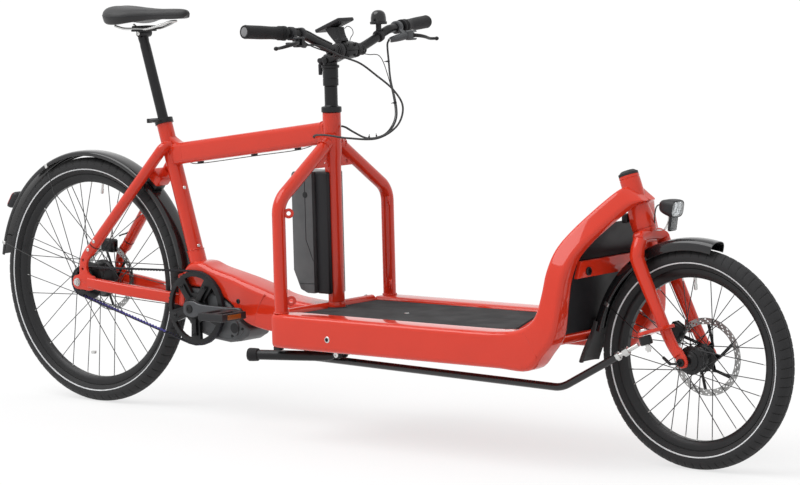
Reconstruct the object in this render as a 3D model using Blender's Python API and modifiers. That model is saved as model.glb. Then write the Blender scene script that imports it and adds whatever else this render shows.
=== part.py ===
"""Electric cargo bike: a low platform between a 26 inch rear wheel and a 20 inch front wheel.

Metres, +Z up, +X towards the nose and +Y to the rider's left. Places along X are written from the
rear axle, and the empty that carries every piece moves them so that the middle of the bike is at 0.
"""

import math

import bmesh
import bpy
from mathutils import Matrix, Vector

# Clearances
GAP = 0.0003
RUNNING = 0.0005
LOOSE = 0.0015

# Wheels and tyres
WHEELBASE = 1.925
REAR_R = 0.330
FRONT_R = 0.253
TYRE_WIDTH = 0.048
TYRE_DEPTH = 0.050
RIM_WIDTH = 0.027
RIM_DEPTH = 0.0215
SPOKE_R = 0.0010
SPOKES = 32
REAR_STEPS = 36
FRONT_STEPS = 28
REAR_FLANGE_R = 0.051
REAR_FLANGE_Y = 0.027
REAR_HUB_HALF = 0.055
REAR_SHELL_R = 0.045
FRONT_FLANGE_R = 0.029
FRONT_FLANGE_Y = 0.024
FRONT_HUB_HALF = 0.040
FRONT_SHELL_R = 0.021
AXLE_R = 0.006
ROTOR_R = 0.090
ROTOR_THICK = 0.002
REAR_ROTOR_Y = 0.050
FRONT_ROTOR_Y = 0.0420

# Mudguards
GUARD_GAP = 0.017
GUARD_WALL = 0.003
GUARD_WIDTH = 0.056
REAR_GUARD_END = 171.0
FRONT_GUARD_GAP = 0.022

# Belt drive
BELT_PITCH = 0.011
RING_TEETH = 55
SPROCKET_TEETH = 22
BELT_WIDTH = 0.011
BELT_Y = -0.050
BELT_BACK = 0.0020
TOOTH_DEPTH = 0.0034
TIP_BELOW_PITCH = 0.0003

# Cranks and pedals
CRANK_X = REAR_R + 0.084
CRANK_Z = 0.283
CRANK_LENGTH = 0.170
CRANK_INNER_Y = 0.064
CRANK_THICK = 0.013
SPINDLE_R = 0.011
PEDAL_LENGTH = 0.088
PEDAL_DEPTH = 0.084
PEDAL_HEIGHT = 0.020

# Rear frame
SEAT_TUBE_LEAN = 0.297
SEAT_TUBE_X_R = 0.020
SEAT_TUBE_Y_R = 0.022
TOP_TUBE_REAR_Z = 0.675
SEAT_TUBE_TOP_Z = TOP_TUBE_REAR_Z + 0.080
TOP_TUBE_FRONT_Z = 0.7465
TOP_TUBE_HEIGHT = 0.056
TOP_TUBE_WIDTH = 0.040
TOP_TUBE_SPLIT = CRANK_X - 0.064
SOCKET_Z = 0.428
YOKE_HALF = 0.042
YOKE_X = CRANK_X - 0.061
YOKE_LENGTH = 0.022
STAY_Y = 0.068
SEAT_STAY_R = 0.0145
DROPOUT_THICK = 0.008

# Steering column and arch
COLUMN_X = CRANK_X + 0.438
TOP_TUBE_END = COLUMN_X - 0.052
HEAD_TOP_Z = 0.795
HEAD_TUBE_R = 0.023
CENTRE_TUBE_R = 0.0205
COLUMN_R = 0.0143
ARCH_Y = 0.209
ARCH_R = 0.0165
ARCH_KNEE_Z = 0.588
ARCH_TOP_Z = 0.733
ARCH_BEND = 0.060
ARCH_SPLIT = 0.42
CUP_TOP_Z = 0.322

# Platform
DECK_HALF = 0.233
RAIL_WIDTH = 0.070
RAIL_BOTTOM = 0.231
RAIL_TOP = 0.315
DECK_TOP = 0.303
MAT_THICK = 0.0035
FLOOR_THICK = 0.0115
RAIL_REAR_X = COLUMN_X - 0.014

# Front end
HEAD_ANGLE = math.radians(71.0)
FRONT_HEAD_TOP_X = WHEELBASE - 0.179
FRONT_HEAD_TOP_Z = 2 * FRONT_R + 0.159
FRONT_HEAD_LENGTH = 0.128
FRONT_HEAD_R = 0.0240
FRONT_HEAD_LOW_R = 0.0285
FORK_LEG_Y = 0.060
FORK_LEG_R = 0.0165
FORK_TIP_R = 0.012

# Steering linkage
ARM_LENGTH = 0.115
ROD_R = 0.009
ROD_REAR_Z = 0.196
ROD_BEND = (WHEELBASE - 0.262, -0.162, 0.189)
ROD_FRONT_Z = 0.307
PIN_R = 0.005

# Battery
BATTERY_REAR = COLUMN_X - 0.104
BATTERY_FRONT = COLUMN_X - 0.037
BATTERY_HALF = 0.041

# Cockpit
QUILL_R = 0.0103
STEM_BASE_Z = HEAD_TOP_Z + 0.066
BAR_CLAMP_X = COLUMN_X + 0.053
BAR_CLAMP_Z = HEAD_TOP_Z + 0.155
BAR_R = 0.011
BAR_CLAMP_R = 0.0159
GRIP_START = (BAR_CLAMP_X - 0.005, 0.222, BAR_CLAMP_Z + 0.050)
GRIP_END = (BAR_CLAMP_X - 0.021, 0.344, BAR_CLAMP_Z + 0.058)
GRIP_R = 0.0165
BLADE_ROUTE = (
    (0, 0, 0),
    (0.010, 0.016, -0.002),
    (0.010, 0.040, -0.006),
    (0.004, 0.066, -0.011),
    (0.008, 0.088, -0.012),
)
HOSE_R = 0.0025

# Saddle
SEATPOST_R = 0.0136
SADDLE_REAR_X = CRANK_X - 0.314
SADDLE_WIDTH = 0.146
SADDLE_HALF_SECTION = (
    (0.36, 0.97),
    (0.68, 0.88),
    (0.90, 0.70),
    (1.0, 0.45),
    (0.97, 0.20),
    (0.86, 0.0),
    (0.45, 0.06),
)
SADDLE_SECTION = (
    (0.0, 1.0),
    *SADDLE_HALF_SECTION,
    (0.0, 0.10),
    *((-across, up) for across, up in reversed(SADDLE_HALF_SECTION)),
)

# Kickstand
STAND_X = COLUMN_X + 0.133
STAND_Z = 0.216
STAND_Y = 0.146
STAND_FOOT_X = COLUMN_X - 0.103
STAND_FOOT_Y = 0.215
STAND_FOOT_Z = 0.2065
STAND_R = 0.0125
STAND_SHAFT_R = 0.006

# Middle of the bike, from the rear axle
REAR_REACH = (REAR_R + GUARD_GAP + GUARD_WALL) * math.cos(math.radians(180 - REAR_GUARD_END))
MIDDLE_X = (WHEELBASE + FRONT_R - REAR_REACH) / 2

# Colours: base colour, roughness, metallic
FINISHES = {
    "frame_paint": ((0.62, 0.055, 0.022), 0.28, 0.0),
    "black_paint": ((0.012, 0.012, 0.013), 0.35, 0.0),
    "black_plastic": ((0.022, 0.022, 0.024), 0.55, 0.0),
    "motor_grey": ((0.085, 0.09, 0.095), 0.5, 0.0),
    "rubber": ((0.028, 0.028, 0.029), 0.85, 0.0),
    "mat": ((0.065, 0.065, 0.066), 0.95, 0.0),
    "black_metal": ((0.018, 0.018, 0.02), 0.38, 0.7),
    "grey_metal": ((0.13, 0.135, 0.14), 0.4, 0.8),
    "steel": ((0.58, 0.58, 0.57), 0.3, 1.0),
    "belt": ((0.02, 0.02, 0.024), 0.7, 0.0),
}

COLLECTIONS = {}
ORIGIN = []


def clear_scene():
    for obj in list(bpy.data.objects):
        bpy.data.objects.remove(obj, do_unlink=True)
    for name in ("electric_cargo_bike", "cutters"):
        group = bpy.data.collections.new(name)
        bpy.context.scene.collection.children.link(group)
        COLLECTIONS[name] = group
    empty = bpy.data.objects.new("bike_origin", None)
    empty.location = (-MIDDLE_X, 0, 0)
    bpy.context.scene.collection.objects.link(empty)
    bpy.context.view_layer.update()
    ORIGIN.append(empty)


def material(name):
    found = bpy.data.materials.get(name)
    if found:
        return found
    colour, roughness, metallic = FINISHES[name]
    made = bpy.data.materials.new(name)
    made.use_nodes = True
    shader = made.node_tree.nodes["Principled BSDF"]
    shader.inputs["Base Color"].default_value = (*colour, 1)
    shader.inputs["Roughness"].default_value = roughness
    shader.inputs["Metallic"].default_value = metallic
    return made


def place(name, data, finish, at=(0, 0, 0), turn=None):
    """Links a piece, or a cutter when it has no finish, with its origin at a point from the rear axle."""
    obj = bpy.data.objects.new(name, data)
    obj.parent = ORIGIN[0]
    obj.location = at
    if turn is not None:
        obj.rotation_euler = turn
    if finish:
        data.materials.append(material(finish))
        COLLECTIONS["electric_cargo_bike"].objects.link(obj)
    else:
        COLLECTIONS["cutters"].objects.link(obj)
        obj.hide_render = True
        obj.display_type = "WIRE"
    return obj


def finish_mesh(name, bm, at=(0, 0, 0), smooth=40):
    """A bmesh written from the rear axle, made a mesh whose zero is the piece's own origin."""
    bmesh.ops.remove_doubles(bm, verts=bm.verts, dist=0.00001)
    bmesh.ops.translate(bm, verts=bm.verts, vec=-Vector(at))
    bmesh.ops.recalc_face_normals(bm, faces=bm.faces)
    mesh = bpy.data.meshes.new(name)
    bm.to_mesh(mesh)
    bm.free()
    mesh.shade_smooth()
    mesh.set_sharp_from_angle(angle=math.radians(smooth))
    return mesh


def aim(direction, up=(0, 0, 1)):
    """Rotation whose Z runs along direction, with Y kept near up."""
    z = Vector(direction).normalized()
    x = Vector(up).cross(z)
    if x.length < 1e-6:
        x = Vector((1, 0, 0)).cross(z)
    x.normalize()
    y = z.cross(x)
    return Matrix((x, y, z)).transposed().to_4x4()


def add_cone(bm, start, end, r_start, r_end=None, sides=10, flat=1.0):
    """A capped cone or cylinder between two points, which may be flattened across."""
    start, end = Vector(start), Vector(end)
    along = end - start
    matrix = Matrix.Translation((start + end) / 2) @ aim(along) @ Matrix.Diagonal((flat, 1, 1, 1))
    bmesh.ops.create_cone(
        bm,
        cap_ends=True,
        segments=sides,
        radius1=r_start,
        radius2=r_start if r_end is None else r_end,
        depth=along.length,
        matrix=matrix,
    )


def cylinder(name, start, end, radius, finish=None, at=(0, 0, 0), sides=10, r_end=None, flat=1.0):
    bm = bmesh.new()
    add_cone(bm, start, end, radius, r_end, sides, flat)
    return place(name, finish_mesh(name, bm, at), finish, at)


def bore(name, start, end, radius, at=(0, 0, 0), sides=12):
    """A cutter whose flats lie at the radius, so that a round shaft of that radius fits inside."""
    return cylinder(name, start, end, radius / math.cos(math.pi / sides), None, at, sides)


def box(name, centre, size, finish=None, at=(0, 0, 0), bevel=0.0, turn=None):
    bm = bmesh.new()
    matrix = Matrix.Translation(Vector(centre))
    if turn is not None:
        matrix = matrix @ turn.to_4x4()
    bmesh.ops.create_cube(bm, size=1.0, matrix=matrix @ Matrix.Diagonal((*size, 1)))
    if bevel:
        bmesh.ops.bevel(bm, geom=bm.edges[:], offset=bevel, segments=1, affect="EDGES", profile=0.5)
    return place(name, finish_mesh(name, bm, at), finish, at)


def turned(name, profile, centre, axis, finish=None, steps=16, closed=False, at=None):
    """A profile of (radius, height) spun about an axis through centre."""
    at = centre if at is None else at
    bm = bmesh.new()
    points = [bm.verts.new((r, 0, h)) for r, h in profile]
    edges = [bm.edges.new(pair) for pair in zip(points, points[1:])]
    if closed:
        edges.append(bm.edges.new((points[-1], points[0])))
    bmesh.ops.spin(
        bm,
        geom=points + edges,
        cent=(0, 0, 0),
        axis=(0, 0, 1),
        angle=math.tau,
        steps=steps,
        use_merge=True,
        use_duplicate=False,
    )
    bmesh.ops.transform(bm, verts=bm.verts, matrix=Matrix.Translation(Vector(centre)) @ aim(axis))
    return place(name, finish_mesh(name, bm, at, 35), finish, at)


def plate(name, loops, thickness, matrix, finish=None, at=(0, 0, 0)):
    """A flat outline with holes, centred on its thickness; matrix takes its plane into the bike."""
    curve = bpy.data.curves.new(name, "CURVE")
    curve.dimensions = "2D"
    curve.fill_mode = "BOTH"
    curve.extrude = thickness / 2
    for loop in loops:
        spline = curve.splines.new("POLY")
        spline.points.add(len(loop) - 1)
        spline.use_cyclic_u = True
        for point, (x, y) in zip(spline.points, loop):
            point.co = (x, y, 0, 1)
    return solid_of_curve(name, curve, matrix, finish, at)


def tube(name, points, radius, finish=None, at=(0, 0, 0), resolution=2, radii=None):
    """A round tube through points, as a poly curve made a mesh."""
    curve = bpy.data.curves.new(name, "CURVE")
    curve.dimensions = "3D"
    curve.bevel_depth = radius
    curve.bevel_resolution = resolution
    curve.use_fill_caps = True
    spline = curve.splines.new("POLY")
    spline.points.add(len(points) - 1)
    for i, co in enumerate(points):
        spline.points[i].co = (*co, 1)
        spline.points[i].radius = radii[i] if radii else 1.0
    return solid_of_curve(name, curve, Matrix.Identity(4), finish, at)


def solid_of_curve(name, curve, matrix, finish, at):
    source = bpy.data.objects.new(name + "_curve", curve)
    bpy.context.scene.collection.objects.link(source)
    depsgraph = bpy.context.evaluated_depsgraph_get()
    mesh = bpy.data.meshes.new_from_object(source.evaluated_get(depsgraph))
    bpy.data.objects.remove(source, do_unlink=True)
    bm = bmesh.new()
    bm.from_mesh(mesh)
    bpy.data.meshes.remove(mesh)
    bmesh.ops.transform(bm, verts=bm.verts, matrix=matrix)
    return place(name, finish_mesh(name, bm, at, 35), finish, at)


def loft(name, rings, finish=None, at=(0, 0, 0), smooth=40):
    """A closed skin over rings of the same number of points."""
    bm = bmesh.new()
    rows = [[bm.verts.new(co) for co in ring] for ring in rings]
    count = len(rows[0])
    for row, following in zip(rows, rows[1:]):
        for i in range(count):
            j = (i + 1) % count
            bm.faces.new((row[i], row[j], following[j], following[i]))
    bm.faces.new(rows[0])
    bm.faces.new(rows[-1])
    return place(name, finish_mesh(name, bm, at, smooth), finish, at)


def rounded_ring(centre, half_u, half_v, corner, per_corner=3):
    """A rounded rectangle about centre, with half sides given as vectors."""
    centre, u, v = Vector(centre), Vector(half_u), Vector(half_v)
    ring = []
    for quarter, (su, sv) in enumerate(((1, 1), (-1, 1), (-1, -1), (1, -1))):
        for k in range(per_corner):
            angle = math.pi / 2 * (quarter + k / (per_corner - 1))
            ring.append(
                centre
                + u.normalized() * (su * (u.length - corner) + corner * math.cos(angle))
                + v.normalized() * (sv * (v.length - corner) + corner * math.sin(angle))
            )
    return ring


def circle(radius, count, centre=(0, 0), phase=0.0):
    """Points of a circle in a plane."""
    return [
        (
            centre[0] + radius * math.cos(phase + math.tau * k / count),
            centre[1] + radius * math.sin(phase + math.tau * k / count),
        )
        for k in range(count)
    ]


def arc(radius, start, end, count, centre=(0, 0)):
    """Points of an arc in a plane, with both ends, angles in radians."""
    return [
        (
            centre[0] + radius * math.cos(start + (end - start) * k / (count - 1)),
            centre[1] + radius * math.sin(start + (end - start) * k / (count - 1)),
        )
        for k in range(count)
    ]


def boolean(target, others, operation):
    for other in others:
        change = target.modifiers.new(operation.lower(), "BOOLEAN")
        change.operation = operation
        change.solver = "EXACT"
        change.object = other


def join(target, *others):
    boolean(target, others, "UNION")


def cut(target, *others):
    boolean(target, others, "DIFFERENCE")


def mirrored(points):
    return [(x, -y, z) for x, y, z in points]


def smooth_path(points, spacing):
    """Even points along a smooth curve through the route's own points."""
    route = [Vector(p) for p in points]
    padded = [2 * route[0] - route[1], *route, 2 * route[-1] - route[-2]]
    fine = []
    for a, b, c, d in zip(padded, padded[1:], padded[2:], padded[3:]):
        for k in range(24):
            t = k / 24
            fine.append(
                0.5
                * (
                    2 * b
                    + (c - a) * t
                    + (2 * a - 5 * b + 4 * c - d) * t * t
                    + (3 * b - a - 3 * c + d) * t * t * t
                )
            )
    fine.append(route[-1])
    total = sum((q - p).length for p, q in zip(fine, fine[1:]))
    count = max(2, round(total / spacing))
    even = [fine[0]]
    walked = 0.0
    for p, q in zip(fine, fine[1:]):
        step = (q - p).length
        while len(even) < count and walked + step >= total * len(even) / count:
            even.append(p.lerp(q, (total * len(even) / count - walked) / step))
        walked += step
    even.append(fine[-1])
    return even


SIDE_PLANE = Matrix(((1, 0, 0, 0), (0, 0, -1, 0), (0, 1, 0, 0), (0, 0, 0, 1)))


def side_plane(x, y, z):
    """A plane whose X is the bike's X and whose Y is up, at a point."""
    return Matrix.Translation((x, y, z)) @ SIDE_PLANE


def front_plane(x, y, z):
    """A plane whose X is the bike's Y and whose Y is up, at a point."""
    turn = Matrix(((0, 0, 1, 0), (1, 0, 0, 0), (0, 1, 0, 0), (0, 0, 0, 1)))
    return Matrix.Translation((x, y, z)) @ turn


# Wheels


def tyre(name, radius, x, steps):
    bead_r = radius - TYRE_DEPTH
    half = TYRE_WIDTH / 2
    bead = RIM_WIDTH / 2 - 0.0035
    side = [
        (radius - 0.0045, half * 0.58),
        (radius - 0.0165, half),
        (radius - 0.0310, half),
        (bead_r + 0.0062, bead),
    ]
    other = [(r, -h) for r, h in reversed(side)]
    profile = [(radius, 0), *side, (bead_r, bead), (bead_r, -bead), *other]
    return turned(name, profile, (x, 0, radius), (0, -1, 0), "rubber", steps, closed=True)


def rim_profile(radius):
    """The rim's section, whose floor lies a gap under the tyre's bead."""
    floor = radius - TYRE_DEPTH - GAP
    lip = floor + 0.0058
    half = RIM_WIDTH / 2
    inner = floor - RIM_DEPTH + 0.0058
    right = [(floor, half - 0.0032), (lip, half - 0.0010), (floor - 0.003, half), (inner, 0.006)]
    return right + [(r, -h) for r, h in reversed(right)]


def spokes(name, x, radius, flange_r, flange_y, rim_r):
    """Crossed spokes from both flanges to the rim, as one cutter that is joined to the wheel."""
    bm = bmesh.new()
    per_side = SPOKES // 2
    for side in (-1, 1):
        for k in range(per_side):
            lead = 1 if k % 2 else -1
            rim_angle = math.tau * (k + (0.5 if side > 0 else 0)) / per_side
            hub_angle = rim_angle - lead * math.tau * 3 / per_side
            y_hub = side * flange_y + lead * 0.0019
            start = (flange_r - 0.004, hub_angle, y_hub)
            end = (rim_r + 0.003, rim_angle, side * 0.003 + lead * 0.0012)
            ends = [Vector((x + r * math.cos(a), y, radius + r * math.sin(a))) for r, a, y in (start, end)]
            add_cone(bm, *ends, SPOKE_R, sides=3)
    return place(name, finish_mesh(name, bm, (x, 0, radius)), None, (x, 0, radius))


def wheel(name, x, radius, steps, hub, flange_r, flange_y):
    """Rim, spokes and hub of one wheel, laced into one piece."""
    rim = turned(name, rim_profile(radius), (x, 0, radius), (0, -1, 0), "black_metal", steps, closed=True)
    shell = turned(name + "_hub", hub, (x, 0, radius), (0, -1, 0), None, 12)
    shaft = bore(name + "_bore", (x, -0.09, radius), (x, 0.09, radius), AXLE_R + RUNNING)
    rim_r = rim_profile(radius)[3][0]
    laced = spokes(name + "_spokes", x, radius, flange_r, flange_y, rim_r)
    join(shell, laced)
    join(rim, shell)
    cut(rim, shaft)
    return rim


def rotor(name, x, y, radius, phase):
    """Brake disc: an outer band on six slanted arms, with vents in the band."""
    band = ROTOR_R - 0.0165
    loops = [circle(ROTOR_R, 32), circle(0.0105, 12)]
    for k in range(6):
        a = phase + math.tau * k / 6
        lean = 0.30
        loops.append(
            [
                (0.031 * math.cos(a + 0.16), 0.031 * math.sin(a + 0.16)),
                *arc(band - 0.002, a + 0.09 + lean, a + 0.92 + lean, 4),
                (0.031 * math.cos(a + 0.80), 0.031 * math.sin(a + 0.80)),
            ]
        )
    for k in range(12):
        a = phase + math.tau * (k + 0.5) / 12
        mid = ROTOR_R - 0.0078 + 0.0026 * (-1 if k % 2 else 1)
        loops.append(circle(0.0024, 4, (mid * math.cos(a), mid * math.sin(a)), a))
    matrix = side_plane(x, y, radius)
    return plate(name, loops, ROTOR_THICK, matrix, "steel", (x, 0, radius))


def rear_wheel():
    tyre("rear_tyre", REAR_R, 0, REAR_STEPS)
    flange = REAR_FLANGE_Y
    hub = [
        (0, REAR_HUB_HALF - 0.014),
        (0.020, REAR_HUB_HALF - 0.014),
        (0.030, flange + 0.008),
        (REAR_FLANGE_R, flange + 0.003),
        (REAR_FLANGE_R, flange - 0.003),
        (REAR_SHELL_R, flange - 0.008),
        (REAR_SHELL_R, -flange + 0.008),
        (REAR_FLANGE_R, -flange + 0.003),
        (REAR_FLANGE_R, -flange - 0.003),
        (0.030, -flange - 0.008),
        (0.020, -REAR_ROTOR_Y + ROTOR_THICK / 2 + GAP),
        (0, -REAR_ROTOR_Y + ROTOR_THICK / 2 + GAP),
    ]
    wheel("rear_wheel", 0, REAR_R, REAR_STEPS, hub, REAR_FLANGE_R, REAR_FLANGE_Y)
    rotor("rear_rotor", 0, REAR_ROTOR_Y, REAR_R, 0.2)


def front_wheel():
    tyre("front_tyre", FRONT_R, WHEELBASE, FRONT_STEPS)
    flange = FRONT_FLANGE_Y
    hub = [
        (0, FRONT_HUB_HALF),
        (0.012, FRONT_HUB_HALF),
        (0.015, flange + 0.008),
        (FRONT_FLANGE_R, flange + 0.003),
        (FRONT_FLANGE_R, flange - 0.003),
        (FRONT_SHELL_R, flange - 0.008),
        (FRONT_SHELL_R, -flange + 0.008),
        (FRONT_FLANGE_R, -flange + 0.003),
        (FRONT_FLANGE_R, -flange - 0.003),
        (0.022, -flange - 0.008),
        (0.022, -FRONT_ROTOR_Y + ROTOR_THICK / 2 + GAP),
        (0, -FRONT_ROTOR_Y + ROTOR_THICK / 2 + GAP),
    ]
    wheel("front_wheel", WHEELBASE, FRONT_R, FRONT_STEPS, hub, FRONT_FLANGE_R, FRONT_FLANGE_Y)
    rotor("front_rotor", WHEELBASE, FRONT_ROTOR_Y, FRONT_R, 0.0)


def guard(name, centre, angles, radii):
    """A crowned mudguard blade over angles in degrees, counted from the nose side over the top."""
    half = GUARD_WIDTH / 2
    rings = []
    for angle, outer in zip(angles, radii):
        a = math.radians(angle)
        ring = []
        for drop, y in (
            (0.0105, -half),
            (0, -half * 0.55),
            (0, half * 0.55),
            (0.0105, half),
            (0.0105 + GUARD_WALL, half - 0.002),
            (GUARD_WALL, half * 0.47),
            (GUARD_WALL, -half * 0.47),
            (0.0105 + GUARD_WALL, -half + 0.002),
        ):
            r = outer - drop
            ring.append((centre[0] + r * math.cos(a), y, centre[1] + r * math.sin(a)))
        rings.append(ring)
    return loft(name, rings, "black_paint", smooth=50)


def rear_mudguard():
    """The long blade over the rear wheel, with two wires a side to the dropouts."""
    outer = REAR_R + GUARD_GAP + GUARD_WALL
    count = 24
    angles = [8 + (REAR_GUARD_END - 8) * k / (count - 1) for k in range(count)]
    body = guard("rear_mudguard", (0, REAR_R), angles, [outer] * count)
    for k, angle in enumerate((116, 165)):
        a = math.radians(angle)
        for side in (-1, 1):
            edge = ((outer - 0.0108) * math.cos(a), side * 0.0255, REAR_R + (outer - 0.0108) * math.sin(a))
            knee = ((outer - 0.040) * math.cos(a), side * 0.040, REAR_R + (outer - 0.040) * math.sin(a))
            foot = (-0.0125 - 0.006 * k, side * 0.0600, REAR_R + 0.022 - 0.018 * k)
            join(body, tube(f"rear_guard_wire_{k}_{side}", [edge, knee, foot], 0.0018, resolution=0))
    return body


def rear_light():
    a = math.radians(145.5)
    outer = REAR_R + GUARD_GAP + GUARD_WALL
    out = Vector((math.cos(a), 0, math.sin(a)))
    along = Vector((-math.sin(a), 0, math.cos(a)))
    base = Vector((0, 0, REAR_R)) + out * (outer + 0.0012)
    side = Vector((0, 1, 0))
    rings = [
        rounded_ring(base, side * 0.017, along * 0.019, 0.006),
        rounded_ring(base + out * 0.010 - Vector((0.004, 0, 0)), side * 0.021, along * 0.026, 0.008),
        rounded_ring(base + out * 0.016 - Vector((0.012, 0, 0.002)), side * 0.019, along * 0.025, 0.008),
    ]
    return loft("rear_light", rings, "black_plastic")


# Belt drive


def pitch_radius(teeth):
    return teeth * BELT_PITCH / math.tau


def toothed_circle(teeth, phase):
    """Tips and valleys of a belt pulley."""
    tip = pitch_radius(teeth) - TIP_BELOW_PITCH
    points = []
    for k in range(teeth):
        for half, r in ((0, tip - TOOTH_DEPTH), (0.5, tip)):
            a = phase - math.tau * (k + half) / teeth
            points.append((r * math.cos(a), r * math.sin(a)))
    return points


def belt_geometry():
    """Centre distance, slope of the centre line, wrap angle and whole length of the belt."""
    dx, dz = CRANK_X, CRANK_Z - REAR_R
    distance = math.hypot(dx, dz)
    slope = math.atan2(dz, dx)
    big, small = pitch_radius(RING_TEETH), pitch_radius(SPROCKET_TEETH)
    wrap = math.asin((big - small) / distance)
    straight = distance * math.cos(wrap)
    length = 2 * straight + math.pi * (big + small) + 2 * wrap * (big - small)
    return slope, wrap, straight, length, big, small


def belt_point(s, offset):
    """Point of the belt at run s from the ring's upper tangent, offset outwards from the pitch line."""
    slope, wrap, straight, length, big, small = belt_geometry()
    ring_arc = (math.pi + 2 * wrap) * big
    cog_arc = (math.pi - 2 * wrap) * small
    top = slope + math.pi / 2 + wrap
    ring_centre = Vector((CRANK_X, CRANK_Z))
    cog_centre = Vector((0, REAR_R))
    s %= length
    if s < ring_arc:
        a = top - s / big
        return ring_centre + Vector((math.cos(a), math.sin(a))) * (big + offset)
    s -= ring_arc
    low = top - math.pi - 2 * wrap
    if s < straight:
        normal = Vector((math.cos(low), math.sin(low)))
        start = ring_centre + normal * (big + offset)
        end = cog_centre + normal * (small + offset)
        return start.lerp(end, s / straight)
    s -= straight
    if s < cog_arc:
        a = low - s / small
        return cog_centre + Vector((math.cos(a), math.sin(a))) * (small + offset)
    s -= cog_arc
    normal = Vector((math.cos(top), math.sin(top)))
    start = cog_centre + normal * (small + offset)
    end = ring_centre + normal * (big + offset)
    return start.lerp(end, s / straight)


def belt():
    """The toothed belt: a smooth back, and teeth that stand in the valleys of both pulleys."""
    slope, wrap, straight, length, big, small = belt_geometry()
    teeth = round(length / BELT_PITCH)
    clear = 0.00035
    inner = []
    for k in range(teeth):
        for half, offset in ((0, -TIP_BELOW_PITCH - TOOTH_DEPTH + clear), (0.5, -TIP_BELOW_PITCH + clear)):
            inner.append(tuple(belt_point(length * (k + half) / teeth, offset)))
    ring_arc = (math.pi + 2 * wrap) * big
    cog_arc = (math.pi - 2 * wrap) * small
    marks = [ring_arc * k / 14 for k in range(15)]
    marks += [ring_arc + straight + cog_arc * k / 8 for k in range(9)]
    outer = [tuple(belt_point(s, BELT_BACK)) for s in marks]
    return plate("belt", [outer, inner], BELT_WIDTH, side_plane(0, BELT_Y, 0), "belt")


def belt_ring():
    slope, wrap, straight, length, big, small = belt_geometry()
    top = slope + math.pi / 2 + wrap
    loops = [toothed_circle(RING_TEETH, top), circle(0.0175, 16)]
    for k in range(5):
        a = math.radians(18) + math.tau * k / 5
        spread = 0.43
        loops.append(
            arc(0.0825, a - spread, a + spread, 6)
            + arc(0.040, a + spread * 0.62, a - spread * 0.62, 3)
        )
    plane = side_plane(CRANK_X, BELT_Y, CRANK_Z)
    return plate("belt_ring", loops, BELT_WIDTH - 0.001, plane, "black_metal", (CRANK_X, 0, CRANK_Z))


def rear_sprocket():
    slope, wrap, straight, length, big, small = belt_geometry()
    ring_arc = (math.pi + 2 * wrap) * big
    low = slope - math.pi / 2 - wrap
    shift = (ring_arc + straight) / length * round(length / BELT_PITCH) % 1.0
    phase = low - math.tau * (1 - shift) / SPROCKET_TEETH
    loops = [toothed_circle(SPROCKET_TEETH, phase), circle(AXLE_R + 0.003, 12)]
    for k in range(6):
        a = math.tau * k / 6
        loops.append(circle(0.0045, 6, (0.025 * math.cos(a), 0.025 * math.sin(a))))
    matrix = side_plane(0, BELT_Y, REAR_R)
    return plate("rear_sprocket", loops, BELT_WIDTH - 0.001, matrix, "black_metal", (0, 0, REAR_R))


def crank_arm(name, side, pedal_x, finish=None):
    """One tapered crank arm outside the frame, from the spindle to the pedal's thread."""
    reach = math.copysign(CRANK_LENGTH, pedal_x - CRANK_X)
    y = side * (CRANK_INNER_Y + CRANK_THICK / 2)
    rings = []
    for share, half_z, half_y, shift in (
        (-0.11, 0.012, 0.0055, 0),
        (0.08, 0.0185, 0.0065, 0),
        (0.25, 0.0145, 0.0060, 0.001),
        (0.75, 0.0125, 0.0055, 0.003),
        (1.0, 0.0135, 0.0060, 0.004),
        (1.07, 0.0085, 0.0050, 0.004),
    ):
        centre = (CRANK_X + reach * share, y + side * shift, CRANK_Z)
        rings.append(rounded_ring(centre, (0, half_y, 0), (0, 0, half_z), 0.004))
    return loft(name, rings, finish, (CRANK_X, 0, CRANK_Z))


def crankset():
    """Both arms on the motor's spindle, with the spider that holds the belt ring."""
    arm = crank_arm("crankset", -1, CRANK_X + CRANK_LENGTH, "grey_metal")
    other = crank_arm("left_crank_arm", 1, CRANK_X - CRANK_LENGTH)
    inner = CRANK_INNER_Y + 0.004
    spindle = cylinder("spindle", (CRANK_X, -inner, CRANK_Z), (CRANK_X, inner, CRANK_Z), SPINDLE_R)
    outer_face = BELT_Y - (BELT_WIDTH - 0.001) / 2 - GAP
    ends = (CRANK_X, outer_face, CRANK_Z), (CRANK_X, -CRANK_INNER_Y - 0.004, CRANK_Z)
    hub = cylinder("spider_hub", *ends, 0.027, sides=16)
    join(arm, other, spindle, hub)
    for k in range(5):
        a = math.radians(18 + 36) + math.tau * k / 5
        direction = Vector((math.cos(a), 0, math.sin(a)))
        centre = Vector((CRANK_X, outer_face - 0.0035, CRANK_Z)) + direction * 0.046
        turn = Matrix.Rotation(-a, 3, "Y")
        join(arm, box(f"spider_arm_{k}", centre, (0.060, 0.007, 0.012), turn=turn))
    return arm


def pedal(name, side, x):
    """A platform pedal with a hollow middle on its spindle."""
    inner = CRANK_INNER_Y + CRANK_THICK + 0.004 + GAP
    start = side * (inner + 0.002)
    end = side * (inner + 0.010 + PEDAL_LENGTH)
    at = (x, 0, CRANK_Z)
    centre = (x, (start + end) / 2 + side * 0.004, CRANK_Z)
    size = (PEDAL_DEPTH, abs(end - start) - 0.008, PEDAL_HEIGHT)
    body = box(name, centre, size, "black_plastic", at, 0.005)
    for s in (-1, 1):
        window = box(
            f"{name}_window_{s}",
            (x + s * PEDAL_DEPTH * 0.25, centre[1], CRANK_Z),
            (PEDAL_DEPTH * 0.28, PEDAL_LENGTH * 0.62, 0.05),
        )
        cut(body, window)
    join(body, cylinder(name + "_axle", (x, start, CRANK_Z), (x, centre[1], CRANK_Z), 0.0075))
    return body


# Frame behind the column


def seat_line(z):
    """Point of the seat tube's middle at a height."""
    return Vector((CRANK_X - (z - CRANK_Z) * SEAT_TUBE_LEAN, 0, z))


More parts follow.
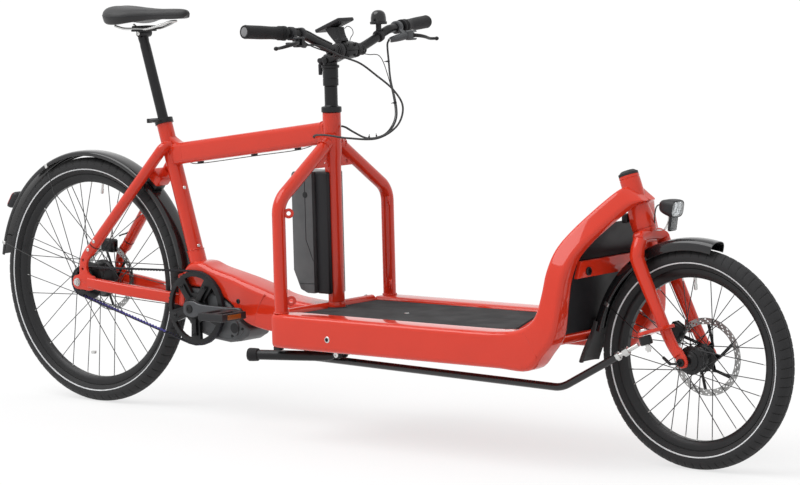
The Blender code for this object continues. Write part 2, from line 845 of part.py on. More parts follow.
def top_tube_line(x):
    """Point of the top tube's middle at a place along the bike."""
    rear = seat_line(TOP_TUBE_REAR_Z)
    front = Vector((COLUMN_X, 0, TOP_TUBE_FRONT_Z))
    return rear.lerp(front, (x - rear.x) / (front.x - rear.x))


def top_tube_part(name, x0, x1, finish=None):
    """A stretch of the top tube, whose rounded section stands square to its slope."""
    along = (top_tube_line(x1) - top_tube_line(x0)).normalized()
    up = along.cross(Vector((0, 1, 0)))
    rings = []
    for x in (x0, x1):
        across = Vector((0, TOP_TUBE_WIDTH / 2, 0))
        rings.append(rounded_ring(top_tube_line(x), across, up * (TOP_TUBE_HEIGHT / 2), 0.013))
    return loft(name, rings, finish)


def seat_tube_part(name, z0, z1, finish=None, grow=0.0):
    """A stretch of the seat tube, which is a little wider than it is long."""
    flat = (SEAT_TUBE_X_R + grow) / (SEAT_TUBE_Y_R + grow)
    start, end = seat_line(z0), seat_line(z1)
    place_of_tube = Matrix.Translation((start + end) / 2) @ aim(end - start, (0, 1, 0))
    bm = bmesh.new()
    bmesh.ops.create_cone(
        bm,
        cap_ends=True,
        segments=16,
        radius1=SEAT_TUBE_Y_R + grow,
        radius2=SEAT_TUBE_Y_R + grow,
        depth=(end - start).length,
        matrix=place_of_tube @ Matrix.Diagonal((flat, 1, 1, 1)),
    )
    return place(name, finish_mesh(name, bm), finish)


def stay_ends(side):
    """Where a seat stay leaves the seat tube, and where it meets its dropout."""
    top = seat_line(TOP_TUBE_REAR_Z + 0.019) + Vector((0.004, side * 0.033, 0))
    return top, Vector((0.046, side * STAY_Y, REAR_R + 0.082))


def seat_tube():
    """The seat tube with its gusset, the top tube's lug and the stubs of the seat stays."""
    body = seat_tube_part("seat_tube", SOCKET_Z + GAP, SEAT_TUBE_TOP_Z, "frame_paint")
    lug = top_tube_part("top_tube_lug", seat_line(TOP_TUBE_REAR_Z).x, TOP_TUBE_SPLIT - GAP)
    nose = TOP_TUBE_SPLIT - 0.010
    crest = top_tube_line(nose).z + TOP_TUBE_HEIGHT / 2
    outline = [(seat_line(z).x, z) for z in (TOP_TUBE_REAR_Z + 0.065, TOP_TUBE_REAR_Z + 0.025)]
    outline += [(nose, crest - 0.0135), (nose, crest - 0.001), (nose - 0.014, crest + 0.001)]
    outline.append((nose - 0.032, crest + 0.0105))
    join(body, lug, plate("seat_gusset", [outline], 0.026, side_plane(0, 0, 0)))
    for side in (-1, 1):
        top, foot = stay_ends(side)
        root = seat_line(TOP_TUBE_REAR_Z + 0.025) + Vector((0.010, side * 0.010, 0))
        route = [root, top, top.lerp(foot, 0.06)]
        join(body, tube(f"stay_stub_{side}", route, SEAT_STAY_R, resolution=3))
    low, high = seat_line(SEAT_TUBE_TOP_Z - 0.255), seat_line(SEAT_TUBE_TOP_Z + 0.045)
    cut(body, bore("seatpost_bore", low, high, SEATPOST_R + GAP))
    return body


def top_tube():
    body = top_tube_part("top_tube", TOP_TUBE_SPLIT, TOP_TUBE_END, "frame_paint")
    for k, share in enumerate((0.11, 0.53, 0.86)):
        x = TOP_TUBE_SPLIT + share * (TOP_TUBE_END - TOP_TUBE_SPLIT)
        low = top_tube_line(x).z - TOP_TUBE_HEIGHT / 2 - 0.001
        join(body, box(f"cable_guide_{k}", (x, 0, low), (0.012, 0.014, 0.008), bevel=0.0015))
    return body


def drive_beam():
    """The shell over the motor that joins the seat tube, the chain stays and the platform."""
    stations = (
        (-0.062, 0.336, 0.377, 0.030, 0.012),
        (-0.034, 0.337, 0.398, 0.038, 0.016),
        (0.006, 0.336, 0.401, 0.041, 0.018),
        (0.046, 0.332, 0.388, 0.042, 0.018),
        (0.116, 0.300, 0.373, 0.044, 0.020),
        (0.166, 0.258, 0.360, 0.049, 0.020),
        (0.221, 0.242, 0.345, 0.048, 0.020),
        (0.276, 0.236, 0.329, 0.045, 0.018),
        (0.336, 0.2355, 0.320, 0.043, 0.014),
        (0.4005, 0.2355, 0.3145, 0.045, 0.012),
    )
    rings = []
    for ahead, low, high, half, corner in stations:
        centre = (CRANK_X + ahead, 0, (low + high) / 2)
        rings.append(rounded_ring(centre, (0, half, 0), (0, 0, (high - low) / 2), corner))
    body = loft("drive_beam", rings, "frame_paint")
    socket = seat_tube_part("seat_socket", 0.370, SOCKET_Z, grow=0.0015)
    yoke = box("stay_yoke", (YOKE_X, 0, 0.325), (YOKE_LENGTH, 2 * YOKE_HALF, 0.086), bevel=0.005)
    join(body, socket, yoke)
    return body


def motor():
    """The grey drive unit slung under the beam, bored for the crank spindle."""
    top = [(0.226, -0.0450), (0.1675, -0.0285), (0.117, 0.0135), (0.0467, 0.0460)]
    top += [(0.006, 0.0500), (-0.032, 0.0505)]
    low = [(-0.046, 0.027), (-0.047, -0.013), (-0.034, -0.043), (0.006, -0.066)]
    low += [(0.056, -0.079), (0.111, -0.084), (0.166, -0.079), (0.208, -0.064)]
    body = plate("motor", [top + low], 0.086, side_plane(CRANK_X, 0, CRANK_Z), "motor_grey")
    soften = body.modifiers.new("edges", "BEVEL")
    soften.width = 0.005
    soften.segments = 1
    soften.limit_method = "ANGLE"
    soften.angle_limit = math.radians(50)
    axle = Vector((CRANK_X, 0, CRANK_Z))
    spot = axle + Vector((0.146, 0, -0.045))
    cover = cylinder("motor_cover", spot - Vector((0, 0.047, 0)), spot - Vector((0, 0.030, 0)), 0.021)
    boss = cylinder("spindle_boss", axle - Vector((0, 0.0435, 0)), axle + Vector((0, 0.047, 0)), 0.027)
    reach = Vector((0, 0.1, 0))
    join(body, cover, boss)
    cut(body, bore("spindle_bore", axle - reach, axle + reach, SPINDLE_R + RUNNING))
    return body


def dropout(side):
    """The crescent plate with its three through holes and the lug that takes the axle."""
    outline = [(-0.019, 0.0), (-0.014, -0.013), (0.0, -0.019), (0.020, -0.019), (0.040, -0.021)]
    outline += [(0.062, -0.014), (0.062, 0.016), (0.048, 0.020), (0.037, 0.032), (0.037, 0.054)]
    outline += [(0.048, 0.069), (0.062, 0.082), (0.046, 0.101), (0.028, 0.085), (0.014, 0.064)]
    outline += [(0.009, 0.042), (0.007, 0.022), (-0.012, 0.016)]
    holes = [circle(0.0042, 8, spot) for spot in ((0.024, 0.060), (0.021, 0.036), (0.042, -0.006))]
    if side < 0:
        holes.append(circle(AXLE_R + GAP, 12))
    place_of_plate = side_plane(0, side * STAY_Y, REAR_R)
    return plate(f"dropout_{side}", [outline, *holes], DROPOUT_THICK, place_of_plate)


def rear_stays(name, side):
    """Seat stay, chain stay and dropout of one side; the left one carries the bridge and the axle."""
    top, foot = stay_ends(side)
    along = (foot - top).normalized()
    start = top.lerp(foot, 0.06) + along * GAP
    body = tube(name, [start, foot], SEAT_STAY_R, "frame_paint", resolution=3)
    yoke = Vector((YOKE_X - YOKE_LENGTH / 2 - GAP, side * 0.0330, 0.2995))
    tip = Vector((0.040, side * STAY_Y, REAR_R + 0.0005))
    rings = []
    for share, bow, half_y, half_z in (
        (0.0, 0.0, 0.0090, 0.0140),
        (0.17, 0.0038, 0.0100, 0.0155),
        (0.53, 0.0050, 0.0100, 0.0155),
        (0.86, -0.0024, 0.0080, 0.0155),
        (1.0, 0.0, 0.0075, 0.0155),
    ):
        centre = tip.lerp(yoke, share) + Vector((0, side * bow, 0))
        rings.append(rounded_ring(centre, (0, half_y, 0), (0, 0, half_z), 0.007))
    join(body, dropout(side), loft(f"chain_stay_{side}", rings))
    if side > 0:
        bridge = top.lerp(foot, 0.24)
        reach = -bridge.y + SEAT_STAY_R * 1.08
        join(body, cylinder("stay_bridge", bridge, (bridge.x, reach, bridge.z), 0.010))
        join(body, rear_axle())
    else:
        cut(body, ring_groove("belt_split", top.lerp(foot, 0.93), along, SEAT_STAY_R, 0.0022, 0.0016))
    for k, share in enumerate((0.89, 0.97)):
        spot = top.lerp(foot, share)
        end = spot + Vector((0, side * (SEAT_STAY_R + 0.0015), 0))
        join(body, cylinder(f"split_bolt_{side}_{k}", spot, end, 0.0048, sides=8))
    return body


def rear_axle():
    """The axle in the left dropout, with the collars and nuts that stand on it."""
    outer = STAY_Y + DROPOUT_THICK / 2
    inner = STAY_Y - DROPOUT_THICK / 2
    profile = [
        (0, outer + 0.009),
        (0.010, outer + 0.008),
        (0.010, inner + 0.001),
        (0.009, REAR_ROTOR_Y + 0.004),
        (AXLE_R, REAR_ROTOR_Y + 0.003),
        (AXLE_R, BELT_Y - BELT_WIDTH / 2 - 0.0015),
        (0.009, BELT_Y - BELT_WIDTH / 2 - 0.002),
        (0.009, -inner + RUNNING),
        (AXLE_R, -inner + RUNNING),
        (AXLE_R, -outer - RUNNING),
        (0.010, -outer - RUNNING),
        (0.010, -outer - 0.007),
        (0, -outer - 0.009),
    ]
    return turned("rear_axle", profile, (0, 0, REAR_R), (0, 1, 0), None, 10)


def ring_groove(name, centre, axis, radius, width, depth):
    """A cutter that leaves a groove round a tube."""
    outer = radius + 0.004
    inner = radius - depth
    profile = [(outer, width / 2), (outer, -width / 2), (inner, -width / 2), (inner, width / 2)]
    return turned(name, profile, centre, axis, None, 16, closed=True)


# Column, arch and platform


def arch_route(side):
    """Two ends of the slanted part of one arch tube: inside the column, and at its knee."""
    top = Vector((COLUMN_X, 0, ARCH_TOP_Z))
    knee = Vector((COLUMN_X, side * ARCH_Y, ARCH_KNEE_Z))
    return top.lerp(knee, 0.09), knee


def column_tube():
    """Head tube and column tube in one, with the gusset and the lugs of the top tube and the arch."""
    profile = [
        (0, HEAD_TOP_Z),
        (HEAD_TUBE_R, HEAD_TOP_Z),
        (HEAD_TUBE_R, 0.690),
        (CENTRE_TUBE_R, 0.672),
        (CENTRE_TUBE_R, CUP_TOP_Z),
        (0, CUP_TOP_Z),
    ]
    body = turned("column_tube", profile, (COLUMN_X, 0, 0), (0, 0, 1), "frame_paint", 16)
    join(body, top_tube_part("top_tube_head_lug", TOP_TUBE_END + GAP, COLUMN_X - 0.012))
    slope = (ARCH_TOP_Z - ARCH_KNEE_Z) / ARCH_Y
    half = [(0.080, 0.660), (0.080, ARCH_TOP_Z - slope * 0.080), (0.030, ARCH_TOP_Z - slope * 0.030)]
    outline = half + [(-y, z) for y, z in reversed(half)]
    windows = [[(-0.0245, 0.670), (-0.0245, 0.686), (-0.038, 0.670)]]
    windows.append([(0.044, 0.667), (0.052, 0.667), (0.052, 0.675), (0.044, 0.675)])
    for side in (-1, 1):
        inner, knee = arch_route(side)
        join(body, cylinder(f"arch_stub_{side}", inner, inner.lerp(knee, ARCH_SPLIT), ARCH_R))
    join(body, plate("arch_gusset", [outline, *windows], 0.008, front_plane(COLUMN_X, 0, 0)))
    shaft = ((COLUMN_X, 0, 0.2), (COLUMN_X, 0, 0.9))
    cut(body, bore("column_bore", *shaft, COLUMN_R + RUNNING))
    return body


def bend(a, corner, b, radius, count):
    """Points of a round bend at a corner between two straight runs."""
    a, corner, b = Vector(a), Vector(corner), Vector(b)
    u, v = (a - corner).normalized(), (b - corner).normalized()
    half = u.angle(v) / 2
    centre = corner + (u + v).normalized() * (radius / math.sin(half))
    p = corner + u * (radius / math.tan(half)) - centre
    q = corner + v * (radius / math.tan(half)) - centre
    total = p.angle(q)
    points = []
    for k in range(count):
        t = k / (count - 1)
        points.append(centre + (math.sin((1 - t) * total) * p + math.sin(t * total) * q) / math.sin(total))
    return points


def arch_tube(name, side):
    """One leg of the arch, bent in to the column, with its two cargo eyelets."""
    inner, knee = arch_route(side)
    foot = Vector((COLUMN_X, side * ARCH_Y, RAIL_TOP + GAP))
    start = inner.lerp(knee, ARCH_SPLIT) + (knee - inner).normalized() * GAP
    route = [start, *bend(start, knee, foot, ARCH_BEND, 5), foot]
    body = tube(name, route, ARCH_R, "frame_paint", resolution=3)
    for k, z in enumerate((0.560, 0.345)):
        spot = front_plane(COLUMN_X, side * (ARCH_Y - ARCH_R - 0.005), z)
        join(body, plate(f"arch_eyelet_{side}_{k}", [circle(0.0115, 12), circle(0.0045, 8)], 0.006, spot))
    return body


def side_rail(name, side):
    """One side of the platform, which sweeps up and in to the front head tube."""
    outer = DECK_HALF
    inner = DECK_HALF - RAIL_WIDTH
    rear, nose, top = RAIL_REAR_X, WHEELBASE, FRONT_HEAD_TOP_Z
    stations = [
        ((rear, RAIL_TOP - 0.007), (rear, RAIL_BOTTOM + 0.007), outer - 0.022, inner),
        ((rear + 0.005, RAIL_TOP - 0.002), (rear + 0.005, RAIL_BOTTOM + 0.002), outer - 0.009, inner),
        ((rear + 0.018, RAIL_TOP), (rear + 0.018, RAIL_BOTTOM), outer, inner),
        ((nose - 0.395, RAIL_TOP + 0.002), (nose - 0.395, RAIL_BOTTOM), outer, inner),
        ((nose - 0.345, RAIL_TOP + 0.008), (nose - 0.313, RAIL_BOTTOM), outer, inner),
        ((nose - 0.308, 0.339), (nose - 0.271, 0.268), outer, inner + 0.003),
        ((nose - 0.287, 0.364), (nose - 0.237, 0.312), outer - 0.003, inner + 0.008),
        ((nose - 0.277, top - 0.255), (nose - 0.225, 0.382), outer - 0.012, inner + 0.008),
        ((nose - 0.272, top - 0.205), (nose - 0.221, top - 0.225), 0.208, 0.162),
        ((nose - 0.261, top - 0.157), (nose - 0.213, top - 0.180), 0.186, 0.143),
        ((nose - 0.238, top - 0.114), (nose - 0.196, top - 0.142), 0.152, 0.110),
        ((nose - 0.206, top - 0.065), (nose - 0.168, top - 0.098), 0.098, 0.057),
        ((nose - 0.180, top - 0.031), (nose - 0.142, top - 0.064), 0.056, 0.014),
        ((nose - 0.168, top - 0.022), (nose - 0.122, top - 0.054), 0.026, GAP),
    ]
    rings = []
    for (x_top, z_top), (x_low, z_low), y_out, y_in in stations:
        centre = ((x_top + x_low) / 2, side * (y_out + y_in) / 2, (z_top + z_low) / 2)
        height = Vector((x_top - x_low, 0, z_top - z_low)) / 2
        corner = min(0.013, (y_out - y_in) * 0.3)
        rings.append(rounded_ring(centre, (0, (y_out - y_in) / 2, 0), height, corner))
    body = loft(name, rings, "frame_paint")
    profile = [(0, 0.010), (FRONT_HEAD_R + GAP, 0.010), *head_profile(GAP), (0, -FRONT_HEAD_LENGTH - GAP)]
    cut(body, turned(f"head_clearance_{side}", profile, head_axis(0), head_up(), None, 16))
    return body


def head_axis(down):
    """Point of the front steering axis, at a distance down from the head tube's top."""
    return Vector((FRONT_HEAD_TOP_X, 0, FRONT_HEAD_TOP_Z)) - head_up() * down


def head_up():
    return Vector((-math.cos(HEAD_ANGLE), 0, math.sin(HEAD_ANGLE)))


def head_profile(grow=0.0):
    """The front head tube's outer shape, narrow at the top and flared to the lower bearing."""
    return [
        (FRONT_HEAD_R + grow, 0),
        (FRONT_HEAD_R + grow, -0.060),
        (FRONT_HEAD_LOW_R + grow, -0.098),
        (FRONT_HEAD_LOW_R + grow, -FRONT_HEAD_LENGTH - grow),
    ]


def front_head_tube():
    bore = COLUMN_R + RUNNING
    profile = [(bore, 0), *head_profile(), (bore, -FRONT_HEAD_LENGTH)]
    return turned("front_head_tube", profile, head_axis(0), head_up(), "frame_paint", 16, closed=True)


def deck_frame():
    """Floor sheet, cross members, lower bearing cup and the kickstand's ears, welded together."""
    inner = DECK_HALF - RAIL_WIDTH - GAP
    top = DECK_TOP
    under = top - FLOOR_THICK
    outline = [(COLUMN_X - 0.007, under), (WHEELBASE - 0.400, under), (WHEELBASE - 0.321, under + 0.0465)]
    outline += [(WHEELBASE - 0.327, top + 0.0455), (WHEELBASE - 0.405, top), (COLUMN_X - 0.007, top)]
    body = plate("deck_frame", [outline], 2 * inner, side_plane(0, 0, 0), "frame_paint")
    cross = box("rear_member", (COLUMN_X - 0.0045, 0, 0.267), (0.065, 2 * inner, 0.062), bevel=0.010)
    half = Vector((0, inner, 0))
    rear = Vector((COLUMN_X - 0.0215, 0, 0.3045))
    rear_tube = cylinder("rear_cross_tube", rear - half, rear + half, 0.0145)
    web = box("front_web", (WHEELBASE - 0.353, 0, 0.2925), (0.106, 2 * inner - 0.004, 0.009))
    front = Vector((WHEELBASE - 0.299, 0, 0.288))
    bar = cylinder("front_cross_bar", front - half, front + half, 0.0098)
    ends = (COLUMN_X, 0, 0.29), (COLUMN_X, 0, CUP_TOP_Z - GAP)
    cup = cylinder("lower_cup", *ends, CENTRE_TUBE_R + 0.002, sides=16)
    join(body, cross, rear_tube, cup)
    join(body, web, bar)
    for side in (-1, 1):
        for k, y in enumerate((STAND_Y - 0.0125, STAND_Y + 0.0125)):
            ear = [(-0.020, 0.080), (-0.013, 0.0), (-0.008, -0.010)]
            ear += [(-x, z) for x, z in reversed(ear)]
            hole = circle(STAND_SHAFT_R + RUNNING, 10)
            spot = side_plane(STAND_X, side * y, STAND_Z)
            join(body, plate(f"stand_ear_{side}_{k}", [ear, hole], 0.006, spot))
    cut(body, bore("column_hole", (COLUMN_X, 0, 0.2), (COLUMN_X, 0, 0.34), COLUMN_R + RUNNING))
    return body


def deck_mat():
    half = DECK_HALF - RAIL_WIDTH - 0.0015
    low = DECK_TOP + GAP
    high = low + MAT_THICK
    rear, front = COLUMN_X - 0.003, WHEELBASE - 0.4055
    outline = [(rear, low), (front, low), (front + 0.078, low + 0.0457)]
    outline += [(front + 0.0762, low + 0.0490), (front - 0.0017, high), (rear, high)]
    body = plate("deck_mat", [outline], 2 * half, side_plane(0, 0, 0), "mat")
    hole = cylinder("mat_hole", (COLUMN_X, 0, 0.29), (COLUMN_X, 0, 0.34), CENTRE_TUBE_R + 0.003, sides=16)
    cut(body, hole)
    return body


def front_brace():
    """The plate across the front tubes, with a bolt at its right end and a slot at its left."""
    low, high = FRONT_HEAD_TOP_Z - 0.224, FRONT_HEAD_TOP_Z - 0.185
    outline = [(-0.159, low), (0.159, low), (0.1445, high), (-0.1445, high)]
    body = plate("front_brace", [outline], 0.012, front_plane(WHEELBASE - 0.2195, 0, 0), "frame_paint")
    bolt = (WHEELBASE - 0.220, -0.118, low + 0.014), (WHEELBASE - 0.2085, -0.118, low + 0.014)
    join(body, cylinder("brace_bolt", *bolt, 0.010))
    slot = (WHEELBASE - 0.235, 0.115, low + 0.019), (WHEELBASE - 0.205, 0.115, low + 0.019)
    cut(body, cylinder("brace_slot", *slot, 0.007))
    return body


def front_panel():
    """The black sheet between the front tubes, folded once and trimmed to their curve."""
    top = FRONT_HEAD_TOP_Z
    fold = [(WHEELBASE - 0.284, 0.304), (WHEELBASE - 0.235, top - 0.185), (WHEELBASE - 0.185, top - 0.103)]
    outline = fold + [(x - 0.0027, z + 0.0008) for x, z in reversed(fold)]
    body = plate("front_panel", [outline], 0.36, side_plane(0, 0, 0), "black_plastic")
    half = [(0.158, 0.290), (0.162, 0.345), (0.164, 0.400), (0.156, top - 0.215)]
    half += [(0.135, top - 0.168), (0.101, top - 0.128), (0.060, top - 0.095)]
    trim = half + [(-y, z) for y, z in reversed(half)]
    boolean(body, [plate("panel_trim", [trim], 0.3, front_plane(WHEELBASE - 0.235, 0, 0))], "INTERSECT")
    return body


def battery():
    """The pack on the column's rear face, with a slanted foot."""
    rear = BATTERY_REAR
    front = BATTERY_FRONT
    outline = [(front, 0.648), (rear + 0.010, 0.648), (rear, 0.638), (rear, 0.400), (rear + 0.022, 0.352)]
    outline += [(rear + 0.045, 0.343), (front, 0.343)]
    body = plate("battery", [outline], 2 * BATTERY_HALF, side_plane(0, 0, 0), "motor_grey")
    soften = body.modifiers.new("edges", "BEVEL")
    soften.width = 0.008
    soften.segments = 1
    soften.limit_method = "ANGLE"
    soften.angle_limit = math.radians(50)
    return body


def battery_mount():
    """The channel on the rear half of the column tube that the pack locks on to."""
    rear = BATTERY_FRONT + GAP
    front = COLUMN_X + 0.006
    centre = ((rear + front) / 2, 0, 0.495)
    body = box("battery_mount", centre, (front - rear, 0.062, 0.306), "black_plastic", bevel=0.003)
    shaft = ((COLUMN_X, 0, 0.2), (COLUMN_X, 0, 0.8))
    cut(body, bore("mount_bore", *shaft, CENTRE_TUBE_R + GAP, sides=16))
    return body


# Saddle and seatpost


def seat_collar():
    """The clamp round the seat tube's top, with the slot that closes and the lever's fork."""
    low, high = seat_line(SEAT_TUBE_TOP_Z + GAP), seat_line(SEAT_TUBE_TOP_Z + 0.013)
    body = cylinder("seat_collar", low, high, SEAT_TUBE_Y_R + 0.0025, "black_metal", sides=16)
    middle = (low + high) / 2
    ear = box("collar_ear", middle + Vector((-0.030, 0, 0.002)), (0.022, 0.022, 0.011), bevel=0.002)
    join(body, ear)
    cut(body, bore("collar_bore", low - 4 * (high - low), high + 4 * (high - low), SEATPOST_R + GAP))
    slot = box("collar_slot", middle + Vector((-0.030, 0, 0.002)), (0.048, 0.002, 0.030))
    cut(body, slot)
    return body


def collar_lever_pin():
    return seat_line(SEAT_TUBE_TOP_Z + 0.0065) + Vector((-0.0345, 0, 0.002))


def seat_collar_lever():
    """Quick-release lever: an upright cam beside the collar's ear, and a blade along the tube's right."""
    start = collar_lever_pin() + Vector((0, -0.0190, 0))
    at = tuple(start)
    tall = Vector((0, 0, 0.0055))
    cam = cylinder("seat_collar_lever", start - tall, start + tall, 0.0072, "black_metal", at)
    points = [start, start + Vector((0.018, -0.0105, 0.001)), start + Vector((0.050, -0.0145, 0.003))]
    blade = tube("collar_blade", [tuple(p) for p in points], 0.0042, None, at, 2, (1.0, 0.95, 0.8))
    join(cam, blade)
    return cam


def seatpost():
    """The round post with the cradle that holds the saddle's rails."""
    low, high = seat_line(0.625), seat_line(0.972)
    body = cylinder("seatpost", low, high, SEATPOST_R, "black_metal", sides=16)
    neck_top = Vector((high.x + 0.001, 0, 0.9945))
    route = [tuple(seat_line(0.965)), tuple(neck_top)]
    neck = tube("post_neck", route, 0.0125, resolution=3, radii=(1.0, 1.15))
    cradle = cylinder("post_cradle", (neck_top.x, -0.019, 0.991), (neck_top.x, 0.019, 0.991), 0.0095)
    cap = box("post_cap", (neck_top.x, 0, 1.008), (0.036, 0.034, 0.007), bevel=0.002)
    bolt = cylinder("post_bolt", (neck_top.x, 0, 0.99), (neck_top.x, 0, 1.0085), 0.0045, sides=10)
    join(body, neck, cradle)
    join(body, bolt, cap)
    return body


def saddle_rails():
    """One steel rod bent into the two rails under the saddle, joined at its nose."""
    x = seat_line(0.972).x + 0.001
    side = [(x - 0.072, 0.036, 1.0110), (x - 0.044, 0.0245, 1.0047), (x + 0.036, 0.0235, 1.0047)]
    side += [(x + 0.080, 0.0160, 1.0150), (x + 0.110, 0.0085, 1.0225)]
    nose = [(x + 0.117, 0.0, 1.0235)]
    body = tube("saddle_rails", side + nose + mirrored(reversed(side)), 0.0034, "steel", resolution=2)
    return body


def saddle():
    """The cushion: wide and crowned at the rear, drawn in to a narrow nose."""
    stations = (
        (0.000, 0.22, 1.058, 1.040),
        (0.012, 0.72, 1.064, 1.027),
        (0.034, 0.95, 1.066, 1.0180),
        (0.064, 1.00, 1.064, 1.0165),
        (0.094, 0.90, 1.061, 1.0200),
        (0.124, 0.66, 1.059, 1.0245),
        (0.154, 0.45, 1.057, 1.0280),
        (0.189, 0.33, 1.056, 1.0290),
        (0.224, 0.29, 1.056, 1.0290),
        (0.250, 0.25, 1.055, 1.0300),
        (0.265, 0.17, 1.052, 1.0330),
        (0.2715, 0.06, 1.047, 1.0400),
    )
    rings = []
    for x, wide, top, low in stations:
        half = SADDLE_WIDTH / 2 * wide
        tall = top - low
        ring = []
        for across, up in SADDLE_SECTION:
            ring.append((SADDLE_REAR_X + x, half * across, low + tall * up))
        rings.append(ring)
    return loft("saddle", rings, "rubber", smooth=60)


# Cockpit


def steering_column():
    """The shaft through the column tube, with its headset cover, its hollow top and the rod's arm."""
    cover = HEAD_TOP_Z + 2 * GAP
    profile = [
        (0, 0.203),
        (COLUMN_R, 0.203),
        (COLUMN_R, cover),
        (0.0255, cover),
        (0.0255, HEAD_TOP_Z + 0.0145),
        (0.0165, HEAD_TOP_Z + 0.0165),
        (0.0165, STEM_BASE_Z),
        (QUILL_R + RUNNING, STEM_BASE_Z),
        (QUILL_R + RUNNING, HEAD_TOP_Z - 0.060),
        (0, HEAD_TOP_Z - 0.060),
    ]
    at = (COLUMN_X, 0, 0)
    body = turned("steering_column", profile, at, (0, 0, 1), "black_metal", 16)
    low = ROD_REAR_Z + 0.008
    arm = []
    outer = -ARM_LENGTH - 0.011
    for y, half, corner in ((0.014, 0.014, 0.004), (-0.050, 0.011, 0.003), (outer, 0.010, 0.003)):
        arm.append(rounded_ring((COLUMN_X, y, low + 0.006), (half, 0, 0), (0, 0, 0.004), corner))
    join(body, loft("column_arm", arm, None, at))
    pin_low = (COLUMN_X, -ARM_LENGTH, ROD_REAR_Z - 0.009)
    join(body, cylinder("arm_pin", pin_low, (COLUMN_X, -ARM_LENGTH, low + 0.004), PIN_R, None, at))
    return body


def ball_front():
    """Middle of the rod's front eye, straight to the right of the front steering axis."""
    down = (FRONT_HEAD_TOP_Z - ROD_FRONT_Z) / math.sin(HEAD_ANGLE)
    return head_axis(down) + Vector((0, -ARM_LENGTH / math.sin(HEAD_ANGLE), 0))


def steering_rod():
    """The bent rod under the platform, with an eye at each end and the lock nuts at the front."""
    rear = Vector((COLUMN_X, -ARM_LENGTH, ROD_REAR_Z))
    front = ball_front()
    corner = Vector(ROD_BEND)
    stop = corner.lerp(front, 0.66)
    first = rear + (corner - rear).normalized() * 0.010
    route = [first, *bend(first, corner, stop, 0.07, 5), stop]
    at = tuple(rear)
    body = tube("steering_rod", [tuple(p) for p in route], ROD_R, "black_paint", at, 3)
    tall = Vector((0, 0, 0.0065))
    eye = cylinder("rear_eye", rear + tall, rear - tall, 0.013, None, at)
    up = head_up()
    housing = cylinder("front_eye", front + up * 0.010, front - up * 0.010, 0.0145, None, at)
    thread = cylinder("rod_thread", corner.lerp(front, 0.60), corner.lerp(front, 0.97), 0.0052, None, at)
    join(body, eye, thread)
    join(body, housing)
    for k, (a, b) in enumerate(((0.655, 0.695), (0.74, 0.80))):
        ends = corner.lerp(front, a), corner.lerp(front, b)
        join(body, cylinder(f"lock_nut_{k}", *ends, 0.0105, None, at, 6))
    tall = Vector((0, 0, 0.03))
    cut(body, bore("rear_eye_bore", rear + tall, rear - tall, PIN_R + RUNNING, at))
    cut(body, bore("front_eye_bore", front + up * 0.03, front - up * 0.03, PIN_R + LOOSE, at))
    return body


def stem():
    """The height-adjustable stem: a quill in the column, a sleeve and the clamp round the bar."""
    base = STEM_BASE_Z
    profile = [
        (0, HEAD_TOP_Z - 0.055),
        (QUILL_R, HEAD_TOP_Z - 0.055),
        (QUILL_R, base + 2 * GAP),
        (0.0195, base + 2 * GAP),
        (0.0195, base + 0.044),
        (0.0225, base + 0.0455),
        (0.0225, base + 0.0515),
        (0.0175, base + 0.053),
        (0.0175, base + 0.073),
        (0.0125, base + 0.079),
        (0, base + 0.079),
    ]
    body = turned("stem", profile, (COLUMN_X, 0, 0), (0, 0, 1), "black_metal", 16)
    centre = Vector((BAR_CLAMP_X, 0, BAR_CLAMP_Z))
    rings = [
        rounded_ring((COLUMN_X - 0.016, 0, base + 0.065), (0, 0.016, 0), (0, 0, 0.008), 0.004),
        rounded_ring((COLUMN_X + 0.010, 0, base + 0.069), (0, 0.018, 0), (0, 0, 0.012), 0.005),
        rounded_ring((BAR_CLAMP_X, 0, BAR_CLAMP_Z), (0, 0.020, 0), (0, 0, 0.014), 0.005),
    ]
    join(body, loft("stem_reach", rings))
    half = Vector((0, 0.0215, 0))
    join(body, cylinder("bar_clamp", centre - half, centre + half, 0.0215, sides=16))
    cut(body, bore("bar_bore", centre - 2 * half, centre + 2 * half, BAR_CLAMP_R + GAP))
    return body


def stem_lever():
    """The lever that frees the stem's height, on a pin across its rear."""
    at = (COLUMN_X - 0.026, 0, STEM_BASE_Z + 0.063)
    ends = (at[0], -0.012, at[2]), (at[0], 0.012, at[2])
    body = cylinder("stem_lever", *ends, 0.0065, "black_plastic", at)
    route = [at, (at[0] - 0.006, 0, at[2] - 0.012), (at[0] - 0.007, 0, at[2] - 0.036)]
    blade = tube("stem_lever_blade", route, 0.006, None, at, 2, (0.9, 1, 0.8))
    join(body, blade)
    return body


def bar_points():
    """Half of the handlebar's middle line, from the clamp to the left end."""
    return [
        (BAR_CLAMP_X, 0.030, BAR_CLAMP_Z),
        (BAR_CLAMP_X + 0.002, 0.060, BAR_CLAMP_Z + 0.006),
        (BAR_CLAMP_X + 0.002, 0.110, BAR_CLAMP_Z + 0.024),
        (BAR_CLAMP_X + 0.001, 0.150, BAR_CLAMP_Z + 0.040),
        tuple(along_grip(1, -0.036)),
        GRIP_END,
    ]


def handlebar():
    left = bar_points()
    body = tube("handlebar", mirrored(reversed(left)) + left, BAR_R, "black_metal", resolution=3)
    centre, half = Vector((BAR_CLAMP_X, 0, BAR_CLAMP_Z)), Vector((0, 0.036, 0))
    middle = cylinder("bar_bulge", centre - half, centre + half, BAR_CLAMP_R)
    join(body, middle)
    spot = along_grip(-1, -0.052)
    low = spot + Vector((-0.012, 0, -0.016))
    wide = Vector((0, 0.006, 0))
    join(body, cylinder("shifter_clamp", spot - wide, spot + wide, BAR_R + 0.0045))
    pod = low + Vector((0, 0, 0.008)), low - Vector((0, 0, 0.0025))
    join(body, cylinder("shifter_pod", *pod, 0.0115))
    return body


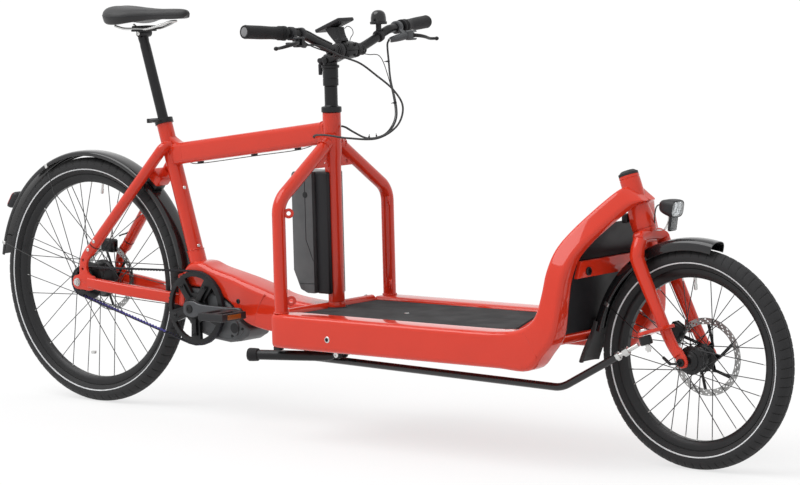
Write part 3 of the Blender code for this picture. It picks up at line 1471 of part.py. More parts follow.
def along_grip(side, distance, offset=(0, 0, 0)):
    """Point on the grip's middle line, at a distance out from where the grip starts."""
    start, end = Vector(GRIP_START), Vector(GRIP_END)
    point = start + (end - start).normalized() * distance + Vector(offset)
    return Vector((point.x, side * point.y, point.z))


def grip(name, side):
    bore = BAR_R + GAP
    length = (Vector(GRIP_END) - Vector(GRIP_START)).length
    profile = [
        (0, length + GAP),
        (bore, length + GAP),
        (bore, 0),
        (GRIP_R + 0.0015, 0),
        (GRIP_R + 0.0015, 0.006),
        (GRIP_R - 0.0005, 0.008),
        (GRIP_R, length * 0.5),
        (GRIP_R, length + 0.0025),
        (GRIP_R - 0.002, length + 0.0045),
        (0, length + 0.0045),
    ]
    axis = along_grip(side, 1.0) - along_grip(side, 0.0)
    return turned(name, profile, along_grip(side, 0.0), axis, "rubber", 16)


def brake_body(name, side):
    """Clamp on the bar with the fluid reservoir in front of it."""
    middle = along_grip(side, -0.020)
    direction = (along_grip(side, 1.0) - along_grip(side, 0.0)).normalized()
    ends = middle - direction * 0.007, middle + direction * 0.007
    body = cylinder(name, *ends, BAR_R + 0.0055, "black_plastic")
    inner = middle + Vector((0.010, -side * 0.038, -0.030))
    outer = middle + Vector((0.032, side * 0.004, -0.020))
    route = [tuple(inner), tuple(inner.lerp(outer, 0.5)), tuple(outer)]
    barrel = tube(name + "_barrel", route, 0.0095, resolution=3, radii=(0.62, 1.0, 0.9))
    route = [middle + Vector((0.010, 0, -0.006)), outer + Vector((-0.006, -side * 0.006, 0.002))]
    neck = tube(name + "_neck", [tuple(p) for p in route], 0.007, resolution=3)
    join(body, barrel, neck)
    spot = outer + Vector((0.004, side * 0.008, 0))
    join(body, box(name + "_head", spot, (0.018, 0.030, 0.025), bevel=0.003))
    cut(body, bore(name + "_bore", middle - direction * 0.03, middle + direction * 0.03, BAR_R + GAP))
    cut(body, box(name + "_slot", outer + Vector((0.008, side * 0.018, 0)), (0.034, 0.024, 0.0155)))
    return body


def lever_pivot(side):
    return along_grip(side, -0.020) + Vector((0.037, side * 0.0165, -0.020))


def brake_lever(name, side):
    """The blade, which turns between the cheeks and ends in a ball."""
    pivot = lever_pivot(side)
    at = tuple(pivot)
    tall = Vector((0, 0, 0.0068))
    knuckle = cylinder(name, pivot + tall, pivot - tall, 0.0055, "black_metal", at)
    route = [pivot + Vector((x, side * y, z)) for x, y, z in BLADE_ROUTE]
    radii = (1.2, 1.15, 1.0, 0.95, 0.85)
    blade = tube(name + "_blade", [tuple(p) for p in route], 0.0042, None, at, 2, radii)
    tall = Vector((0, 0, 0.0045))
    tip = cylinder(name + "_tip", route[-1] + tall, route[-1] - tall, 0.0058, None, at)
    join(knuckle, blade, tip)
    return knuckle


def shifter_paddle():
    """The thumb paddle under the bar, inboard of the right grip."""
    pivot = along_grip(-1, -0.052) + Vector((-0.012, 0, -0.0235))
    at = tuple(pivot)
    tall = Vector((0, 0, 0.004))
    body = cylinder("shifter_paddle", pivot + tall, pivot - tall, 0.012, "black_plastic", at)
    blade = box("paddle_blade", pivot + Vector((-0.018, -0.004, 0)), (0.024, 0.014, 0.006), None, at, 0.002)
    join(body, blade)
    return body


def display():
    """The flat screen on its arm above the clamp, tilted towards the rider."""
    slope = Matrix.Rotation(-math.radians(21), 3, "Y")
    clamp = Vector((BAR_CLAMP_X, 0, BAR_CLAMP_Z))
    middle = clamp + Vector((-0.036, 0, 0.062))
    body = box("display", middle, (0.084, 0.060, 0.0095), "black_plastic", bevel=0.003, turn=slope)
    route = [clamp + Vector(p) for p in ((-0.021, 0, 0.064), (-0.008, 0, 0.042), (0, 0, 0.024))]
    arm = tube("display_arm", [tuple(p) for p in route], 0.007, resolution=2)
    ring = clamp - Vector((0, 0.0335, 0)), clamp - Vector((0, 0.0235, 0))
    foot = cylinder("display_foot", *ring, BAR_CLAMP_R + 0.004)
    link = box("display_link", clamp + Vector((0, -0.016, 0.0265)), (0.012, 0.036, 0.007), bevel=0.0015)
    post = box("display_post", clamp + Vector((0, -0.0285, 0.0215)), (0.012, 0.010, 0.016))
    reach = Vector((0, 0.06, 0))
    join(body, arm, link)
    join(body, post, foot)
    cut(body, bore("display_bore", clamp - reach, clamp + reach, BAR_CLAMP_R + GAP))
    return body


def bell():
    """A dome on a stalk that is clamped round the bar, left of the stem."""
    left = bar_points()
    low = Vector(left[2]).lerp(Vector(left[3]), 0.4)
    direction = (Vector(left[3]) - Vector(left[2])).normalized()
    wide = direction * 0.006
    body = cylinder("bell", low - wide, low + wide, BAR_R + 0.0045, "black_plastic")
    stalk = cylinder("bell_stalk", low + Vector((0, 0, 0.006)), low + Vector((0, 0, 0.036)), 0.007)
    profile = [(0, 0.030), (0.0205, 0.030), (0.0215, 0.035), (0.0195, 0.038)]
    profile += [(0.0185, 0.054), (0.0150, 0.061), (0.007, 0.0645), (0, 0.065)]
    dome = turned("bell_dome", profile, low, (0, 0, 1), None, 16)
    join(body, stalk, dome)
    cut(body, bore("bell_bore", low - direction * 0.03, low + direction * 0.03, BAR_R + GAP))
    return body


# Fork and what it carries


def fork():
    """Steerer with its cap, crown, two bowed legs with their dropouts, and the steering arm."""
    at = tuple(head_axis(0))
    up = head_up()
    cap = [(0, 0.012), (0.014, 0.012), (0.0235, 0.007), (0.0235, 2 * GAP), (COLUMN_R, 2 * GAP)]
    low = -FRONT_HEAD_LENGTH - 2 * GAP
    seat_r = FRONT_HEAD_LOW_R - 0.001
    race = [(COLUMN_R, low), (seat_r, low), (seat_r, low - 0.008), (0.018, low - 0.016), (0, low - 0.016)]
    body = turned("fork", cap + race, head_axis(0), up, "frame_paint", 16)
    crown = []
    for y, down, half_up, half_x, forward in (
        (-0.052, 0.154, 0.012, 0.014, 0.010),
        (-0.034, 0.146, 0.014, 0.018, 0.004),
        (0.0, 0.144, 0.013, 0.021, 0.0),
        (0.034, 0.146, 0.014, 0.018, 0.004),
        (0.052, 0.154, 0.012, 0.014, 0.010),
    ):
        ahead = Vector((math.sin(HEAD_ANGLE), 0, math.cos(HEAD_ANGLE)))
        centre = head_axis(down) + ahead * forward + Vector((0, y, 0))
        crown.append(rounded_ring(centre, ahead * half_x, up * half_up, 0.007))
    join(body, loft("fork_crown", crown, None, at))
    spot = (WHEELBASE - 0.052, FORK_LEG_Y, FRONT_R + 0.065)
    join(body, box("caliper_boss", spot, (0.036, 0.008, 0.030), None, at, 0.002))
    for side in (-1, 1):
        y = FORK_LEG_Y
        top = FRONT_HEAD_TOP_Z
        route = [(0.119, 0.046, top - 0.141), (0.1185, 0.0585, top - 0.169), (0.112, y, top - 0.198)]
        route += [(0.057, y, FRONT_R + 0.097), (0.028, y, FRONT_R + 0.041), (0.010, y, FRONT_R + 0.015)]
        radii = [0.95, 1.0, 1.0, 0.85, 0.78, 0.72]
        points = [(WHEELBASE - back, side * out, z) for back, out, z in route]
        join(body, tube(f"fork_leg_{side}", points, FORK_LEG_R, None, at, 3, radii))
        outline = [(-0.020, 0.028), (-0.006, 0.034), (0.010, 0.012), (0.0135, 0.0), (0.010, -0.010)]
        outline += [(0.0, -0.0135), (-0.010, -0.009), (-0.014, 0.004)]
        holes = [circle(AXLE_R + GAP, 12)]
        spot = side_plane(WHEELBASE, side * y, FRONT_R)
        join(body, plate(f"fork_dropout_{side}", [outline, *holes], 0.010, spot, None, at))
    ahead = Vector((math.sin(HEAD_ANGLE), 0, math.cos(HEAD_ANGLE)))
    ball = ball_front()
    spot = ball + up * 0.0165
    plane = Matrix((ahead, Vector((0, 1, 0)), ahead.cross(Vector((0, 1, 0))))).transposed().to_4x4()
    plane = Matrix.Translation(spot) @ plane
    reach = -FORK_LEG_Y - ball.y
    outline = [(-0.013, -0.006), (-0.006, -0.013), (0.008, -0.013), (0.014, -0.006)]
    outline += [(0.040, reach - 0.018), (0.040, reach + 0.006), (-0.012, reach + 0.004)]
    outline += [(-0.046, reach - 0.008), (-0.046, reach - 0.022), (-0.012, reach - 0.026)]
    holes = [circle(0.0045, 8, (-0.034, reach - 0.013))]
    join(body, plate("fork_arm", [outline, *holes], 0.008, plane, None, at))
    join(body, cylinder("fork_pin", ball - up * 0.013, ball + up * 0.016, PIN_R, None, at))
    return body


def front_axle():
    """The bolt-through axle, with a round head on the right and a nut on the left."""
    outer = FORK_LEG_Y + 0.005
    profile = [
        (0, outer + 0.006),
        (0.0095, outer + 0.005),
        (0.0095, outer + GAP),
        (AXLE_R, outer + GAP),
        (AXLE_R, -outer - GAP),
        (0.0095, -outer - GAP),
        (0.0095, -outer - 0.004),
        (0, -outer - 0.006),
    ]
    return turned("front_axle", profile, (WHEELBASE, 0, FRONT_R), (0, 1, 0), "black_metal", 14)


def caliper(name, centre, angle, rotor_y):
    """A brake caliper astride its disc, beside the lug that it bolts to."""
    turn = Matrix.Rotation(-angle, 3, "Y")
    middle = Vector((centre[0], rotor_y - 0.001, centre[1]))
    body = box(name, middle, (0.036, 0.026, 0.048), "black_metal", bevel=0.005, turn=turn)
    inward = Vector((math.cos(angle), 0, math.sin(angle))) * 0.012
    middle += Vector((0, 0.001, 0))
    cut(body, box(name + "_slot", middle - inward, (0.050, 0.0042, 0.090), turn=turn))
    return body


def headlight():
    """The lamp on its bracket in front of the head tube."""
    middle = Vector((WHEELBASE - 0.061, 0, FRONT_HEAD_TOP_Z - 0.077))
    tilt = Vector((0.985, 0, -0.17)).normalized()
    across = Vector((0, 1, 0))
    up = tilt.cross(across) * -1
    rings = [
        rounded_ring(middle - tilt * 0.027, across * 0.012, up * 0.010, 0.006),
        rounded_ring(middle - tilt * 0.018, across * 0.021, up * 0.018, 0.010),
        rounded_ring(middle - tilt * 0.002, across * 0.026, up * 0.024, 0.014),
        rounded_ring(middle + tilt * 0.016, across * 0.027, up * 0.026, 0.016),
        rounded_ring(middle + tilt * 0.021, across * 0.024, up * 0.022, 0.014),
    ]
    body = loft("headlight", rings, "black_plastic")
    foot = head_axis(0.140) + Vector((0.0265, 0, 0.010))
    route = [tuple(foot)]
    for back, down in ((0.083, 0.120), (0.067, 0.097), (0.065, 0.085)):
        route.append((WHEELBASE - back, 0, FRONT_HEAD_TOP_Z - down))
    bracket = tube("light_bracket", route, 0.0045, resolution=2)
    join(body, bracket)
    return body


def front_mudguard():
    """The short blade over the front wheel, its flap and the wires to the dropouts."""
    outer = FRONT_R + FRONT_GUARD_GAP + GUARD_WALL
    centre = (WHEELBASE, FRONT_R)
    angles = [74 + 94 * k / 14 for k in range(15)]
    radii = [outer] * 15
    for angle, grow in ((172, 0.003), (177, 0.012), (182, 0.023), (185, 0.031)):
        angles.append(angle)
        radii.append(outer + grow)
    body = guard("front_mudguard", centre, angles, radii)
    for side in (-1, 1):
        a = math.radians(153)
        r = outer - 0.0108
        edge = (centre[0] + r * math.cos(a), side * 0.0255, centre[1] + r * math.sin(a))
        knee = (edge[0] + 0.030, side * 0.066, edge[2] - 0.020)
        foot = (WHEELBASE - 0.026, side * 0.0745, FRONT_R - 0.001)
        join(body, tube(f"front_guard_wire_{side}", [edge, knee, foot], 0.0018, resolution=0))
    return body


# Kickstand and hoses


def kickstand():
    """Two legs on one shaft under the platform, folded back, each with a rubber foot."""
    at = (STAND_X, 0, STAND_Z)
    end = STAND_Y + 0.013
    shaft = (STAND_X, -end, STAND_Z), (STAND_X, end, STAND_Z)
    body = cylinder("kickstand", *shaft, STAND_SHAFT_R, "black_metal", at)
    for side in (-1, 1):
        foot = (STAND_FOOT_X, STAND_FOOT_Y, STAND_FOOT_Z)
        route = [(STAND_X, STAND_Y, STAND_Z), (STAND_X - 0.020, STAND_Y, 0.212)]
        route += [(STAND_X - 0.055, 0.158, 0.2085), foot]
        points = [(x, side * y, z) for x, y, z in route]
        join(body, tube(f"stand_leg_{side}", points, STAND_R, None, at, 3, (0.66, 0.66, 1.0, 1.0)))
        lug = [(STAND_X, side * y, STAND_Z) for y in (STAND_Y - 0.0085, STAND_Y + 0.0085)]
        join(body, cylinder(f"stand_lug_{side}", *lug, 0.0095, None, at))
        tip = Vector(points[-1])
        back = (tip - Vector(points[-2])).normalized()
        join(body, cylinder(f"stand_foot_{side}", tip - back * 0.024, tip + back * 0.003, 0.0165, None, at))
    return body


def brake_hoses():
    """Both hoses, each from its lever down a loose loop to where it enters the frame."""
    right = along_grip(-1, -0.020) + Vector((0.010, 0.038, -0.030))
    route = [right + Vector((0.001, 0.0075, 0.0005)), right + Vector((0.006, 0.050, -0.004))]
    route += [(0.940, -0.060, 0.938), (0.948, 0.000, 0.918), (0.962, 0.042, 0.888)]
    route += [(0.998, 0.066, 0.850), (1.026, 0.068, 0.808)]
    route += [(1.024, 0.046, 0.762), (0.992, 0.006, 0.733), (0.935, -0.036, 0.735), (0.880, -0.044, 0.741)]
    route += [(0.838, -0.040, 0.741), (0.820, -0.033, 0.737), (0.812, -0.0228, 0.733)]
    tube("rear_brake_hose", [tuple(p) for p in smooth_path(route, 0.0150)], HOSE_R, "rubber", resolution=2)
    left = along_grip(1, -0.020) + Vector((0.010, -0.038, -0.030))
    route = [left + Vector((0.001, -0.0075, -0.0005)), left + Vector((0.006, -0.020, -0.012))]
    route += [(0.920, 0.146, 0.918), (0.938, 0.130, 0.870), (0.975, 0.104, 0.809)]
    route += [(0.991, 0.082, 0.774), (0.984, 0.062, 0.745)]
    route += [(0.966, 0.046, 0.733), (0.937, 0.031, 0.731), (0.905, 0.020, 0.746)]
    route += [(0.888, 0.013, 0.757), (0.8762, 0.008, 0.761)]
    tube("front_brake_hose", [tuple(p) for p in smooth_path(route, 0.0150)], HOSE_R, "rubber", resolution=2)


def build():
    clear_scene()
    seat_tube()
    top_tube()
    drive_beam()
    rear_stays("right_rear_stays", -1)
    rear_stays("left_rear_stays", 1)
    column_tube()
    arch_tube("right_arch_tube", -1)
    arch_tube("left_arch_tube", 1)
    side_rail("right_side_rail", -1)
    side_rail("left_side_rail", 1)
    deck_frame()
    deck_mat()
    front_head_tube()
    front_brace()
    front_panel()
    motor()
    battery()
    battery_mount()
    rear_mudguard()
    rear_light()
    caliper("rear_caliper", (0.004, REAR_R + 0.088), math.radians(87), REAR_ROTOR_Y)
    seat_collar()
    seat_collar_lever()
    seatpost()
    saddle_rails()
    saddle()
    kickstand()
    steering_column()
    stem()
    stem_lever()
    handlebar()
    grip("right_grip", -1)
    grip("left_grip", 1)
    brake_body("right_brake_body", -1)
    brake_lever("right_brake_lever", -1)
    brake_body("left_brake_body", 1)
    brake_lever("left_brake_lever", 1)
    shifter_paddle()
    display()
    bell()
    fork()
    front_axle()
    caliper("front_caliper", (WHEELBASE - 0.082, FRONT_R + 0.051), math.radians(148), FRONT_ROTOR_Y)
    headlight()
    front_mudguard()
    steering_rod()
    rear_wheel()
    front_wheel()
    crankset()
    belt_ring()
    rear_sprocket()
    belt()
    pedal("right_pedal", -1, CRANK_X + CRANK_LENGTH)
    pedal("left_pedal", 1, CRANK_X - CRANK_LENGTH)
    brake_hoses()


build()
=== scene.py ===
"""Electric cargo bike with a low platform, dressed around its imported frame.

Metres, +Z up, +X towards the nose and +Y to the rider's left. While a piece is modelled, its places
along X are counted from the rear axle; settle() then moves it to the row frame.
"""

from __future__ import annotations

import logging
import math
from contextlib import contextmanager
from dataclasses import dataclass, field
from enum import Enum
from typing import Iterable, Iterator, Sequence

import bmesh
import bpy
from mathutils import Matrix, Vector


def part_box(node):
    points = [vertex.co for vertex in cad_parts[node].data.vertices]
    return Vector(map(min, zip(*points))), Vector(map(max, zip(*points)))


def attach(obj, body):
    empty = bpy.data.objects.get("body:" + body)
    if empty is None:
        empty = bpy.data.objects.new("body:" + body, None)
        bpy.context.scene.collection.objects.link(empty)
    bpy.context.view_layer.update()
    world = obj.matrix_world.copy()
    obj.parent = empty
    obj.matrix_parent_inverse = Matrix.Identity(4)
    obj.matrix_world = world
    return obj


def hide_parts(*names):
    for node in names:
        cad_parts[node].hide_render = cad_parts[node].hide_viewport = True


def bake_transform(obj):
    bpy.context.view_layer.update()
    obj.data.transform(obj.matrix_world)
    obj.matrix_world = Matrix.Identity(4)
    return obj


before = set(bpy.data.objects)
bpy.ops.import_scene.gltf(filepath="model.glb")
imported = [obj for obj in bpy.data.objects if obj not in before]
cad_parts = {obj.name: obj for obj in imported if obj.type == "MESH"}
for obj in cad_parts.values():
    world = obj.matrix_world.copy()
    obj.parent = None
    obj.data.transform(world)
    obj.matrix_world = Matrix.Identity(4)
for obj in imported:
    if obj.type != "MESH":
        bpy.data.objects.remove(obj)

LOG = logging.getLogger("cargo_bike")
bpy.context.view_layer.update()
AXLE_X = (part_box("rear_tyre")[0][0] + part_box("rear_tyre")[1][0]) / 2

Point = Sequence[float]
Flat = tuple[float, float]
Colour = tuple[float, float, float]
Piece = bpy.types.Object
Tree = bpy.types.NodeTree
Socket = bpy.types.NodeSocket


# Tools


def select_only(*objects: Piece) -> None:
    """Select these objects and nothing else, and make the first one active."""
    bpy.ops.object.select_all(action="DESELECT")
    for obj in objects:
        obj.select_set(True)
    bpy.context.view_layer.objects.active = objects[0]


def take(name: str) -> Piece:
    """Name the object that an operator has just added, and return it."""
    obj = bpy.context.active_object
    obj.name = name
    obj.data.name = name
    return obj


@contextmanager
def edit_mode(obj: Piece) -> Iterator[bmesh.types.BMesh]:
    """Enter edit mode on one object, and leave it afterwards.

    Args:
        obj: The object to edit.

    Returns:
        The object's edit mesh.
    """
    select_only(obj)
    bpy.ops.object.mode_set(mode="EDIT")
    yield bmesh.from_edit_mesh(obj.data)
    bpy.ops.object.mode_set(mode="OBJECT")


def tidy(obj: Piece) -> Piece:
    """Merge doubles and turn every face outwards."""
    with edit_mode(obj):
        bpy.ops.mesh.select_all(action="SELECT")
        bpy.ops.mesh.remove_doubles(threshold=0.00001)
        bpy.ops.mesh.normals_make_consistent(inside=False)
    return obj


def modify(obj: Piece, kind: str, **settings: object) -> Piece:
    """Add a modifier and apply it.

    Args:
        obj: The object to change.
        kind: The modifier's type.
        **settings: The modifier's own settings.

    Returns:
        The same object.
    """
    change = obj.modifiers.new(kind.title(), kind)
    for key, value in settings.items():
        setattr(change, key, value)
    select_only(obj)
    bpy.ops.object.modifier_apply(modifier=change.name)
    return obj


def soften(obj: Piece, width: float, segments: int = 3, angle: float = 30.0) -> Piece:
    """Round the edges that are sharper than an angle in degrees."""
    settings = {"width": width, "segments": segments, "limit_method": "ANGLE"}
    return modify(obj, "BEVEL", **settings, angle_limit=math.radians(angle), harden_normals=False)


def erase(obj: Piece) -> None:
    """Remove an object that has done its work."""
    bpy.data.objects.remove(obj, do_unlink=True)


def unite(obj: Piece, *others: Piece) -> Piece:
    """Weld other closed pieces to one, and remove them."""
    for other in others:
        modify(obj, "BOOLEAN", operation="UNION", solver="EXACT", object=other)
        erase(other)
    return obj


def carve(obj: Piece, *cutters: Piece) -> Piece:
    """Cut closed pieces out of one, and remove them."""
    for cutter in cutters:
        modify(obj, "BOOLEAN", operation="DIFFERENCE", solver="EXACT", object=cutter)
        erase(cutter)
    return obj


def gather(obj: Piece, *others: Piece) -> Piece:
    """Make separate shells one object, without welding them."""
    select_only(obj, *others)
    bpy.ops.object.join()
    return obj


def copies(obj: Piece, places: Iterable[Matrix]) -> Piece:
    """Copy a piece to several places and gather the copies.

    Args:
        obj: The piece, modelled once.
        places: A matrix for each copy.

    Returns:
        One object that holds all copies.
    """
    made = []
    for place in places:
        twin = obj.copy()
        twin.data = obj.data.copy()
        twin.data.transform(place)
        bpy.context.scene.collection.objects.link(twin)
        made.append(twin)
    erase(obj)
    return gather(*made) if len(made) > 1 else made[0]


def aim(direction: Point, up: Point = (0, 0, 1)) -> Matrix:
    """Rotation whose Z runs along a direction and whose Y stays near up."""
    z = Vector(direction).normalized()
    x = Vector(up).cross(z)
    if x.length < 1e-6:
        x = Vector((1, 0, 0)).cross(z)
    x.normalize()
    return Matrix((x, z.cross(x), z)).transposed().to_4x4()


def side_plane(x: float, y: float, z: float) -> Matrix:
    """A plane at a point whose X is the bike's X and whose Y is up."""
    turn = Matrix(((1, 0, 0, 0), (0, 0, -1, 0), (0, 1, 0, 0), (0, 0, 0, 1)))
    return Matrix.Translation((x, y, z)) @ turn


def front_plane(x: float, y: float, z: float) -> Matrix:
    """A plane at a point whose X is the bike's Y and whose Y is up."""
    turn = Matrix(((0, 0, 1, 0), (1, 0, 0, 0), (0, 1, 0, 0), (0, 0, 0, 1)))
    return Matrix.Translation((x, y, z)) @ turn


def pin(name: str, start: Point, end: Point, radius: float, sides: int = 24, edge: float = 0.0) -> Piece:
    """A cylinder between two points.

    Args:
        name: The object's name.
        start: One end.
        end: The other end.
        radius: The cylinder's radius.
        sides: The number of its sides.
        edge: The size of the rounding of its rims, or 0.

    Returns:
        The new object.
    """
    start, end = Vector(start), Vector(end)
    turn = aim(end - start).to_euler()
    bpy.ops.object.select_all(action="DESELECT")
    bpy.ops.mesh.primitive_cylinder_add(
        vertices=sides, radius=radius, depth=(end - start).length, location=(start + end) / 2, rotation=turn
    )
    obj = take(name)
    bpy.ops.object.transform_apply(location=True, rotation=True, scale=True)
    return soften(obj, edge, 2, 60) if edge else obj


def block(
    name: str, centre: Point, size: Point, edge: float = 0.002, turn: Matrix | None = None, segments: int = 3
) -> Piece:
    """A box with rounded edges.

    Args:
        name: The object's name.
        centre: Its middle.
        size: Its three sides.
        edge: The radius of its edges.
        turn: Its rotation about its middle.
        segments: The steps of each rounding.

    Returns:
        The new object.
    """
    bpy.ops.object.select_all(action="DESELECT")
    bpy.ops.mesh.primitive_cube_add(size=1)
    obj = take(name)
    obj.scale = size
    obj.rotation_euler = (turn or Matrix.Identity(3)).to_euler()
    obj.location = centre
    bpy.ops.object.transform_apply(location=True, rotation=True, scale=True)
    return soften(obj, edge, segments) if edge else obj


def lathe(
    name: str,
    profile: Sequence[Flat],
    centre: Point,
    axis: Point,
    steps: int = 48,
    closed: bool = False,
    edge: float = 0.0,
) -> Piece:
    """Spin a profile about an axis.

    Args:
        name: The object's name.
        profile: Points as (radius, height along the axis).
        centre: The point on the axis at height 0.
        axis: The axis's direction.
        steps: The steps of the spin.
        closed: Whether the profile's ends are joined.
        edge: The size of the rounding of the profile's corners, or 0.

    Returns:
        The new object.
    """
    bpy.ops.object.select_all(action="DESELECT")
    bpy.ops.mesh.primitive_plane_add(size=0.001)
    obj = take(name)
    points = [Vector((r, 0, h)) for r, h in profile]
    with edit_mode(obj):
        bpy.ops.mesh.select_all(action="SELECT")
        bpy.ops.mesh.merge(type="CENTER")
        bpy.ops.transform.translate(value=points[0])
        for before, after in zip(points, points[1:]):
            bpy.ops.mesh.extrude_vertices_move(TRANSFORM_OT_translate={"value": after - before})
        if closed:
            bm = bmesh.from_edit_mesh(obj.data)
            for vert in bm.verts:
                vert.select = len(vert.link_edges) == 1
            bm.select_flush_mode()
            bpy.ops.mesh.edge_face_add()
        bpy.ops.mesh.select_all(action="SELECT")
        bpy.ops.mesh.spin(steps=steps, angle=math.tau, center=(0, 0, 0), axis=(0, 0, 1))
        bpy.ops.mesh.select_all(action="SELECT")
        bpy.ops.mesh.remove_doubles(threshold=0.00001)
        bpy.ops.mesh.normals_make_consistent(inside=False)
    if edge:
        soften(obj, edge, 2, 25)
    obj.data.transform(Matrix.Translation(Vector(centre)) @ aim(axis))
    return obj


def plate(
    name: str, loops: Sequence[Sequence[Flat]], thickness: float, place: Matrix, edge: float = 0.0
) -> Piece:
    """A flat outline with holes, centred on its thickness.

    Args:
        name: The object's name.
        loops: The outline and then its holes, as points in the plane.
        thickness: The plate's thickness.
        place: The matrix that takes the plane into the bike.
        edge: The size of the rounding of its rims.

    Returns:
        The new object.
    """
    curve = bpy.data.curves.new(name, "CURVE")
    curve.dimensions = "2D"
    curve.fill_mode = "BOTH"
    curve.extrude = thickness / 2 - edge
    curve.bevel_depth = edge
    curve.bevel_resolution = 1
    curve.offset = -edge
    for loop in loops:
        spline = curve.splines.new("POLY")
        spline.points.add(len(loop) - 1)
        spline.use_cyclic_u = True
        for point, (x, y) in zip(spline.points, loop):
            point.co = (x, y, 0, 1)
    obj = solid_of(name, curve)
    obj.data.transform(place)
    return tidy(obj)


def solid_of(name: str, curve: bpy.types.Curve) -> Piece:
    """Turn a curve into a mesh object."""
    source = bpy.data.objects.new(name, curve)
    bpy.context.scene.collection.objects.link(source)
    select_only(source)
    bpy.ops.object.convert(target="MESH")
    return take(name)


def tube(
    name: str,
    points: Sequence[Point],
    radius: float,
    radii: Sequence[float] | None = None,
    sides: int = 20,
) -> Piece:
    """A round tube along points.

    Args:
        name: The object's name.
        points: The middle line's points.
        radius: The tube's radius.
        radii: Its radius at each point, as a share of radius.
        sides: The number of its sides.

    Returns:
        The new object.
    """
    curve = bpy.data.curves.new(name, "CURVE")
    curve.dimensions = "3D"
    curve.bevel_depth = radius
    curve.bevel_resolution = (sides - 4) // 2
    curve.use_fill_caps = True
    spline = curve.splines.new("POLY")
    spline.points.add(len(points) - 1)
    for i, (point, place) in enumerate(zip(spline.points, points)):
        point.co = (*place, 1)
        point.radius = radii[i] if radii else 1.0
    return tidy(solid_of(name, curve))


def loft(name: str, rings: Sequence[Sequence[Point]]) -> Piece:
    """A closed skin that is extruded from ring to ring.

    Args:
        name: The object's name.
        rings: Rings of the same number of points.

    Returns:
        The new object.
    """
    bpy.ops.object.select_all(action="DESELECT")
    bpy.ops.mesh.primitive_circle_add(vertices=len(rings[0]), radius=0.01, fill_type="NGON")
    obj = take(name)
    with edit_mode(obj) as bm:
        bpy.ops.mesh.select_all(action="SELECT")
        bm.verts.ensure_lookup_table()
        row = list(bm.verts)
        for vert, place in zip(row, rings[0]):
            vert.co = place
        for ring in rings[1:]:
            bpy.ops.mesh.extrude_region()
            bm = bmesh.from_edit_mesh(obj.data)
            row = [next(e.other_vert(v) for e in v.link_edges if e.other_vert(v).select) for v in row]
            for vert, place in zip(row, ring):
                vert.co = place
        bpy.ops.mesh.select_all(action="SELECT")
        bpy.ops.mesh.normals_make_consistent(inside=False)
    return obj


def rounded_ring(
    centre: Point, half_u: Point, half_v: Point, corner: float, steps: int = 6, under: float | None = None
) -> list[Vector]:
    """A rounded rectangle about a centre.

    Args:
        centre: Its middle.
        half_u: Half of one side, as a vector.
        half_v: Half of the other side.
        corner: The radius of its corners.
        steps: The points of each corner.
        under: The radius of the two corners on the far side of half_v, where it differs.

    Returns:
        The ring's points.
    """
    centre, u, v = Vector(centre), Vector(half_u), Vector(half_v)
    ring = []
    for quarter, (su, sv) in enumerate(((1, 1), (-1, 1), (-1, -1), (1, -1))):
        size = under if under is not None and sv < 0 else corner
        for k in range(steps):
            angle = math.pi / 2 * (quarter + k / (steps - 1))
            across = u.normalized() * (su * (u.length - size) + size * math.cos(angle))
            ring.append(centre + across + v.normalized() * (sv * (v.length - size) + size * math.sin(angle)))
    return ring


def oval_ring(centre: Point, half_u: Point, half_v: Point, count: int = 32) -> list[Vector]:
    """An ellipse about a centre, with its two half axes given as vectors."""
    u, v = Vector(half_u), Vector(half_v)
    turns = [math.tau * k / count for k in range(count)]
    return [Vector(centre) + u * math.cos(a) + v * math.sin(a) for a in turns]


def circle(radius: float, count: int, centre: Point = (0, 0)) -> list[Flat]:
    """Points of a circle in a plane."""
    turns = [math.tau * k / count for k in range(count)]
    return [(centre[0] + radius * math.cos(a), centre[1] + radius * math.sin(a)) for a in turns]


def arc(radius: float, start: float, end: float, count: int, centre: Point = (0, 0)) -> list[Flat]:
    """Points of an arc in a plane, both ends included."""
    turns = [start + (end - start) * k / (count - 1) for k in range(count)]
    return [(centre[0] + radius * math.cos(a), centre[1] + radius * math.sin(a)) for a in turns]


def flipped(row: Sequence[Flat]) -> list[Flat]:
    """The same points with their second value negated, from the last to the first."""
    return [(a, -b) for a, b in reversed(row)]


def blended(stations: Sequence[Sequence[float]], steps: int) -> list[list[float]]:
    """Rows of numbers that run smoothly through given rows.

    Args:
        stations: The given rows.
        steps: The new rows between two given ones.

    Returns:
        All rows, the given ones included.
    """
    first = [2 * a - b for a, b in zip(stations[0], stations[1])]
    last = [2 * a - b for a, b in zip(stations[-1], stations[-2])]
    padded = [first, *stations, last]
    rows = []
    for a, b, c, d in zip(padded, padded[1:], padded[2:], padded[3:]):
        for k in range(steps):
            t = k / steps
            rows.append([hermite(p, q, r, s, t) for p, q, r, s in zip(a, b, c, d)])
    rows.append(list(stations[-1]))
    return rows


def hermite(p: float, q: float, r: float, s: float, t: float) -> float:
    """The value at t between q and r, with p and s beyond them."""
    lead, turn = (r - p) / 2, (s - q) / 2
    return q + lead * t + (3 * (r - q) - 2 * lead - turn) * t * t + (2 * (q - r) + lead + turn) * t * t * t


def bend(a: Point, corner: Point, b: Point, radius: float, count: int = 10) -> list[Vector]:
    """Points of a round bend at a corner between two straight runs."""
    a, corner, b = Vector(a), Vector(corner), Vector(b)
    u, v = (a - corner).normalized(), (b - corner).normalized()
    half = u.angle(v) / 2
    centre = corner + (u + v).normalized() * (radius / math.sin(half))
    p = corner + u * (radius / math.tan(half)) - centre
    q = corner + v * (radius / math.tan(half)) - centre
    total = p.angle(q)
    shares = [k / (count - 1) for k in range(count)]
    return [
        centre + (math.sin((1 - t) * total) * p + math.sin(t * total) * q) / math.sin(total) for t in shares
    ]


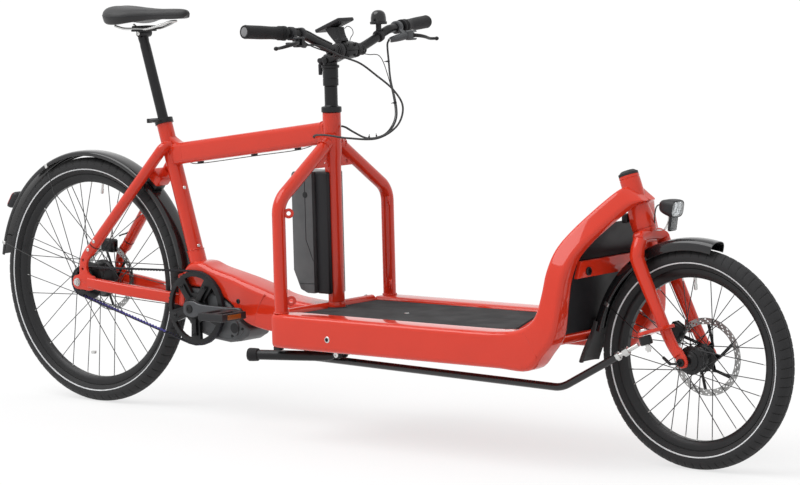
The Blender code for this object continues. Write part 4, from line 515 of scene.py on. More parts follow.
def smooth_path(points: Sequence[Point], spacing: float) -> list[Vector]:
    """Even points along a smooth curve through a route's own points."""
    route = [Vector(p) for p in points]
    fine = [Vector(row) for row in blended_route(route)]
    total = sum((q - p).length for p, q in zip(fine, fine[1:]))
    count = max(2, round(total / spacing))
    even = [fine[0]]
    walked = 0.0
    for p, q in zip(fine, fine[1:]):
        step = (q - p).length
        while len(even) < count and walked + step >= total * len(even) / count:
            even.append(p.lerp(q, (total * len(even) / count - walked) / step))
        walked += step
    even.append(fine[-1])
    return even


def blended_route(route: Sequence[Vector]) -> list[Vector]:
    """Close points on the smooth curve through a route's points."""
    padded = [2 * route[0] - route[1], *route, 2 * route[-1] - route[-2]]
    fine = []
    for a, b, c, d in zip(padded, padded[1:], padded[2:], padded[3:]):
        for k in range(24):
            t = k / 24
            curve = (2 * a - 5 * b + 4 * c - d) * t * t + (3 * b - a - 3 * c + d) * t * t * t
            fine.append(0.5 * (2 * b + (c - a) * t + curve))
    fine.append(route[-1])
    return fine


# Finishes


def add_node(tree: Tree, kind: str, **values: object) -> bpy.types.Node:
    """Add a shader node and set its properties."""
    made = tree.nodes.new(kind)
    for key, value in values.items():
        setattr(made, key, value)
    return made


def noise(tree: Tree, place: Socket, scale: float, detail: float) -> Socket:
    """A noise pattern.

    Args:
        tree: The material's node tree.
        place: The coordinates that it reads.
        scale: Its grains for each metre.
        detail: Its finer octaves.

    Returns:
        The pattern's height.
    """
    made = add_node(tree, "ShaderNodeTexNoise")
    made.inputs["Scale"].default_value = scale
    made.inputs["Detail"].default_value = detail
    tree.links.new(place, made.inputs["Vector"])
    return made.outputs["Fac"]


def spread(tree: Tree, source: Socket, low: float, high: float) -> Socket:
    """Stretch the middle of a noise pattern over a range of values."""
    made = add_node(tree, "ShaderNodeMapRange")
    for key, value in (("From Min", 0.3), ("From Max", 0.7), ("To Min", low), ("To Max", high)):
        made.inputs[key].default_value = value
    tree.links.new(source, made.inputs["Value"])
    return made.outputs["Result"]


def tint(tree: Tree, source: Socket, dark: Colour, light: Colour) -> Socket:
    """Colour a pattern from one colour to another."""
    made = add_node(tree, "ShaderNodeValToRGB")
    made.color_ramp.elements[0].position = 0.3
    made.color_ramp.elements[1].position = 0.7
    made.color_ramp.elements[0].color = (*dark, 1)
    made.color_ramp.elements[1].color = (*light, 1)
    tree.links.new(source, made.inputs["Fac"])
    return made.outputs["Color"]


def calculate(tree: Tree, step: str, first: Socket, second: Socket | float) -> Socket:
    """Do sums with a pattern.

    Args:
        tree: The material's node tree.
        step: The operation.
        first: The pattern.
        second: Another pattern or a number.

    Returns:
        The result.
    """
    made = add_node(tree, "ShaderNodeMath", operation=step)
    tree.links.new(first, made.inputs[0])
    if isinstance(second, Socket):
        tree.links.new(second, made.inputs[1])
    else:
        made.inputs[1].default_value = second
    return made.outputs[0]


@dataclass(frozen=True)
class Finish:
    """A surface with its own colour, gloss and fine relief.

    The grain's size and height are in metres, and tone and gloss say how far colour and roughness vary.
    """

    name: str
    part_slot: str
    colour: Colour
    roughness: float
    metallic: float = 0.0
    coat: float = 0.0
    sheen: float = 0.0
    specular: float = 0.5
    grain: float = 0.0006
    relief: float = 0.00002
    stretch: Colour = (1.0, 1.0, 1.0)
    tone: float = 0.10
    gloss: float = 0.05

    def material(self) -> bpy.types.Material:
        """Build the material once, and return it."""
        found = bpy.data.materials.get(self.name)
        if found:
            return found
        made = bpy.data.materials.new(self.name)
        made.use_nodes = True
        shader = made.node_tree.nodes["Principled BSDF"]
        shader.inputs["Metallic"].default_value = self.metallic
        shader.inputs["Specular IOR Level"].default_value = self.specular
        shader.inputs["Coat Weight"].default_value = self.coat
        shader.inputs["Coat Roughness"].default_value = 0.04
        shader.inputs["Sheen Weight"].default_value = self.sheen
        self.dress(made.node_tree, shader)
        return made

    def dress(self, tree: Tree, shader: bpy.types.Node) -> None:
        """Add the colour, the gloss and the relief.

        Args:
            tree: The material's node tree.
            shader: Its shader node.
        """
        place = self.place(tree)
        cloud = noise(tree, place, 0.02 / self.grain, 3)
        dark = tuple(c * (1 - self.tone) for c in self.colour)
        light = tuple(min(1.0, c * (1 + self.tone)) for c in self.colour)
        tree.links.new(tint(tree, cloud, dark, light), shader.inputs["Base Color"])
        gloss = spread(tree, cloud, self.roughness - self.gloss, self.roughness + self.gloss)
        tree.links.new(gloss, shader.inputs["Roughness"])
        self.raise_relief(tree, shader, self.height(tree, place))

    def place(self, tree: Tree) -> Socket:
        """Object coordinates, stretched along the way that the surface is ground."""
        source = add_node(tree, "ShaderNodeTexCoord").outputs["Object"]
        mapping = add_node(tree, "ShaderNodeMapping")
        mapping.inputs["Scale"].default_value = self.stretch
        tree.links.new(source, mapping.inputs["Vector"])
        return mapping.outputs["Vector"]

    def height(self, tree: Tree, place: Socket) -> Socket:
        """The grain's height, from 0 to 1."""
        return noise(tree, place, 1 / self.grain, 2)

    def raise_relief(self, tree: Tree, shader: bpy.types.Node, height: Socket) -> None:
        """Bump the surface, and its clear coat where it has one."""
        bump = add_node(tree, "ShaderNodeBump")
        bump.inputs["Distance"].default_value = self.relief
        tree.links.new(height, bump.inputs["Height"])
        tree.links.new(bump.outputs["Normal"], shader.inputs["Normal"])
        if self.coat:
            tree.links.new(bump.outputs["Normal"], shader.inputs["Coat Normal"])


@dataclass(frozen=True)
class Pebbled(Finish):
    """A moulded or coated surface of small rounded cells."""

    def height(self, tree: Tree, place: Socket) -> Socket:
        """The height of the cells."""
        cells = add_node(tree, "ShaderNodeTexVoronoi")
        cells.inputs["Scale"].default_value = 1 / self.grain
        tree.links.new(place, cells.inputs["Vector"])
        return cells.outputs["Distance"]


@dataclass(frozen=True)
class Tread(Finish):
    """Tyre rubber with short slanted sipes round the wheel, cut in on the shoulders and painted near black as
    shade.

    The slant is a sipe's turn for each metre across, counted from slant_from. The higher narrow is, below
    1, the narrower a sipe. The sipes reach depth metres in and start at shoulder metres from the middle.
    """

    centre: Flat = (0.0, 0.0)
    sipes: float = 90.0
    slant: float = 70.0
    slant_from: float = 0.012
    narrow: float = 0.945
    depth: float = 0.0175
    shoulder: float = 0.0050
    grain_share: float = 0.12
    # The colour of the painted shade in the sipes.
    dark: Colour = (0.003, 0.003, 0.003)

    def dress(self, tree: Tree, shader: bpy.types.Node) -> None:
        """Add the rubber, and the painted shade in the sipes."""
        super().dress(tree, shader)
        rubber = shader.inputs["Base Color"].links[0].from_socket
        # Painted shade: where a sipe runs, the rubber's colour turns to near black.
        mix = add_node(tree, "ShaderNodeMix", data_type="RGBA")
        tree.links.new(self.sipe(tree, self.place(tree)), mix.inputs[0])
        tree.links.new(rubber, mix.inputs[6])
        mix.inputs[7].default_value = (*self.dark, 1)
        tree.links.new(mix.outputs[2], shader.inputs["Base Color"])

    def height(self, tree: Tree, place: Socket) -> Socket:
        """The height of the rubber, lower in the sipes."""
        fine = calculate(tree, "MULTIPLY", noise(tree, place, 1 / self.grain, 2), self.grain_share)
        return calculate(tree, "SUBTRACT", fine, self.sipe(tree, place))

    def sipe(self, tree: Tree, place: Socket) -> Socket:
        """Where a sipe runs, at a turn about the axle."""
        axes = add_node(tree, "ShaderNodeSeparateXYZ")
        tree.links.new(place, axes.inputs["Vector"])
        ahead = calculate(tree, "SUBTRACT", axes.outputs["X"], self.centre[0])
        above = calculate(tree, "SUBTRACT", axes.outputs["Z"], self.centre[1])
        turn = calculate(tree, "MULTIPLY", calculate(tree, "ARCTAN2", above, ahead), self.sipes)
        away = calculate(tree, "ABSOLUTE", axes.outputs["Y"], 0.0)
        slant = calculate(tree, "MULTIPLY", calculate(tree, "SUBTRACT", away, self.slant_from), self.slant)
        wave = calculate(tree, "COSINE", calculate(tree, "ADD", turn, slant), 0.0)
        cut = calculate(tree, "GREATER_THAN", wave, self.narrow)
        squares = [calculate(tree, "POWER", way, 2.0) for way in (ahead, above)]
        reach = calculate(tree, "POWER", calculate(tree, "ADD", *squares), 0.5)
        tread = calculate(tree, "GREATER_THAN", reach, self.centre[1] - self.depth)
        shoulder = calculate(tree, "GREATER_THAN", away, self.shoulder)
        return calculate(tree, "MULTIPLY", calculate(tree, "MULTIPLY", cut, tread), shoulder)


@dataclass(frozen=True)
class Glass(Pebbled):
    """A clear or coloured lens, whose cells are moulded prisms."""

    clear: float = 1.0

    def dress(self, tree: Tree, shader: bpy.types.Node) -> None:
        """Let light through, and add the prisms."""
        super().dress(tree, shader)
        shader.inputs["Transmission Weight"].default_value = self.clear
        shader.inputs["IOR"].default_value = 1.49


PAINT = Finish(
    "orange_gloss_paint",
    "frame_paint",
    (0.60, 0.030, 0.0100),
    0.34,
    coat=0.8,
    specular=0.05,
    grain=0.0016,
    relief=0.000006,
    tone=0.02,
    gloss=0.03,
)
GLOSS_BLACK = Finish(
    "gloss_black_paint",
    "black_paint",
    (0.010, 0.010, 0.011),
    0.25,
    coat=0.8,
    specular=0.1,
    grain=0.0014,
    relief=0.000006,
)
SATIN_BLACK = Finish(
    "satin_black_alloy", "black_metal", (0.015, 0.015, 0.016), 0.36, 0.55, grain=0.0003, relief=0.000006
)
RIM_BLACK = Finish(
    "anodised_rim", "black_metal", (0.016, 0.016, 0.017), 0.38, 0.5, grain=0.0005, relief=0.000006
)
SPOKE_STEEL = Finish(
    "black_spokes", "black_metal", (0.05, 0.05, 0.052), 0.32, 0.85, grain=0.001, relief=0.000004
)
PLASTIC = Pebbled(
    "moulded_plastic",
    "black_plastic",
    (0.016, 0.016, 0.018),
    0.50,
    specular=0.35,
    grain=0.0007,
    relief=0.00003,
)
SHEET_BLACK = Finish(
    "black_panel", "black_plastic", (0.014, 0.014, 0.016), 0.48, specular=0.25, grain=0.0009, relief=0.00003
)
MOTOR_CAST = Finish(
    "cast_motor_case",
    "motor_grey",
    (0.080, 0.083, 0.087),
    0.46,
    0.2,
    specular=0.3,
    grain=0.0008,
    relief=0.00004,
)
PACK_GREY = Finish(
    "battery_case", "motor_grey", (0.075, 0.077, 0.080), 0.34, specular=0.4, grain=0.0006, relief=0.00002
)
GRIP_RUBBER = Pebbled(
    "grip_rubber",
    "rubber",
    (0.011, 0.011, 0.012),
    0.75,
    sheen=0.1,
    specular=0.25,
    grain=0.0012,
    relief=0.00012,
)
FLAP_RUBBER = Pebbled("flap_rubber", "rubber", (0.045, 0.045, 0.046), 0.60, specular=0.3, grain=0.0010)
HOSE_RUBBER = Finish("hose_rubber", "rubber", (0.018, 0.018, 0.019), 0.45, grain=0.0006, relief=0.00001)
SADDLE_COVER = Pebbled(
    "saddle_cover",
    "rubber",
    (0.020, 0.020, 0.021),
    0.50,
    sheen=0.12,
    specular=0.35,
    grain=0.0011,
    relief=0.00008,
)
MAT_GRIT = Pebbled(
    "mat_grit", "mat", (0.050, 0.050, 0.051), 0.92, specular=0.1, grain=0.0012, relief=0.00035, tone=0.30
)
END_CAP = Finish(
    "grey_end_cap", "grey_metal", (0.20, 0.20, 0.205), 0.42, specular=0.4, grain=0.0006, relief=0.00001
)
STEEL = Finish("bright_steel", "steel", (0.62, 0.62, 0.61), 0.28, 1.0, grain=0.0008, relief=0.000004)
DISC_STEEL = Finish(
    "ground_disc_steel",
    "steel",
    (0.34, 0.34, 0.335),
    0.34,
    1.0,
    grain=0.0004,
    relief=0.00001,
    stretch=(1.0, 0.2, 6.0),
)
CRANK_ALLOY = Finish(
    "forged_crank", "grey_metal", (0.075, 0.077, 0.082), 0.36, 0.7, grain=0.0005, relief=0.000008
)
BELT_BACK = Finish(
    "belt_back", "belt", (0.014, 0.014, 0.017), 0.62, specular=0.25, grain=0.0004, relief=0.00004
)
BELT_TOOTH = Finish(
    "belt_teeth", "belt", (0.085, 0.080, 0.320), 0.60, specular=0.2, grain=0.0004, relief=0.00004
)
STRIPE = Finish("reflective_stripe", "rubber", (0.62, 0.63, 0.64), 0.45, grain=0.0004, relief=0.00003)
CLEAR_LENS = Glass(
    "clear_lens",
    "black_plastic",
    (0.92, 0.94, 0.95),
    0.06,
    grain=0.006,
    relief=0.0006,
    tone=0.02,
    gloss=0.02,
    clear=0.85,
)
CHROME = Finish(
    "lamp_mirror", "black_plastic", (0.85, 0.86, 0.87), 0.12, 1.0, grain=0.003, relief=0.00004, tone=0.02
)
RED_LENS = Glass(
    "red_lens", "black_plastic", (0.50, 0.008, 0.010), 0.12, grain=0.002, relief=0.0003, clear=0.35
)
AMBER_LENS = Glass(
    "amber_reflector", "black_plastic", (0.42, 0.13, 0.02), 0.15, grain=0.002, relief=0.0004, clear=0.30
)
SCREEN = Finish(
    "dark_screen", "black_plastic", (0.008, 0.009, 0.011), 0.10, coat=0.6, grain=0.004, relief=0.000002
)


# Handing pieces over


def settle(obj: Piece, finish: Finish, body: str | None, *nodes: str, angle: float = 35.0) -> Piece:
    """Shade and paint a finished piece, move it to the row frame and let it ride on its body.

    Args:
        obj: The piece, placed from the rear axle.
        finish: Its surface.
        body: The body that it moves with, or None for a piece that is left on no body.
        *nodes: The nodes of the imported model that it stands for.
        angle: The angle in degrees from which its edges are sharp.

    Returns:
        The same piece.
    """
    select_only(obj)
    bpy.ops.object.shade_smooth_by_angle(angle=math.radians(angle))
    obj.data.materials.clear()
    obj.data.materials.append(finish.material())
    obj.data.transform(Matrix.Translation((AXLE_X, 0, 0)))
    if body:
        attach(obj, body)
    if nodes:
        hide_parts(*nodes)
    LOG.info("%s: %d faces on %s", obj.name, len(obj.data.polygons), body)
    return obj


def repaint(finish: Finish, *nodes: str) -> None:
    """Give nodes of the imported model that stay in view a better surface."""
    for name in nodes:
        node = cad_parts[name]
        node.data.materials.clear()
        node.data.materials.append(finish.material())
        LOG.info("%s keeps its shape", name)


def refined(node: str, name: str, edge: float, segments: int = 2) -> Piece:
    """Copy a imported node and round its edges.

    Args:
        node: The node's name.
        name: The new piece's name.
        edge: The radius of its edges.
        segments: The steps of each rounding.

    Returns:
        The new piece, placed from the rear axle.
    """
    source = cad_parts[node]
    obj = bpy.data.objects.new(name, source.data.copy())
    bpy.context.scene.collection.objects.link(obj)
    obj.data.transform(Matrix.Translation((-AXLE_X, 0, 0)))
    tidy(obj)
    modify(obj, "DECIMATE", decimate_type="DISSOLVE", angle_limit=math.radians(1.0))
    return soften(obj, edge, segments, 40)


def bolt_head(name: str, spot: Point, out: Point, radius: float, height: float) -> Piece:
    """A round-headed socket bolt that stands on a surface.

    Args:
        name: The object's name.
        spot: The middle of its foot.
        out: The way that it faces.
        radius: The head's radius.
        height: The head's height.

    Returns:
        The new object.
    """
    key = radius * 0.45
    profile = [(0, height * 0.45), (key, height * 0.45), (key, height), (radius * 0.8, height)]
    profile += [(radius, height * 0.65), (radius, 0), (0, 0)]
    return lathe(name, profile, spot, out, 20)


def weld(name: str, ring: Sequence[Point], size: float) -> Piece:
    """A rippled weld bead along a closed ring of points.

    Args:
        name: The object's name.
        ring: The ring's points.
        size: The bead's radius.

    Returns:
        The new object.
    """
    points = [Vector(p) for p in ring]
    bead = []
    swell = []
    for a, b in zip(points, points[1:] + points[:1]):
        for k in range(4):
            bead.append(a.lerp(b, k / 4))
            swell.append(1.0 + 0.16 * math.sin(len(bead) * math.pi / 2.5))
    bead.append(points[0])
    swell.append(1.0)
    return tube(name, bead, size, swell, 8)


def ring_about(centre: Point, axis: Point, radius: float, count: int = 20, flat: float = 1.0) -> list[Vector]:
    """Points of a circle about an axis, which may be flattened along the bike."""
    turn = Matrix.Translation(Vector(centre)) @ aim(axis, (0, 1, 0))
    turns = [math.tau * k / count for k in range(count)]
    return [turn @ Vector((radius * flat * math.cos(a), radius * math.sin(a), 0)) for a in turns]


# Sizes, partly taken from the imported model


def middle_of(node: str) -> Vector:
    """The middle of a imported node's box, from the rear axle."""
    low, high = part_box(node)
    return (low + high) / 2 - Vector((AXLE_X, 0, 0))


REAR_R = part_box("rear_tyre")[1].z / 2
FRONT_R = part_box("front_tyre")[1].z / 2
WHEELBASE = middle_of("front_tyre").x
CRANK = Vector((middle_of("belt_ring").x, 0, middle_of("belt_ring").z))
COLUMN_X = middle_of("battery_mount").x + 0.0154
SEAT_LEAN = 0.297
HEAD_TOP = 0.795
NOSE_TOP = 2 * FRONT_R + 0.159
STAND_X = COLUMN_X + 0.133
STAND_Z = 0.216


class Side(Enum):
    """The rider's side that a piece is on."""

    RIGHT = -1
    LEFT = 1

    @property
    def word(self) -> str:
        """The side's name in the names of pieces."""
        return self.name.lower()


# Studio


@dataclass
class Studio:
    """Camera, floor and lights, with the camera's place worked out from the wheels in the photograph."""

    azimuth: float = 39.4
    elevation: float = 5.95
    distance: float = 6.9
    roll: float = -1.44
    lens: float = 126.5
    aim_x: float = 1.062
    aim_z: float = 0.479
    floor_size: float = 500.0
    floor_glow: float = 0.70
    side_light: float = 0.40
    top_light: float = 1.0
    lamp_power: float = 1.9
    lamp_spread: float = 50.0

    def build(self) -> None:
        """Set up the camera, the floor and the lights."""
        self.camera()
        self.floor()
        self.sky()
        self.lamps()
        bpy.context.scene.view_settings.view_transform = "Standard"

    def camera(self) -> None:
        """Place the camera at the photograph's angle."""
        az, el, roll = (math.radians(a) for a in (self.azimuth, self.elevation, self.roll))
        back = Vector((math.sin(az) * math.cos(el), -math.cos(az) * math.cos(el), math.sin(el)))
        right = Vector((0, 0, 1)).cross(back).normalized()
        up = back.cross(right)
        tilted = math.cos(roll) * right + math.sin(roll) * up
        raised = -math.sin(roll) * right + math.cos(roll) * up
        data = bpy.data.cameras.new("camera")
        data.lens = self.lens
        data.sensor_width = 36.0
        camera = bpy.data.objects.new("camera", data)
        turn = Matrix((tilted, raised, back)).transposed().to_4x4()
        place = Vector((AXLE_X + self.aim_x, 0, self.aim_z)) + back * self.distance
        camera.matrix_world = Matrix.Translation(place) @ turn
        bpy.context.scene.collection.objects.link(camera)
        bpy.context.scene.camera = camera

    def floor(self) -> None:
        """Lay a pale floor that is as white as the sky behind it."""
        bpy.ops.object.select_all(action="DESELECT")
        bpy.ops.mesh.primitive_plane_add(size=self.floor_size)
        floor = take("studio_floor")
        made = bpy.data.materials.new("pale_floor")
        made.use_nodes = True
        shader = made.node_tree.nodes["Principled BSDF"]
        shader.inputs["Base Color"].default_value = (0.80, 0.80, 0.80, 1)
        shader.inputs["Roughness"].default_value = 0.9
        shader.inputs["Specular IOR Level"].default_value = 0.0
        tree = made.node_tree
        white = add_node(tree, "ShaderNodeEmission")
        white.inputs["Color"].default_value = (1, 1, 1, 1)
        white.inputs["Strength"].default_value = 1.0
        mix = add_node(tree, "ShaderNodeMixShader")
        tree.links.new(calculate(tree, "MULTIPLY", self.seen(tree), self.floor_glow), mix.inputs["Fac"])
        tree.links.new(shader.outputs[0], mix.inputs[1])
        tree.links.new(white.outputs[0], mix.inputs[2])
        tree.links.new(mix.outputs[0], tree.nodes["Material Output"].inputs["Surface"])
        floor.data.materials.append(made)

    def seen(self, tree: Tree) -> Socket:
        """Whether a ray comes from the camera, a mirror or a lens."""
        rays = add_node(tree, "ShaderNodeLightPath")
        seen = calculate(tree, "MAXIMUM", rays.outputs["Is Camera Ray"], rays.outputs["Is Transmission Ray"])
        return calculate(tree, "MAXIMUM", seen, rays.outputs["Is Glossy Ray"])

    def sky(self) -> None:
        """Light the studio from above and more weakly from the sides, and show white behind the bike."""
        world = bpy.data.worlds.new("studio")
        bpy.context.scene.world = world
        world.use_nodes = True
        tree = world.node_tree
        light = tree.nodes["Background"]
        light.inputs["Color"].default_value = (1, 1, 1, 1)
        axes = add_node(tree, "ShaderNodeSeparateXYZ")
        tree.links.new(add_node(tree, "ShaderNodeTexCoord").outputs["Generated"], axes.inputs["Vector"])
        tree.links.new(
            spread(tree, axes.outputs["Z"], self.side_light, self.top_light), light.inputs["Strength"]
        )
        white = add_node(tree, "ShaderNodeBackground")
        white.inputs["Color"].default_value = (1, 1, 1, 1)
        white.inputs["Strength"].default_value = 1.0
        mix = add_node(tree, "ShaderNodeMixShader")
        tree.links.new(self.seen(tree), mix.inputs["Fac"])
        tree.links.new(light.outputs[0], mix.inputs[1])
        tree.links.new(white.outputs[0], mix.inputs[2])
        tree.links.new(mix.outputs[0], tree.nodes["World Output"].inputs["Surface"])

    def lamps(self) -> None:
        """Hang one wide soft light high on the camera's left."""
        data = bpy.data.lights.new("wide_soft_light", "SUN")
        data.energy = self.lamp_power
        data.angle = math.radians(self.lamp_spread)
        lamp = bpy.data.objects.new("wide_soft_light", data)
        lamp.matrix_world = Matrix.Translation((-2, -3, 5)) @ aim((-0.55, -0.75, 1.5))
        bpy.context.scene.collection.objects.link(lamp)


# Hoses


@dataclass
class Hoses:
    """The brake hoses, the display's wire and the rear caliper's hose, on listed routes."""

    diameter: float = 0.005
    spacing: float = 0.010
    top_z: float = 0.955
    meet_z: float = 0.860
    low_z: float = 0.762
    rear_route: Sequence[Point] = (
        (0.940, -0.060, 0.938),
        (0.948, 0.000, 0.918),
        (0.962, 0.042, 0.888),
        (0.998, 0.066, 0.850),
        (1.026, 0.068, 0.808),
        (1.024, 0.046, 0.762),
        (0.992, 0.006, 0.733),
        (0.935, -0.036, 0.735),
        (0.880, -0.044, 0.741),
        (0.838, -0.040, 0.741),
        (0.820, -0.033, 0.737),
        (0.812, -0.0228, 0.733),
    )
    wire_start: Sequence[Point] = ((0.9190, 0.034, 0.9420), (0.9330, 0.052, 0.9370), (0.9480, 0.080, 0.9300))
    stub_route: Sequence[Point] = (
        (0.0360, 0.0560, 0.4440),
        (0.0470, 0.0560, 0.4480),
        (0.0620, 0.0565, 0.4520),
        (0.0790, 0.0570, 0.4610),
        (0.0920, 0.0580, 0.4730),
        (0.1020, 0.0585, 0.4880),
    )
    front_route: Sequence[Point] = (
        (0.920, 0.146, 0.918),
        (0.938, 0.130, 0.870),
        (0.975, 0.104, 0.809),
        (0.991, 0.082, 0.774),
        (0.984, 0.062, 0.745),
        (0.966, 0.046, 0.733),
        (0.937, 0.031, 0.731),
        (0.905, 0.020, 0.746),
        (0.888, 0.013, 0.757),
        (0.8762, 0.008, 0.761),
    )

    def build(self) -> None:
        """Lay both hoses from their levers to the frame, then the wire and the caliper's hose."""
        right = lever_end(Side.RIGHT)
        start = [right + Vector((0.001, 0.0075, 0.0005)), right + Vector((0.006, 0.050, -0.004))]
        self.hose("rear_hose", [*start, *self.rear_route], self.diameter, "rear_brake_hose")
        left = lever_end(Side.LEFT)
        start = [left + Vector((0.001, -0.0075, -0.0005)), left + Vector((0.006, -0.020, -0.012))]
        row = [*start, *self.front_route]
        ties = (self.ties("upper_tie", row, 0.16), self.ties("lower_ties", row, 0.46, 0.74, 0.79))
        self.hose("front_hose", row, self.diameter, "front_brake_hose", ties=ties)
        beside = [Vector(p) + Vector((-0.0028, -0.0026, 0.0008)) for p in self.front_route[1:-1]]
        self.hose("display_wire", [*self.wire_start, *beside], 0.0022)
        stub = self.stretch("caliper_hose", smooth_path(self.stub_route, 0.002), 0.0042)
        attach(stub, "frame")

    def ties(self, name: str, route: Sequence[Point], *shares: float) -> Piece:
        """Make cable ties that hold the thin wire on the front hose, each with its cut end.

        Args:
            name: The piece's name.
            route: The hose's route.
            *shares: The share of the route at which each tie sits.

        Returns:
            The ties as one piece.
        """
        points = smooth_path(route, self.spacing)
        shells = []
        for share in shares:
            k = round(share * (len(points) - 1))
            along = points[k + 1] - points[k - 1]
            spot = points[k] + Vector((-0.0010, -0.0010, 0.0003))
            shape = [(0.0030, -0.0014), (0.0042, -0.0014), (0.0042, 0.0014), (0.0030, 0.0014)]
            shells.append(lathe(name, shape, spot, along, 24, closed=True))
            out = along.cross(Vector((0.6, -0.7, 0.3))).normalized()
            shells.append(block("tie_lock", spot + out * 0.0046, (0.0034, 0.0030, 0.0034), 0.0006))
            shells.append(pin("tie_end", spot + out * 0.005, spot + out * 0.0105, 0.0008, 6))
        return settle(gather(*shells), PLASTIC, None)

    def hose(
        self,
        name: str,
        route: Sequence[Point],
        diameter: float,
        *nodes: str,
        ties: Sequence[Piece] = (),
    ) -> None:
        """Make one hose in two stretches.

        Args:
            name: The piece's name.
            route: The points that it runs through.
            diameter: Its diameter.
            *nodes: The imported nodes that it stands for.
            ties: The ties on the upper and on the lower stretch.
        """
        fine = smooth_path(route, 0.002)
        meet = next(n for n, point in enumerate(fine) if point.z < self.meet_z)
        upper = self.stretch(name + "_top", fine[: meet + 1], diameter, *nodes, pieces=ties[:1])
        lower = self.stretch(name, fine[meet:], diameter, *nodes, pieces=ties[1:])
        for obj in (upper, *ties[:1]):
            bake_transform(obj)
        for obj in (lower, *ties[1:]):
            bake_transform(obj)

    def stretch(
        self,
        name: str,
        fine: Sequence[Vector],
        diameter: float,
        *nodes: str,
        pieces: Sequence[Piece] = (),
    ) -> Piece:
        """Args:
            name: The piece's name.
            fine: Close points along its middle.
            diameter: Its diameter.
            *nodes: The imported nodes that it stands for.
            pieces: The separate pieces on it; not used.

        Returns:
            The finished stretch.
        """
        length = sum((q - p).length for p, q in zip(fine, fine[1:]))
        count = max(16, min(40, math.ceil(length / self.spacing)))
        points = smooth_path(fine, length / (count - 1))
        curve = bpy.data.curves.new(name, "CURVE")
        curve.dimensions = "3D"
        curve.bevel_depth = diameter / 2
        curve.bevel_resolution = 6
        curve.resolution_u = 4
        curve.use_fill_caps = True
        spline = curve.splines.new("BEZIER")
        spline.bezier_points.add(len(points) - 1)
        for point, place in zip(spline.bezier_points, points):
            point.co = place
            point.handle_left_type = point.handle_right_type = "AUTO"
        obj = settle(tidy(solid_of(name, curve)), HOSE_RUBBER, None, *nodes, angle=60)
        LOG.info("%s: %.3f m long", name, length)
        return obj


# Wheels


